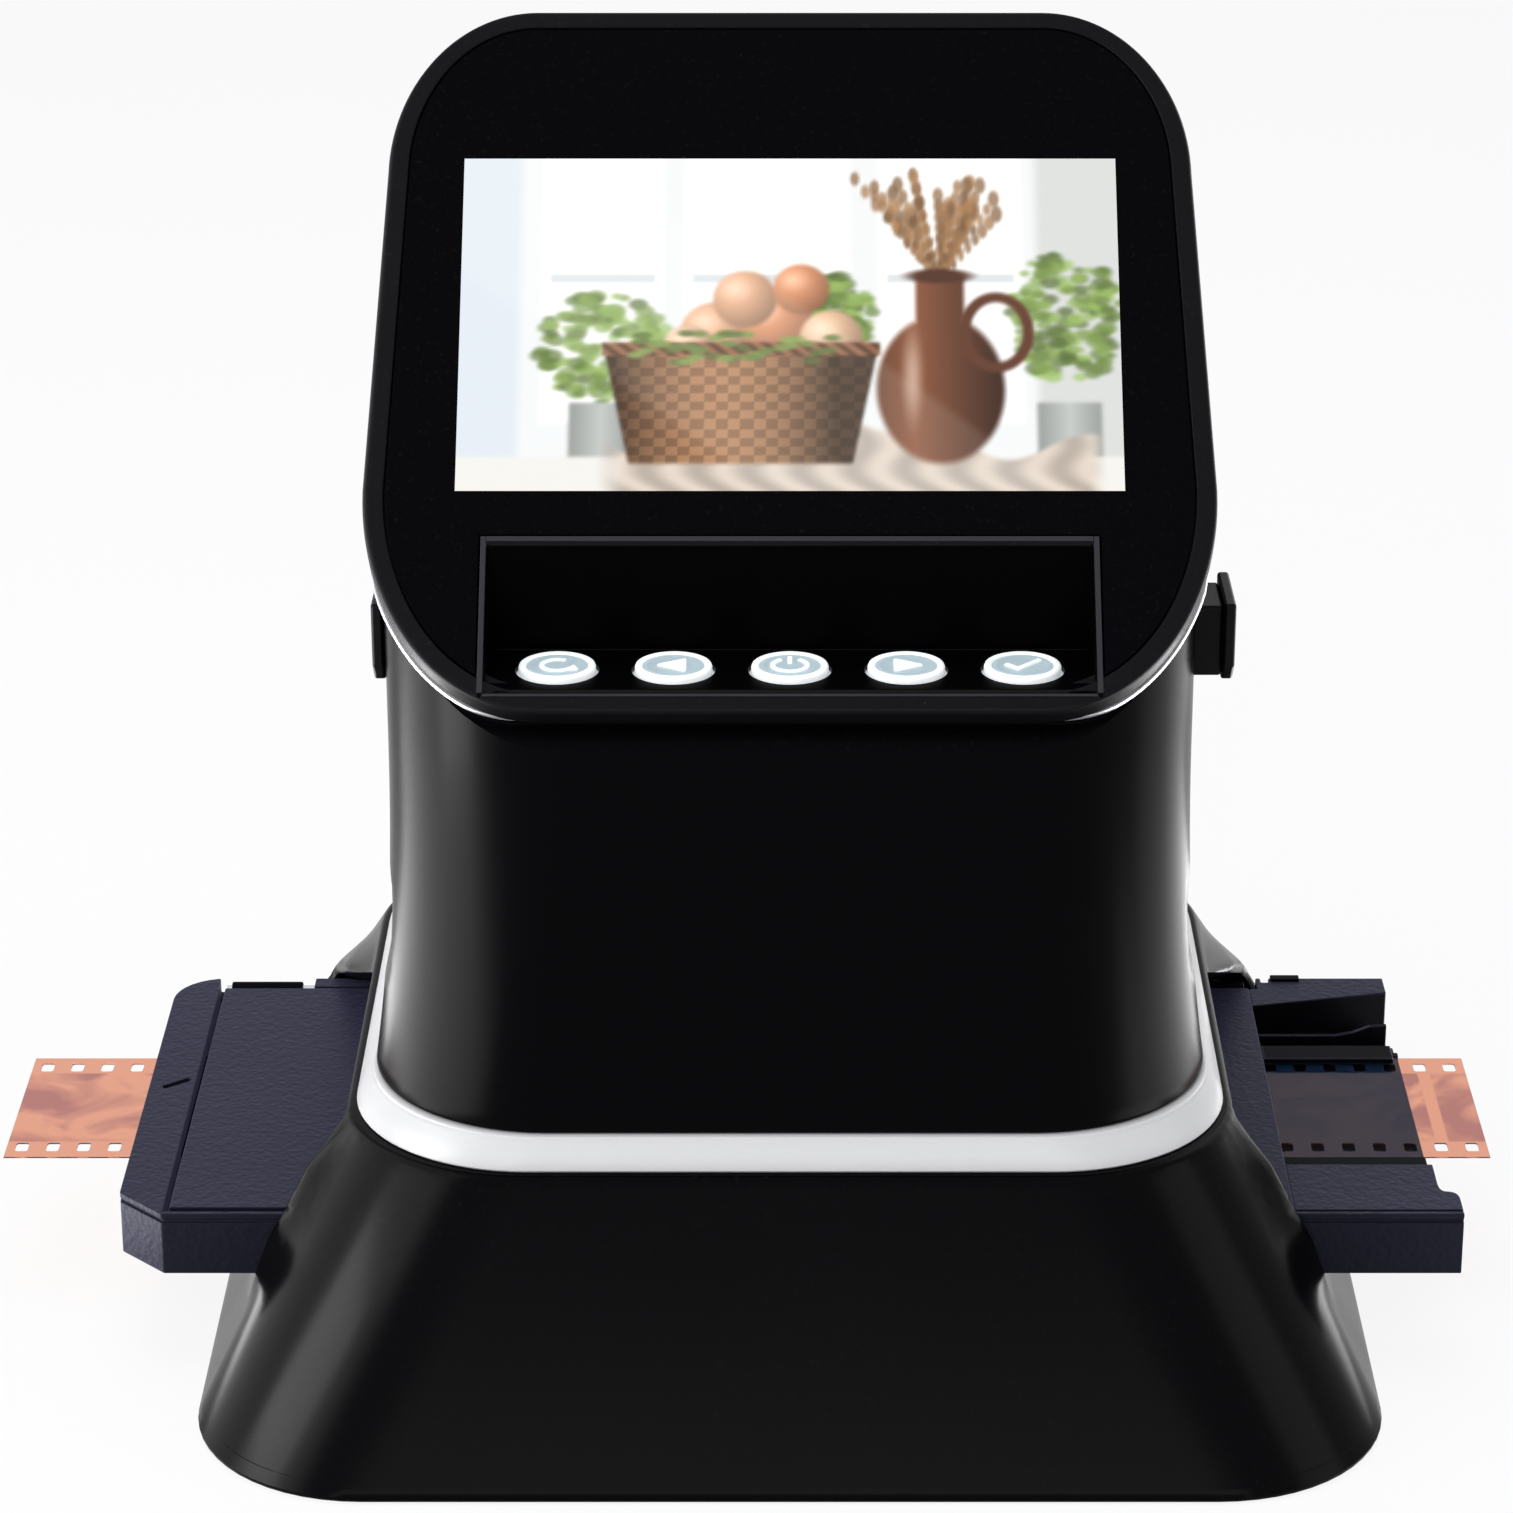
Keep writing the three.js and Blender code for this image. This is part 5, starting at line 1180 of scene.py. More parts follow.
    @staticmethod
    def along(low: np.ndarray, knee: np.ndarray, high: np.ndarray, run: float, first: float,
              second: float, bend: float) -> np.ndarray:
        """The point some way along a path with a rounded knee.

        Args:
            low: where the path starts.
            knee: where it turns.
            high: where it ends.
            run: how far along it the point lies.
            first: the length up to the knee.
            second: the length after it.
            bend: how far from the knee the rounding starts.

        Returns:
            The point.
        """
        def on_path(length: float) -> np.ndarray:
            """The point on the sharp path."""
            if length <= first:
                return low + (knee - low) * (length / max(first, 1e-9))
            return knee + (high - knee) * ((length - first) / max(second, 1e-9))
        if bend < 1e-6 or abs(run - first) >= bend:
            return on_path(run)
        t = (run - first + bend) / (2 * bend)
        start, end = on_path(first - bend), on_path(first + bend)
        return start * (1 - t) ** 2 + knee * 2 * t * (1 - t) + end * t ** 2

    def skin(self) -> Mesh:
        """The outside with every opening cut in it."""
        mesh = loft(self.shell()).bmesh()
        bay = rounded([tuple(p) for p in self.bay], self.bay_round, 4)
        y, z = self.slot_place
        slot = corners(about(self.slot[0], y), about(self.slot[1], z))
        for side in (-1, 1):
            punch(mesh, bay, "x", side * self.side_x)
            punch(mesh, slot, "x", side * self.side_x)
        for x in about(self.screw_x):
            for height in self.screw_z:
                punch(mesh, circle(self.screw_recess, 20, (x, height)), "y", self.rear_y)
        outline = np.array(bay)
        for vert in mesh.verts:
            x, y, z = vert.co
            if (abs(x) > self.side_x and self.dip_y[0] < y < self.dip_y[1]
                    and self.dip_z[0] < z < self.dip_z[1]):
                gap = rim_distance((y, z), outline)
                if gap < self.bay_reach:
                    vert.co.x -= math.copysign(self.bay_dip * (1 - gap / self.bay_reach) ** 2, x)
        return mesh

    def half(self, sign: int) -> Mesh:
        """One side of the split: -1 is the front moulding, 1 the rear."""
        mesh = self.skin()
        everything = [*mesh.verts, *mesh.edges, *mesh.faces]
        place = Vector((0, self.split + sign * self.seam / 2, 0))
        bmesh.ops.bisect_plane(mesh, geom=everything, dist=CUT_TOLERANCE, plane_co=place,
                               plane_no=Vector((0, -sign, 0)), clear_outer=True)
        return mesh

    def skirt_wall(self, low_y: float, high_y: float) -> Draft:
        """The stretch of the skirt inside the collar between two places in depth."""
        half_x, half_y, radius = self.skirt
        low, high = self.skirt_z
        rings = [self.grid.rectangle(half_x - i, half_y - i, radius - i, z)
                 for i, z in ((0, low), (0, high), (self.skirt_width, high), (self.skirt_width, low))]
        whole = loft(rings, closed=True)
        points = np.vstack(whole.points)
        faces = [f for f in whole.faces if all(low_y <= points[i][1] <= high_y for i in f)]
        return Draft().add(points, faces)

    def build(self) -> None:
        """Makes the tower's front and its rear cover."""
        for name, sign, node in (("tower_front", -1, "tower_shell"), ("tower_rear", 1, "rear_cover")):
            piece = Piece(name, self.half(sign), closed=False)
            piece.wall(self.wall)
            tubes = Draft()
            if sign > 0:
                for x in about(self.screw_x):
                    for z in self.screw_z:
                        shape = tube((x, z), self.screw_recess, self.screw_tube, 0, 1)
                        rows = np.vstack(shape.points)
                        swapped = np.column_stack(
                            [rows[:, 0], self.tube_y[0] + rows[:, 2] * self.tube_y[1], rows[:, 1]])
                        tubes.add(swapped, shape.faces)
            start, end = sorted((self.split + sign * self.skirt_gap, sign * FAR))
            tubes.take(self.skirt_wall(start, end))
            piece.add(tubes).place([GLOSS_BLACK], Body.SCANNER, (node,), 40, False)


@dataclass
class Head:
    """Bezel ring, silver line, front glass, key recess and lit picture of the head."""

    ring_profile: tuple = ((0.35, -4.0), (0.0, -3.65), (0.0, -1.3))
    ring_top: tuple = ((0.0, -1.3), (0.0, 0.0), (1.2, 0.0))
    ring_inner: tuple = ((2.6, 0.0), (3.0, 0.0), (3.0, -0.4))
    shelf: tuple = ((3.0, -1.8), (4.6, -1.8), (4.6, -4.0))
    trim_proud: float = 0.45
    trim_from: float = 36
    trim_until: float = 20
    trim_fade: float = 9
    trim_hidden: float = 1.1
    trim_low: float = -5.0
    trim_high: float = -4.1
    trim_depth: float = 2.4
    trim_slope: float = 0.2
    glass_inset: float = 3.25
    glass_top: float = -0.2
    glass_back: float = -1.5
    recess_half: float = 42.6
    recess_floor: float = 114.5
    recess_rear: float = -39.8
    recess_wall: float = 1.0
    rim_gap: float = 0.25
    rim_line: Flat = (0.8, 0.14)
    line_low: float = -0.6
    line_from: float = 2.9
    lip_line: Flat = (2.35, 2.75)
    overlap: float = 0.3
    recess_open: float = 30
    level: float = 0.97
    split_below: float = 50
    picture_half: float = 47.5
    picture_low: float = 34.2
    picture_high: float = 88.2
    panel_half: float = 49
    panel_low: float = 32.5
    panel_high: float = 89.5
    panel_back: float = -5.0
    key_y: float = -47.5
    key_pitch: float = 16.35
    key_hole: float = 5.85
    grid: RingGrid = field(default_factory=lambda: RingGrid(30, 30, 30))

    def bezel(self) -> None:
        """Makes the ring round the face."""
        profile = [*self.ring_profile[:2], *arc(*self.ring_top, 5), *arc(*self.ring_inner, 3),
                   *self.shelf]
        rings = [FACE.ring(inset, height, self.grid) for inset, height in profile]
        piece = Piece("bezel_ring", loft(rings, closed=True))
        piece.place([SATIN_BLACK], Body.SCANNER, (), 40)

    def trim(self) -> None:
        """Makes the thin bright line under the bezel."""
        low, high, proud = self.trim_low, self.trim_high, self.trim_proud
        deep, side = self.trim_depth, self.trim_slope - proud
        profile = [(deep, low), (side, low), (-proud, (low + high) / 2), (side, high), (deep, high)]
        flat = FACE.outline(0, self.grid)
        beside = np.clip((np.abs(flat[:, 0]) - self.trim_from) / self.trim_fade, 0, 1)
        below = 1 - np.clip((flat[:, 1] - self.trim_until) / self.trim_fade, 0, 1)
        shown = (beside * below)[:, None]
        rings = []
        for inset, height in profile:
            outer = FACE.ring(inset, height, self.grid)
            inner = FACE.ring(min(inset + self.trim_hidden, deep), height, self.grid)
            rings.append(inner * (1 - shown) + outer * shown)
        piece = Piece("silver_line", loft(rings, closed=True))
        piece.place([SILVER], Body.SCANNER, ("head_trim",), 60)

    def recess(self) -> None:
        """Makes the tub that the keys stand in, with a thin rim flush with the bezel; its inner faces take
        painted shade, and pale grey strips on the rim are painted edge highlights.
        """
        rear = self.recess_rear + self.recess_wall
        slant = FACE.lip_z - FACE.lip_y
        front = FACE.lip_y + self.lip_line[1] * ROOT_HALF
        low = self.recess_floor - self.recess_wall
        half = self.recess_half + self.recess_wall
        side = [(front - self.overlap, low), (rear, low), (rear, rear + slant), (front, front + slant)]
        outside = prism(side, -half, half, "x")
        inside = box(about(self.recess_half), (FACE.lip_y - 1, self.recess_rear),
                     (self.recess_floor, self.recess_floor + self.recess_open))
        holes = [prism(circle(self.key_hole, 40, (i * self.key_pitch, self.key_y)), low - 1, low + 3)
                 for i in range(-2, 3)]
        piece = Piece("key_recess", outside).cut(inside, *holes).soften(0.22)
        # Painted shade: faces that don't look out of the face take the darker, duller black, as shade
        # inside the recess; the flush rim keeps the satin black
        out = Vector((0, -1, 1)).normalized()
        for face in piece.object.data.polygons:
            face.material_index = 1 if face.normal.dot(out) > self.level else 0
        piece.place([RECESS_SHADE_BLACK, SATIN_BLACK], Body.SCANNER, ("front_bezel",), 30)
        # The strips below are painted edge highlights: pale grey bands along the rim's sides, top and
        # front lip
        top = self.notch_s() - self.rim_gap * math.sqrt(2)
        wide, high = self.rim_line
        inner, z = half - wide, (self.line_low, high)
        lines = Draft()
        for x in (-half, inner):
            lines.take(box((x, x + wide), (self.line_from, top - HAIR), z))
        lines.take(box(about(inner - HAIR), (top - wide, top), z))
        lines.take(box(about(inner), self.lip_line, z))
        piece = Piece("recess_highlight_lines", lines.moved(FACE.matrix())).soften(0.12, 2)
        piece.place([EDGE_HIGHLIGHT_GREY], Body.SCANNER)

    def notch_s(self) -> float:
        """How far up the slope the glass's notch for the recess reaches."""
        rear = self.recess_rear + self.recess_wall + self.rim_gap
        return (rear - FACE.lip_y) * math.sqrt(2)

    def glass_outline(self) -> list[Flat]:
        """The glass's outline with the notch for the key recess."""
        half = self.recess_half + self.recess_wall + self.rim_gap
        top = self.notch_s()
        flat = FACE.outline(self.glass_inset, self.grid)
        kept = [tuple(p) for p in flat if not (abs(p[0]) < half and p[1] < top)]
        split = next(i for i, p in enumerate(kept)
                     if p[0] > 0 and kept[i - 1][0] < 0 and p[1] < self.split_below)
        low_s = min(p[1] for p in kept) - self.overlap
        notch = [(-half, low_s), (-half, top), (half, top), (half, low_s)]
        return kept[:split] + notch + kept[split:]

    def glass(self) -> None:
        """Makes the black glass with its window for the picture."""
        window = corners(about(self.picture_half), (self.picture_low, self.picture_high))
        draft = prism(self.glass_outline(), self.glass_back, self.glass_top, holes=(window,))
        piece = Piece("front_glass", draft.moved(FACE.matrix())).soften(0.12, 2)
        piece.place([GLASS], Body.SCANNER, ("screen_glass",), 30)

    def build(self) -> None:
        """Makes the head's pieces."""
        self.bezel()
        self.trim()
        self.recess()
        self.glass()
        Picture(self).build()
        Keys(self).build()


@dataclass
class Picture:
    """The lit picture: a still life by a bright window, painted point by point in code."""

    head: Head
    cell: float = 0.34
    top: float = -0.24
    strength: float = 1.0
    edge: float = 0.05
    skirt: float = 0.1
    panel_gap: float = 0.15
    paint_share: float = 0.1
    roughness: float = 0.05
    specular: float = 0.2

    def build(self) -> None:
        """Makes the display module with its painted front."""
        head = self.head
        width = 2 * head.picture_half - 2 * self.edge
        height = head.picture_high - head.picture_low - 2 * self.edge
        columns = int(width / self.cell)
        rows = int(height / self.cell)
        xs = np.linspace(-width / 2, width / 2, columns + 1)
        ys = np.linspace(0, height, rows + 1)
        grid_x, grid_y = np.meshgrid(xs, ys)
        points = np.column_stack([
            grid_x.ravel(), (grid_y + head.picture_low + self.edge).ravel(),
            np.full(grid_x.size, self.top)])
        step = columns + 1
        faces = [(r * step + c, r * step + c + 1, (r + 1) * step + c + 1, (r + 1) * step + c)
                 for r in range(rows) for c in range(columns)]
        rim = list(range(columns))
        rim += [r * step + columns for r in range(rows)]
        rim += [rows * step + c for c in range(columns, 0, -1)]
        rim += [r * step for r in range(rows, 0, -1)]
        draft = Draft().add(points, faces)
        low = points[rim].copy()
        low[:, 2] = head.glass_back - self.skirt
        start = draft.count
        sides = [(rim[(i + 1) % len(rim)], rim[i], start + i, start + (i + 1) % len(rim))
                 for i in range(len(rim))]
        sides.append(tuple(start + i for i in reversed(range(len(rim)))))
        draft.add(low, [])
        draft.faces += sides
        draft.kinds += [1] * len(sides)
        draft.take(box(about(head.panel_half), (head.panel_low, head.panel_high),
                       (head.panel_back, head.glass_back - self.panel_gap)), 1)
        piece = Piece("display_panel", draft.moved(FACE.matrix()))
        colours = self.paint(grid_x / (width / 2), grid_y / height)
        data = piece.object.data
        layer = data.color_attributes.new("Paint", "FLOAT_COLOR", "POINT")
        values = np.zeros((len(data.vertices), 4))
        values[:, 3] = 1
        values[:grid_x.size, :3] = colours.reshape(-1, 3)
        layer.data.foreach_set("color", values.ravel())
        made = piece.place([self.material(), INNER_BLACK], Body.SCANNER, ("lcd_panel",), 30, False)

    def material(self) -> bpy.types.Material:
        """The lit face: the painted colours as light under a clear gloss."""
        material, nodes = new_material("lit_picture")
        paint = nodes.add("ShaderNodeAttribute", attribute_name="Paint").outputs["Color"]
        nodes.surface({
            "Base Color": nodes.mix(1 - self.paint_share, paint, BLACK),
            "Roughness": self.roughness, "Specular IOR Level": self.specular,
            "Emission Color": paint, "Emission Strength": self.strength})
        return material

    def paint(self, x: np.ndarray, y: np.ndarray) -> np.ndarray:
        """The still life's colours.

        Args:
            x: places across, from -1 at the left to 1 at the right.
            y: places up, from 0 to 1.

        Returns:
            Red, green and blue for each place, as light.
        """
        canvas = Canvas(x, y)
        canvas.room()
        canvas.plants()
        canvas.table()
        canvas.jug()
        canvas.basket()
        canvas.painted_glass_reflection()
        return canvas.light()


def smooth(low: float, high: float, value: np.ndarray) -> np.ndarray:
    """Soft step from 0 at low to 1 at high."""
    share = np.clip((value - low) / (high - low), 0, 1)
    return share * share * (3 - 2 * share)


class Canvas:
    """A painting in code: each method lays one motif over what is there."""

    def __init__(self, x: np.ndarray, y: np.ndarray) -> None:
        """Starts from a pale ground. Places across are widened so that circles stay round."""
        self.x = x * 0.88
        self.y = y
        self.rgb = np.ones((*x.shape, 3)) * np.array([0.93, 0.94, 0.94])
        self.random = np.random.default_rng(7)

    def lay(self, mask: np.ndarray, colour: tuple, shade: np.ndarray | float = 1.0) -> None:
        """Lays one colour, shaded, where the mask is 1."""
        tone = np.array(colour) * np.asarray(shade)[..., None]
        self.rgb = self.rgb * (1 - mask[..., None]) + np.clip(tone, 0, 1) * mask[..., None]

    def oval(self, cx: float, cy: float, rx: float, ry: float, soft: float = 0.02) -> np.ndarray:
        """Mask of an upright oval with a soft edge."""
        gap = np.sqrt(((self.x - cx) / rx) ** 2 + ((self.y - cy) / ry) ** 2)
        edge = soft / min(rx, ry)
        return 1 - smooth(1 - edge, 1 + edge, gap)

    def block(self, x0: float, x1: float, y0: float, y1: float, soft: float = 0.008) -> np.ndarray:
        """Mask of a block with soft edges."""
        return (smooth(x0 - soft, x0 + soft, self.x) * (1 - smooth(x1 - soft, x1 + soft, self.x))
                * smooth(y0 - soft, y0 + soft, self.y) * (1 - smooth(y1 - soft, y1 + soft, self.y)))

    def room(self) -> None:
        """A bright wall with tall window panes."""
        self.lay(self.block(-2, -0.72, -1, 2, 0.02), (0.86, 0.89, 0.92))
        for x0, x1 in ((-0.66, -0.34), (-0.28, 0.16), (0.24, 0.62)):
            self.lay(self.block(x0, x1, 0.2, 2, 0.012), (1.0, 1.0, 1.0))
            self.lay(self.block(x0 + 0.02, x1 - 0.02, 0.62, 0.645, 0.006), (0.85, 0.87, 0.88))
        self.lay(self.block(0.66, 2, -1, 2, 0.02), (0.83, 0.84, 0.83))

    def plants(self) -> None:
        """Two soft bushes of leaves in pale pots on the sill."""
        bushes = ((-0.5, 0.4, 0.17, 0.17), (0.74, 0.5, 0.15, 0.2), (0.12, 0.5, 0.1, 0.12))
        for cx, cy, width, height in bushes:
            for _ in range(170):
                turn = self.random.uniform(0, 2 * math.pi)
                far = math.sqrt(self.random.uniform(0, 1))
                px = cx + width * far * math.cos(turn)
                py = cy + height * far * math.sin(turn) + 0.02
                tone = self.random.uniform(0.55, 1.1)
                size = self.random.uniform(0.008, 0.02)
                self.lay(self.oval(px, py, size * 1.5, size, 0.008) * 0.75,
                         (0.55 * tone, 0.68 * tone, 0.34 * tone))
        for cx in (-0.5, 0.74):
            shade = 0.9 - 0.25 * np.abs(self.x - cx) / 0.1
            self.lay(self.block(cx - 0.085, cx + 0.085, 0.08, 0.26, 0.01), (0.82, 0.84, 0.82), shade)

    def table(self) -> None:
        """A white sill and a rumpled cream cloth along the bottom."""
        self.lay(self.block(-2, 2, -1, 0.1, 0.01), (0.93, 0.92, 0.9))
        fold = 0.16 + 0.05 * np.sin(self.x * 7 + 0.6) + 0.02 * np.sin(self.x * 19)
        mask = 1 - smooth(-0.012, 0.012, self.y - fold)
        mask = mask * smooth(-0.52, -0.42, self.x) * (1 - smooth(0.78, 0.84, self.x))
        crease = 0.9 + 0.1 * np.sin(self.x * 46 + self.y * 25 + 2 * np.sin(self.y * 31))
        self.lay(mask, (0.87, 0.81, 0.75), crease)

    def jug(self) -> None:
        """A tall brown glazed jug with dry stems."""
        x = self.x
        cx = 0.4
        for _ in range(26):
            lean = self.random.uniform(-0.55, 0.55)
            reach = self.random.uniform(0.2, 0.34)
            for step in range(9):
                t = step / 8
                px = cx + lean * reach * t * 1.4
                py = 0.62 + reach * t
                size = 0.006 + 0.01 * t * self.random.uniform(0.5, 1)
                tone = self.random.uniform(0.7, 1.1)
                self.lay(self.oval(px, py, size, size * 1.7, 0.006) * 0.8,
                         (0.62 * tone, 0.45 * tone, 0.3 * tone))
        lit = 1.25 - 3.2 * np.abs(x - cx + 0.07)
        body = self.oval(cx, 0.3, 0.17, 0.22, 0.012)
        neck = self.block(cx - 0.065, cx + 0.065, 0.45, 0.64, 0.01)
        lip = self.oval(cx, 0.64, 0.085, 0.022, 0.008)
        self.lay(np.maximum(body, neck), (0.42, 0.25, 0.17), np.clip(lit, 0.35, 1.5))
        self.lay(lip, (0.3, 0.18, 0.13))
        outer = self.oval(cx + 0.15, 0.47, 0.1, 0.12, 0.008)
        inner = self.oval(cx + 0.15, 0.47, 0.07, 0.09, 0.008)
        self.lay(outer * (1 - inner) * (x > cx + 0.06), (0.36, 0.21, 0.15))
        self.lay(self.oval(cx - 0.075, 0.34, 0.02, 0.1, 0.02) * 0.55, (0.95, 0.85, 0.78))

    def basket(self) -> None:
        """A woven basket of peaches and bread on the left."""
        x, y = self.x, self.y
        cx = -0.13
        fruits = [(-0.2, 0.47, 0.09), (-0.04, 0.5, 0.1), (0.11, 0.45, 0.085), (-0.12, 0.57, 0.085),
                  (0.03, 0.6, 0.075), (-0.27, 0.42, 0.07)]
        for i, (px, py, size) in enumerate(fruits):
            away = ((x - px + size * 0.35) / size) ** 2 + ((y - py - size * 0.4) / size) ** 2
            lit = 1.12 - 0.55 * np.sqrt(away) / 1.6
            base = [(0.96, 0.72, 0.56), (0.93, 0.62, 0.45), (0.97, 0.79, 0.64)][i % 3]
            self.lay(self.oval(px, py, size, size, 0.01), base, lit)
            self.lay(self.oval(px - size * 0.3, py + size * 0.35, size * 0.3, size * 0.22, 0.03) * 0.5,
                     (1.0, 0.93, 0.86))
        wide = 0.3 + 0.06 * (y - 0.1) / 0.3
        body = (1 - smooth(-0.008, 0.008, np.abs(x - cx) - wide)) * self.block(-2, 2, 0.08, 0.42, 0.01)
        weave = 0.86 + 0.2 * np.sign(np.sin((x - cx) * 95)) * np.sign(np.sin(y * 120)) * 0.5
        round_off = 1.1 - 0.9 * ((x - cx + 0.05) / 0.34) ** 2
        self.lay(body, (0.66, 0.47, 0.33), weave * np.clip(round_off, 0.4, 1.2))
        rim = (1 - smooth(-0.008, 0.008, np.abs(x - cx) - 0.37)) * self.block(-2, 2, 0.4, 0.44, 0.008)
        self.lay(rim, (0.5, 0.33, 0.23), 0.9 + 0.25 * np.sin(x * 130 + y * 160))
        for _ in range(40):
            px = self.random.uniform(-0.42, 0.12)
            py = self.random.uniform(0.38, 0.47)
            tone = self.random.uniform(0.6, 1.0)
            self.lay(self.oval(px, py, 0.022, 0.01, 0.006) * 0.85,
                     (0.5 * tone, 0.62 * tone, 0.3 * tone))

    def painted_glass_reflection(self) -> None:
        """A broad faint lighter band across the picture: a painted reflection on the glass."""
        band = self.x * 0.8 + self.y
        mask = (smooth(-0.1, 0.0, band) - smooth(0.55, 0.6, band)) * 0.1
        self.rgb = self.rgb + mask[..., None] * (1 - self.rgb)

    def light(self) -> np.ndarray:
        """The painting as light, with the haze of a bright room."""
        hazed = self.rgb * 0.93 + 0.06
        return np.clip(hazed, 0, 1) ** 2.2


@dataclass
class Keys:
    """Five round keys with raised signs, each on its own body."""

    head: Head
    radius: float = 5.45
    top: float = 115.3
    rim: float = 0.95
    dish: float = 0.28
    flange_z: float = 112.1
    flange_radius: float = 7.2
    foot_z: float = 110.5
    sign_height: float = 0.24
    sign_step: float = 0.03
    sign_scale: float = 1.04
    sign_root: float = 0.1
    stem: float = 2
    flange: float = 1
    edge: tuple = ((0, -0.45), (0.13, -0.13), (0.45, 0))
    dish_edge: tuple = ((-0.15, 0), (0, -0.1))
    face_rings: tuple = ((0.12, 0), (0.55, 0), (0.65, 0.07), (0.85, 0.07), (0.95, 0), (2.6, 0.02))
    dome: Flat = (0.5, 0.05)
    line: float = 0.32
    arrow: tuple = ((-1.7, -2.4), (2.5, 0), (-1.7, 2.4))
    power_arc: tuple = (2.35, 120, 420)
    power_bar: Flat = (0.6, 3.0)
    turn_arc: tuple = (2.1, 60, 330)
    turn_tip: tuple = ((1.2, -1.9), (2.95, -1.7), (2.25, -0.1))
    tick: tuple = ((-2.5, 0.1), (-0.7, -1.9), (2.7, 1.7), (2.2, 2.3), (-0.7, -0.85), (-2.0, 0.65))
    signs: tuple = ((Body.MODE_KEY, "button_mode", Symbol.TURN),
                    (Body.LEFT_KEY, "button_left", Symbol.LEFT),
                    (Body.POWER_KEY, "button_power", Symbol.POWER),
                    (Body.RIGHT_KEY, "button_right", Symbol.RIGHT),
                    (Body.CONFIRM_KEY, "button_confirm", Symbol.TICK))

    def cap(self, x: float, low: float, flange_top: float) -> Draft:
        """One key's cap, flange and stem."""
        r, top = self.radius, self.top
        inner = r - self.rim
        face = top - self.dish
        under = flange_top - self.flange
        dome, crown = self.dome[0], face + self.dome[1]
        profile = [(0, low), (self.stem, low), (self.stem, under), (self.flange_radius, under),
                   (self.flange_radius, flange_top), (r, flange_top)]
        profile += [(r - inset, top + rise) for inset, rise in self.edge]
        profile += [(inner - inset, top + rise) for inset, rise in self.dish_edge]
        profile += [(inner - inset, face + rise) for inset, rise in self.face_rings]
        profile += [(dome, crown), (0, crown)]
        rim_bands = 11
        kinds = [1] * rim_bands + [0] * (len(profile) - 1 - rim_bands)
        return turned(profile, (x, self.head.key_y), 56, kinds)

    def sign(self, symbol: Symbol) -> list[list[Flat]]:
        """Flat outlines of one sign about its key's middle, as convex or simple loops."""
        if symbol in (Symbol.LEFT, Symbol.RIGHT):
            way = 1 if symbol is Symbol.RIGHT else -1
            return [[(way * a, b) for a, b in rounded(list(self.arrow), 0.4, 4)]]
        if symbol is Symbol.POWER:
            return [self.band(*self.power_arc),
                    rounded(corners(about(self.line), self.power_bar), 0.3, 4)]
        if symbol is Symbol.TURN:
            return [self.band(*self.turn_arc), rounded(list(self.turn_tip), 0.2, 3)]
        return [list(self.tick)]

    def band(self, radius: float, start: float, end: float, steps: int = 30) -> list[Flat]:
        """Part of a ring, between two angles in degrees."""
        turns = [math.radians(start + (end - start) * i / steps) for i in range(steps + 1)]
        outer, inner = radius + self.line, radius - self.line
        return [*[(outer * math.cos(t), outer * math.sin(t)) for t in turns],
                *[(inner * math.cos(t), inner * math.sin(t)) for t in reversed(turns)]]

    def build(self) -> None:
        """Makes the keys."""
        for i, (body, node, symbol) in enumerate(self.signs):
            x = (i - 2) * self.head.key_pitch
            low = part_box(node)[0]
            piece = Piece(node + "_cap", self.cap(x, low.z / MM, self.flange_z + self.flange))
            piece.place([KEY_FACE, KEY_RIM], body, (node,), 50, False)
            face = self.top - self.dish
            draft = Draft()
            for number, loop in enumerate(self.sign(symbol)):
                at = [(x + a * self.sign_scale, self.head.key_y + b * self.sign_scale)
                      for a, b in loop]
                top = face + self.sign_height + number * self.sign_step
                draft.take(prism(at, face - self.sign_root, top))
            Piece(node + "_sign", draft).soften(0.05, 1).place([KEY_RIM], body, (), 30)


@dataclass
class Selector:
    """Bar through the head with a plate on each end."""

    y: float = -24
    z: float = 111.8
    left: float = -58.5
    right: float = 62.4
    half: Flat = (5.3, 5.35)
    plate_half: Flat = (7.1, 6.3)
    plate: float = 1.7
    chamfer: float = 3

    def plate_draft(self, start: float, end: float) -> Draft:
        """End plate with its two lower edges chamfered."""
        y, z, c = *self.plate_half, self.chamfer
        outline = [(-y, z), (-y, c - z), (c - y, -z), (y - c, -z), (y, c - z), (y, z)]
        return prism([(self.y + a, self.z + b) for a, b in outline], start, end, "x")

    def build(self) -> None:
        """Makes the bar and its plates."""
        bar = box((self.left, self.right), about(self.half[0], self.y), about(self.half[1], self.z))
        piece = Piece("selector_rod", bar).soften(0.5, 3)
        piece.place([SATIN_BLACK], Body.SELECTOR, ("selector_bar",))
        for name, start, node in (("plate_left", self.left - self.plate, "selector_plate_left"),
                                  ("plate_right", self.right, "selector_plate_right")):
            draft = self.plate_draft(start, start + self.plate)
            Piece(name, draft).soften(0.45, 3).place([SATIN_BLACK], Body.SELECTOR, (node,))


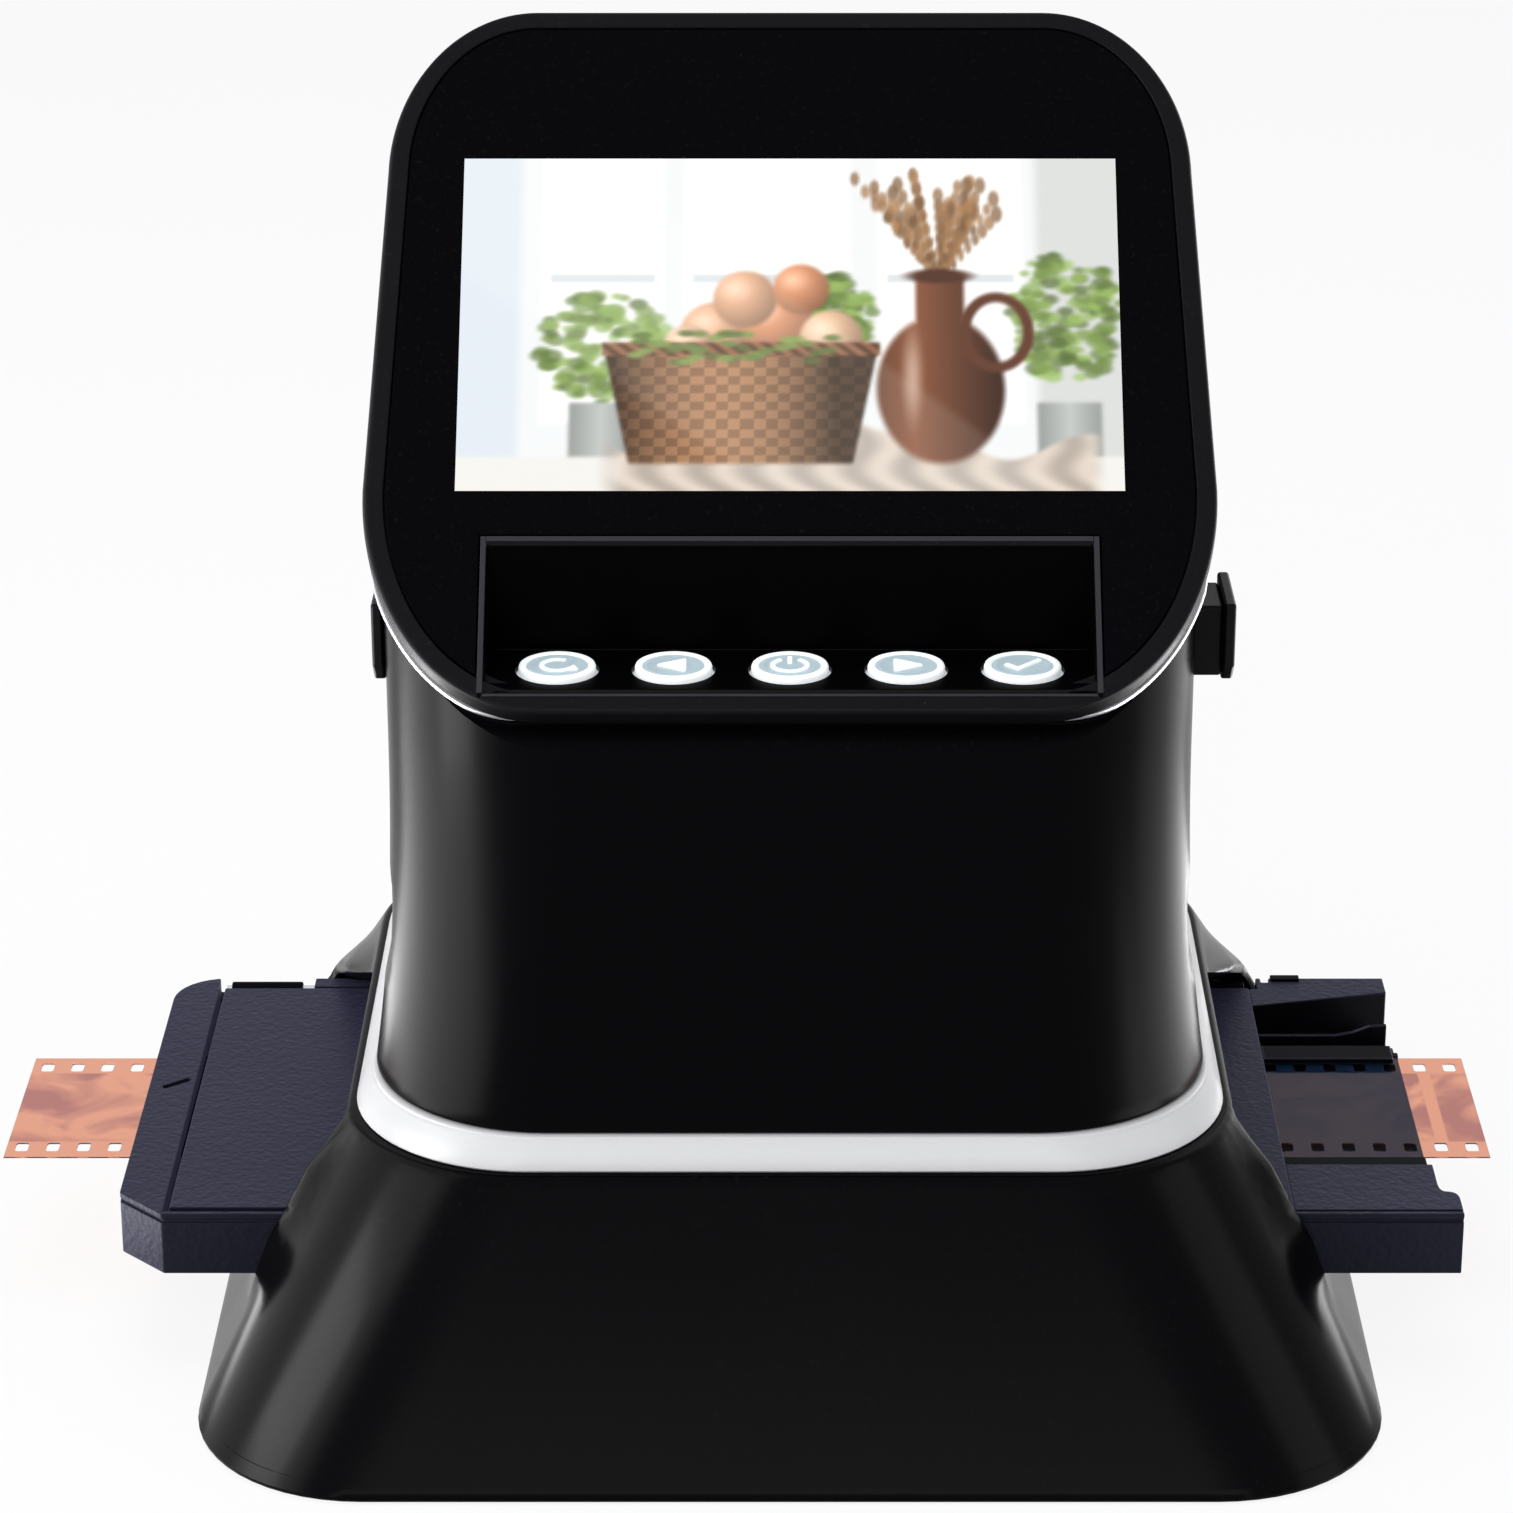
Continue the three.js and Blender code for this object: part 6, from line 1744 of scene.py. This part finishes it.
@dataclass
class Tray:
    """Film tray with its hinged cover, pin side and open right end."""

    left: float = -100.4
    right: float = 100.2
    half_y: float = 42
    low: float = 15.8
    top: float = 25.8
    film_top: float = 22.9
    cover_left: float = -92.8
    cover_right: float = 75.1
    cover_front: float = -39.9
    cover_rear: float = 38.1
    margin: float = 0.5
    hinge: Flat = (40.3, 24.55)
    knuckle: float = 1.25
    knuckle_length: float = 11.6
    knuckle_slot: float = 2
    slot_depth: float = 2.4
    knuckle_starts: tuple = (-91.534, -15.7, 62.9)
    bar_rear: float = -25.6
    step_y: float = -34.5
    strip: float = 0.95
    shadow_z: Flat = (24.3, 24.85)
    wall_rear: float = 19.1
    floor_end: float = 97.4
    gate: Flat = (18.5, 12.5)
    film_half: float = 17.9
    corner: float = 8
    chamfer: float = 7
    bar_round: Flat = (1.6, 2.4)
    bar_top: float = 0.2
    step_round: Flat = (1.8, 2.6)
    beyond: float = 5
    pocket_floor: float = 0.15
    channel_floor: float = 0.3
    channel_depth: float = 0.5
    end_y: Quad = (25.3, 25.1, 38.2, 31.0)
    end_floors: Flat = (21.2, 17.8)
    mark: Triple = (4.2, 2.5, 38)
    mark_half: Flat = (2.5, 0.5)
    mark_depth: float = 0.7
    edge_cut: float = 0.45
    edge_depth: float = 0.9
    shadow_chamfer: float = 7.7
    rear_slot: Flat = (77.3, 78.6)
    rear_slot_depth: float = 1.6
    hinge_gap: float = 0.3
    ridge: tuple = ((88, 23.5), (91, 24.1), (93.5, 25.1), (96.2, 25.3), (96.2, 17))
    ridge_y: Flat = (24.7, 25.6)
    ridge_gap: float = 0.4
    ledge_y: float = 14.7
    ledge_top: float = 24.2
    stop: tuple = ((78.9, 83.6), (-1.5, 0.2), (-0.4, 0.5))
    cover_gap: float = 0.35
    cover_web: float = 1.1
    level: float = 0.97
    sunk: float = 0.3
    dark_x: float = 96.6
    dark_y: float = 40
    dark_z: float = 25.6
    web_y: float = 0.1

    def outline(self) -> list[Flat]:
        """The tray seen from above: chamfered and rounded at the left end, stepped at the right."""
        left, right, half, end = self.left, self.right, self.half_y, self.floor_end
        step, r, cut = self.step_y, self.corner, self.chamfer
        rear = [(left + r - r * math.sin(t), half - r + r * math.cos(t))
                for t in np.linspace(0, math.pi / 2, 9)]
        bar = arc((right, step - self.bar_round[1]), (right, step - self.bar_top),
                  (right - self.bar_round[0], step), 5)
        inner = arc((right - self.step_round[0], step), (end, step),
                    (end, step + self.step_round[1]), 5)
        return [(left + cut, -half), (right, -half), *bar, *inner, (end, half), *rear,
                (left, cut - half)]

    def cover_cut(self) -> Draft:
        """The pocket that the cover lies in."""
        m = self.margin
        return box((self.cover_left - m, self.cover_right),
                   (self.strip - self.half_y, self.cover_rear + m),
                   (self.film_top + self.pocket_floor, self.top + self.beyond))

    def end_cuts(self) -> list[Draft]:
        """What is cut from the open right end."""
        right, top = self.right + self.beyond, self.top + self.beyond
        cover = self.cover_right - 1
        shelf, start, far, near = self.end_y
        return [
            box((cover, right), (self.bar_rear, self.wall_rear),
                (self.film_top + self.channel_floor, top)),
            box((cover, right), (self.wall_rear, shelf), (self.end_floors[0], top)),
            prism([(cover, start), (right, start), (right, far), (cover, near)],
                  self.end_floors[1], top),
        ]

    def small_cuts(self) -> list[Draft]:
        """Film channel, gate, edge bevel, shadow lines and pointer mark."""
        half, top, far = self.half_y, self.top, self.beyond
        left, right, high = self.left - far, self.right + far, self.top + far
        along, across, turn = self.mark
        mark = (Matrix.Translation((self.left + along, across, 0))
                @ Matrix.Rotation(math.radians(turn), 4, "Z"))
        shape = rounded(corners(about(self.mark_half[0]), about(self.mark_half[1])), 0.4, 3)
        groove = prism(shape, top - self.mark_depth, top + 2)
        reach = self.shadow_chamfer + far
        chamfer = [(left, -half - far), (self.left + reach, -half - far), (left, reach - half)]
        depth = self.rear_slot_depth
        return [
            box((left, right), about(self.film_half),
                (self.film_top - self.channel_depth, self.film_top + self.channel_floor)),
            box(about(self.gate[0]), about(self.gate[1]), (self.low - far, high)),
            groove.moved(mark),
            box((self.cover_right - 0.2, right),
                (self.strip - half, self.strip + self.edge_cut - half), (top - self.edge_depth, high)),
            box((left, right), (-half - 2, -half + self.edge_cut), self.shadow_z),
            prism(chamfer, *self.shadow_z),
            box(self.rear_slot, (half - depth, half + 2), (top - depth, high)),
        ]

    def hinge_cuts(self) -> list[Draft]:
        """Slots beside each knuckle and the room that it turns in."""
        gap, high = self.hinge_gap, self.top + self.beyond
        y = (self.cover_rear - gap, self.half_y + self.beyond)
        made = []
        for start in self.knuckle_starts:
            end = start + self.knuckle_length
            made.append(box((start - self.knuckle_slot, end + self.knuckle_slot), y,
                            (self.top - self.slot_depth, high)))
            made.append(box((start - gap, end + gap), y,
                            (self.hinge[1] - self.knuckle - gap, high)))
        return made

    def base(self) -> None:
        """Makes the tray's body."""
        start = self.cover_right + self.ridge_gap
        end, low = self.ridge[-1]
        ridge = prism([(start, self.ridge[0][1]), *self.ridge, (start, low)], *self.ridge_y, "y")
        ledge = box((start, end), (self.ledge_y, self.wall_rear + 0.5),
                    (self.film_top + self.channel_floor, self.ledge_top))
        piece = Piece("tray_body", prism(self.outline(), self.low, self.top))
        piece.cut(self.cover_cut(), *self.end_cuts(), *self.small_cuts(), *self.hinge_cuts())
        piece.weld(ridge, ledge)
        piece.soften(0.22, 2)
        # painted shade: flat faces down in pockets, grooves and the open end take the darker finish
        self.paint_pocket_shade(piece)
        piece.place([TRAY, TRAY_DARK_AND_SHADE], Body.TRAY, ("tray_base",), 30)
        x, y, z = self.stop
        stop = box(x, (self.half_y + y[0], self.half_y + y[1]), (self.top + z[0], self.top + z[1]))
        Piece("hinge_stop", stop).soften(0.15, 2).place([TRAY_DARK_AND_SHADE], Body.TRAY, (), 30)

    def paint_pocket_shade(self, piece: Piece) -> None:
        """Gives the flat faces inside pockets and grooves, and in the open right end, the darker finish as
        painted shade.
        """
        for face in piece.object.data.polygons:
            x, y, z = face.center
            flat = max(abs(v) for v in face.normal) > self.level
            sunk = face.normal.z > self.level and z < self.top - self.sunk
            inside = (self.cover_right < x < self.dark_x
                      and self.strip - self.half_y < y < self.dark_y and z < self.dark_z)
            if flat and (sunk or inside):
                face.material_index = 1

    def cover(self) -> None:
        """Makes the hinged cover with its knuckles."""
        cover = box((self.cover_left + self.cover_gap, self.cover_right),
                    (self.cover_front, self.cover_rear),
                    (self.film_top + self.channel_floor, self.top))
        piece = Piece("cover_plate", cover)
        y, z = self.hinge
        for start in self.knuckle_starts:
            end = start + self.knuckle_length
            piece.weld(
                prism(circle(self.knuckle, 24, (y, z)), start, end, "x"),
                box((start + HAIR, end - HAIR), (self.cover_rear - 1, y),
                    (z, self.top - self.cover_web)))
        piece.cut(box(about(self.gate[0]), about(self.gate[1]), (self.low, self.top + self.beyond)))
        piece.soften(0.25, 2)
        # the knuckles behind the cover take the darker tray finish
        for face in piece.object.data.polygons:
            face.material_index = 1 if face.center.y > self.cover_rear + self.web_y else 0
        piece.place([TRAY, TRAY_DARK_AND_SHADE], Body.COVER, ("tray_cover",), 30)

    def build(self) -> None:
        """Makes the tray and its cover."""
        self.base()
        self.cover()


def repeat_tree() -> bpy.types.NodeTree:
    """Geometry Nodes that repeat a cell along a line, join the copies and give them one material."""
    tree = bpy.data.node_groups.new("repeat_along_line", "GeometryNodeTree")
    nodes = Nodes(tree)
    for name, kind in (("Geometry", "NodeSocketGeometry"), ("Count", "NodeSocketInt"),
                       ("Step", "NodeSocketVector"), ("Start", "NodeSocketVector"),
                       ("Join Distance", "NodeSocketFloat"), ("Material", "NodeSocketMaterial")):
        tree.interface.new_socket(name=name, in_out="INPUT", socket_type=kind)
    tree.interface.new_socket(name="Geometry", in_out="OUTPUT", socket_type="NodeSocketGeometry")
    given, out = nodes.add("NodeGroupInput"), nodes.add("NodeGroupOutput")
    line = nodes.add("GeometryNodeMeshLine", {
        "Count": given.outputs["Count"], "Start Location": given.outputs["Start"],
        "Offset": given.outputs["Step"]}, mode="OFFSET")
    copies = nodes.add("GeometryNodeInstanceOnPoints", {
        "Points": line.outputs[0], "Instance": given.outputs["Geometry"]})
    real = nodes.add("GeometryNodeRealizeInstances", {"Geometry": copies.outputs[0]})
    joined = nodes.add("GeometryNodeMergeByDistance", {
        "Geometry": real.outputs[0], "Distance": given.outputs["Join Distance"]})
    dressed = nodes.add("GeometryNodeSetMaterial", {
        "Geometry": joined.outputs[0], "Material": given.outputs["Material"]})
    nodes.join(dressed.outputs[0], out.inputs[0])
    return tree


def repeat(piece: Piece, count: int, step: tuple, start: tuple, material: bpy.types.Material,
           join: float = 0.001) -> Piece:
    """Repeats a piece's mesh along a line.

    Args:
        piece: the piece with one cell's mesh, changed in place.
        count: how many copies.
        step: from one copy to the next.
        start: where the first lies.
        material: the material of all copies.
        join: points closer than this become one.

    Returns:
        The piece.
    """
    tree = bpy.data.node_groups.get("repeat_along_line") or repeat_tree()
    made = piece.object.modifiers.new("repeat", "NODES")
    made.node_group = tree
    values = {"Count": count, "Step": step, "Start": start, "Join Distance": join, "Material": material}
    for item in tree.interface.items_tree:
        if item.in_out == "INPUT" and item.name in values:
            made[item.identifier] = values[item.name]
    return piece.apply()


@dataclass
class Film:
    """Strip of negative film with two rows of perforations."""

    width: float = 35
    pitch: float = 4.75
    cells: int = 48
    low: float = 22.7
    high: float = 22.9
    middle: float = -6.6
    hole: Flat = (0.99, 1.4)
    hole_row: float = 14.1
    hole_round: float = 0.5
    frame_start: float = 0.1207
    frame_pitch: float = 0.038
    frame_x: Flat = (0.478, 0.47)
    frame_y: Flat = (0.0122, 0.0119)
    cloud_scale: float = 70.0
    cloud_detail: float = 3.0
    cloud_twist: float = 1.2
    cloud_range: Flat = (0.42, 0.62)
    exposed: float = 0.8
    clear_tint: Quad = (0.84, 0.37, 0.22, 1.0)
    exposed_tint: Quad = (0.42, 0.15, 0.13, 1.0)
    roughness: float = 0.08
    ior: float = 1.14
    sheen: float = 0.24
    sheen_tint: Quad = (0.1, 0.4, 1.0, 1.0)

    def cell(self) -> Draft:
        """One pitch of film with its two holes and open ends."""
        edge = corners(about(self.pitch / 2), about(self.width / 2))
        holes = tuple(
            rounded(corners(about(self.hole[0]), about(self.hole[1], y)), self.hole_round, 3)
            for y in about(self.hole_row))
        draft = prism(edge, self.low, self.high, holes=holes)
        rows = np.vstack(draft.points)
        kept = [f for f in draft.faces if len({round(rows[i][0], 4) for i in f}) > 1]
        return Draft().add(rows, kept)

    def material(self) -> bpy.types.Material:
        """Orange film base with the dark and light clouds of six developed frames."""
        material, nodes = new_material("negative_film")
        place = nodes.add("ShaderNodeTexCoord").outputs["Object"]
        parts = nodes.add("ShaderNodeSeparateXYZ", {"Vector": place}).outputs
        along = nodes.math("ADD", parts["X"], self.frame_start)
        share = nodes.math("FRACT", nodes.math("DIVIDE", along, self.frame_pitch))
        off = nodes.math("ABSOLUTE", nodes.math("SUBTRACT", share, 0.5))
        in_frame = nodes.math("MULTIPLY", nodes.ramp(off, self.frame_x),
                              nodes.ramp(nodes.math("ABSOLUTE", parts["Y"]), self.frame_y))
        clouds = nodes.noise(
            place, self.cloud_scale, self.cloud_detail, Distortion=self.cloud_twist)
        mask = nodes.math("MULTIPLY", in_frame, nodes.ramp(clouds, self.cloud_range))
        tint = nodes.mix(
            nodes.math("MULTIPLY", mask, self.exposed), self.clear_tint, self.exposed_tint)
        nodes.surface({
            "Base Color": tint, "Roughness": self.roughness, "Transmission Weight": 1.0,
            "IOR": self.ior, "Sheen Weight": self.sheen, "Sheen Tint": self.sheen_tint})
        return material

    def build(self) -> None:
        """Makes the strip from repeated cells."""
        piece = Piece("film_strip_dressed", self.cell())
        material = self.material()
        start = self.middle - (self.cells - 1) / 2 * self.pitch
        repeat(piece, self.cells, (self.pitch, 0, 0), (start, 0, 0), material)
        mesh = bmesh.new()
        mesh.from_mesh(piece.object.data)
        rims = [edge for edge in mesh.edges if edge.is_boundary]
        bmesh.ops.holes_fill(mesh, edges=rims, sides=0)
        bmesh.ops.recalc_face_normals(mesh, faces=mesh.faces)
        mesh.to_mesh(piece.object.data)
        mesh.free()
        made = piece.place([material], Body.FILM, ("film_strip",), 30, False)


NODE_FINISHES = {
    "bottom_plate": INNER_BLACK, "rubber_foot": RUBBER, "base_screw": STEEL, "rear_screw": STEEL,
    "lamp_board": BOARD, "tray_bed": INNER_BLACK, "diffuser_plate": LAMP, "tray_guide": INNER_BLACK,
    "lcd_bracket": STEEL, "button_board": BOARD, "key_switch": INNER_BLACK, "light_hood": INNER_BLACK,
    "main_board": BOARD, "sd_socket": SOCKET, "usb_port": SOCKET, "video_port": SOCKET,
    "camera_bracket": STEEL, "camera_board": BOARD, "lens_barrel": SATIN_BLACK, "front_lens": LENS,
    "camera_ribbon": RIBBON, "screen_ribbon": RIBBON, "tray_hinge_pin": STEEL,
}


def dress_nodes() -> None:
    """Gives every frame node that still shows its procedural finish."""
    for name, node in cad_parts.items():
        if node.hide_render:
            continue
        finish = next(f for start, f in NODE_FINISHES.items() if name.startswith(start))
        node.data.materials.clear()
        node.data.materials.append(finish.material())
        log.info("%s: dressed as %s", name, finish.name)


# Stage, lights and camera


@dataclass(frozen=True)
class Lamp:
    """One soft rectangular lamp: where it hangs, what it faces, its size and its watts."""

    name: str
    place: Triple
    target: Triple
    size: Flat
    power: float


# Lamps, in metres and watts

AIM = (MIDDLE_X, 0, 0.08)
BASE_CORNER = (-0.06, -0.06, 0.03)
# Reflections don't show these two
NOT_IN_GLOSS = (
    Lamp("top_box", (-0.1, 0.1, 1.1), AIM, (0.8, 0.8), 5.5),
    Lamp("front_box", (-0.3, -1.2, 0.95), AIM, (0.8, 0.6), 6.5))
SIDE_BOXES = (
    Lamp("left_box", (-0.8, -0.3, 0.45), AIM, (0.5, 0.5), 2.9),
    Lamp("right_box", (0.85, -0.2, 0.4), AIM, (0.4, 0.5), 1.5))
# Only reflections show these, in place of a pale table and walls
PANELS = (
    Lamp("left_sheen", (-0.2, -0.05, 0.2), (0, -0.05, 0.2), (0.3, 0.4), 1.0),
    Lamp("left_low", (-0.34, -0.03, 0.002), (-0.34, -0.03, 1), (0.24, 0.3), 1.15),
    Lamp("left_near", (-0.17, -0.03, 0.002), (-0.17, -0.03, 1), (0.1, 0.24), 0.72),
    Lamp("corner_sheen", (-0.483, -0.15, 0.154), BASE_CORNER, (0.28, 0.14), 0.62),
    Lamp("corner_near", (-0.15, -0.085, 0.068), BASE_CORNER, (0.055, 0.045), 0.13),
    Lamp("front_low", (0, -0.57, 0.2), (0, -0.07, 0.1), (0.6, 0.22), 1.1),
    Lamp("right_sheen", (0.22, 0.24, 0.2), (0, 0.24, 0.2), (0.4, 0.4), 0.6),
    Lamp("right_low", (0.35, 0.1, 0.002), (0.35, 0.1, 1), (0.26, 0.32), 0.5),
    Lamp("right_near", (0.17, 0.02, 0.002), (0.17, 0.02, 1), (0.1, 0.24), 0.39))


@dataclass
class Studio:
    """Plain pale floor and backdrop, soft lights and the camera."""

    camera: Triple = (0, -0.6852, 0.3589)
    pitch: float = 22
    lens: float = 115.6
    sensor: float = 36
    shift_x: float = -0.0221
    sight: float = 30
    floor_half: float = 6
    floor_colour: Quad = (0.9, 0.9, 0.9, 1.0)
    lit_share: float = 0.12
    even_colour: Quad = (0.95, 0.96, 1.0, 1.0)
    even_light: float = 0.3

    def pale(self) -> bpy.types.Material:
        """White floor that keeps a share of its own shading and shows white for the rest."""
        material, nodes = new_material("floor_white")
        seen = nodes.seen()
        diffuse = nodes.add("ShaderNodeBsdfDiffuse", {"Color": self.floor_colour})
        white = nodes.add("ShaderNodeEmission", {"Color": PURE_WHITE, "Strength": 1.0})
        mixed = nodes.add("ShaderNodeMixShader", {
            0: nodes.math("MULTIPLY", seen, 1 - self.lit_share),
            1: diffuse.outputs[0], 2: white.outputs[0]})
        nodes.add("ShaderNodeOutputMaterial", {"Surface": mixed.outputs[0]})
        return material

    def build(self) -> None:
        """Makes the floor, the world, the lights and the camera."""
        data = bpy.data.meshes.new("floor")
        half = about(self.floor_half)
        data.from_pydata([(x, y, 0) for x, y in corners(half, half)], [], [(0, 1, 2, 3)])
        floor = new_object("floor", data)
        data.materials.append(self.pale())
        self.world()
        for lamp in SIDE_BOXES:
            self.light(lamp)
        for lamp in NOT_IN_GLOSS:
            self.light(lamp).visible_glossy = False
        for lamp in PANELS:
            panel = self.light(lamp)
            panel.visible_diffuse = False
            panel.visible_transmission = False
        data = bpy.data.cameras.new("camera")
        camera = new_object("camera", data)
        camera.location = (MIDDLE_X + self.camera[0], self.camera[1], self.camera[2])
        camera.rotation_euler = (math.radians(90 - self.pitch), 0, 0)
        data.lens = self.lens
        data.sensor_width = self.sensor
        data.shift_x = self.shift_x
        data.clip_end = self.sight
        bpy.context.scene.camera = camera
        bpy.context.scene.view_settings.view_transform = "Standard"

    def world(self) -> None:
        """White where it is seen, and a dim even light for everything else."""
        world = bpy.data.worlds.new("studio")
        bpy.context.scene.world = world
        world.use_nodes = True
        nodes = Nodes(world.node_tree)
        seen = nodes.seen()
        even = nodes.add("ShaderNodeBackground", {
            "Color": self.even_colour, "Strength": self.even_light})
        white = nodes.add("ShaderNodeBackground", {"Color": PURE_WHITE, "Strength": 1.0})
        mixed = nodes.add("ShaderNodeMixShader", {0: seen, 1: even.outputs[0], 2: white.outputs[0]})
        nodes.add("ShaderNodeOutputWorld", {"Surface": mixed.outputs[0]})

    @staticmethod
    def light(lamp: Lamp) -> bpy.types.Object:
        """Hangs one lamp, which the camera doesn't see, and turns it to its target."""
        data = bpy.data.lights.new(lamp.name, "AREA")
        data.shape = "RECTANGLE"
        data.size, data.size_y = lamp.size
        data.energy = lamp.power
        made = new_object(lamp.name, data)
        made.location = lamp.place
        way = Vector(lamp.target) - Vector(lamp.place)
        made.rotation_euler = way.to_track_quat("-Z", "Y").to_euler()
        made.visible_camera = False
        return made


def main() -> None:
    """Builds every sub-assembly in order."""
    logging.basicConfig(level=logging.INFO)
    Base().build()
    Collar().build()
    Tower().build()
    Head().build()
    Selector().build()
    Tray().build()
    Film().build()
    dress_nodes()
    Studio().build()


if __name__ == "__main__":
    main()
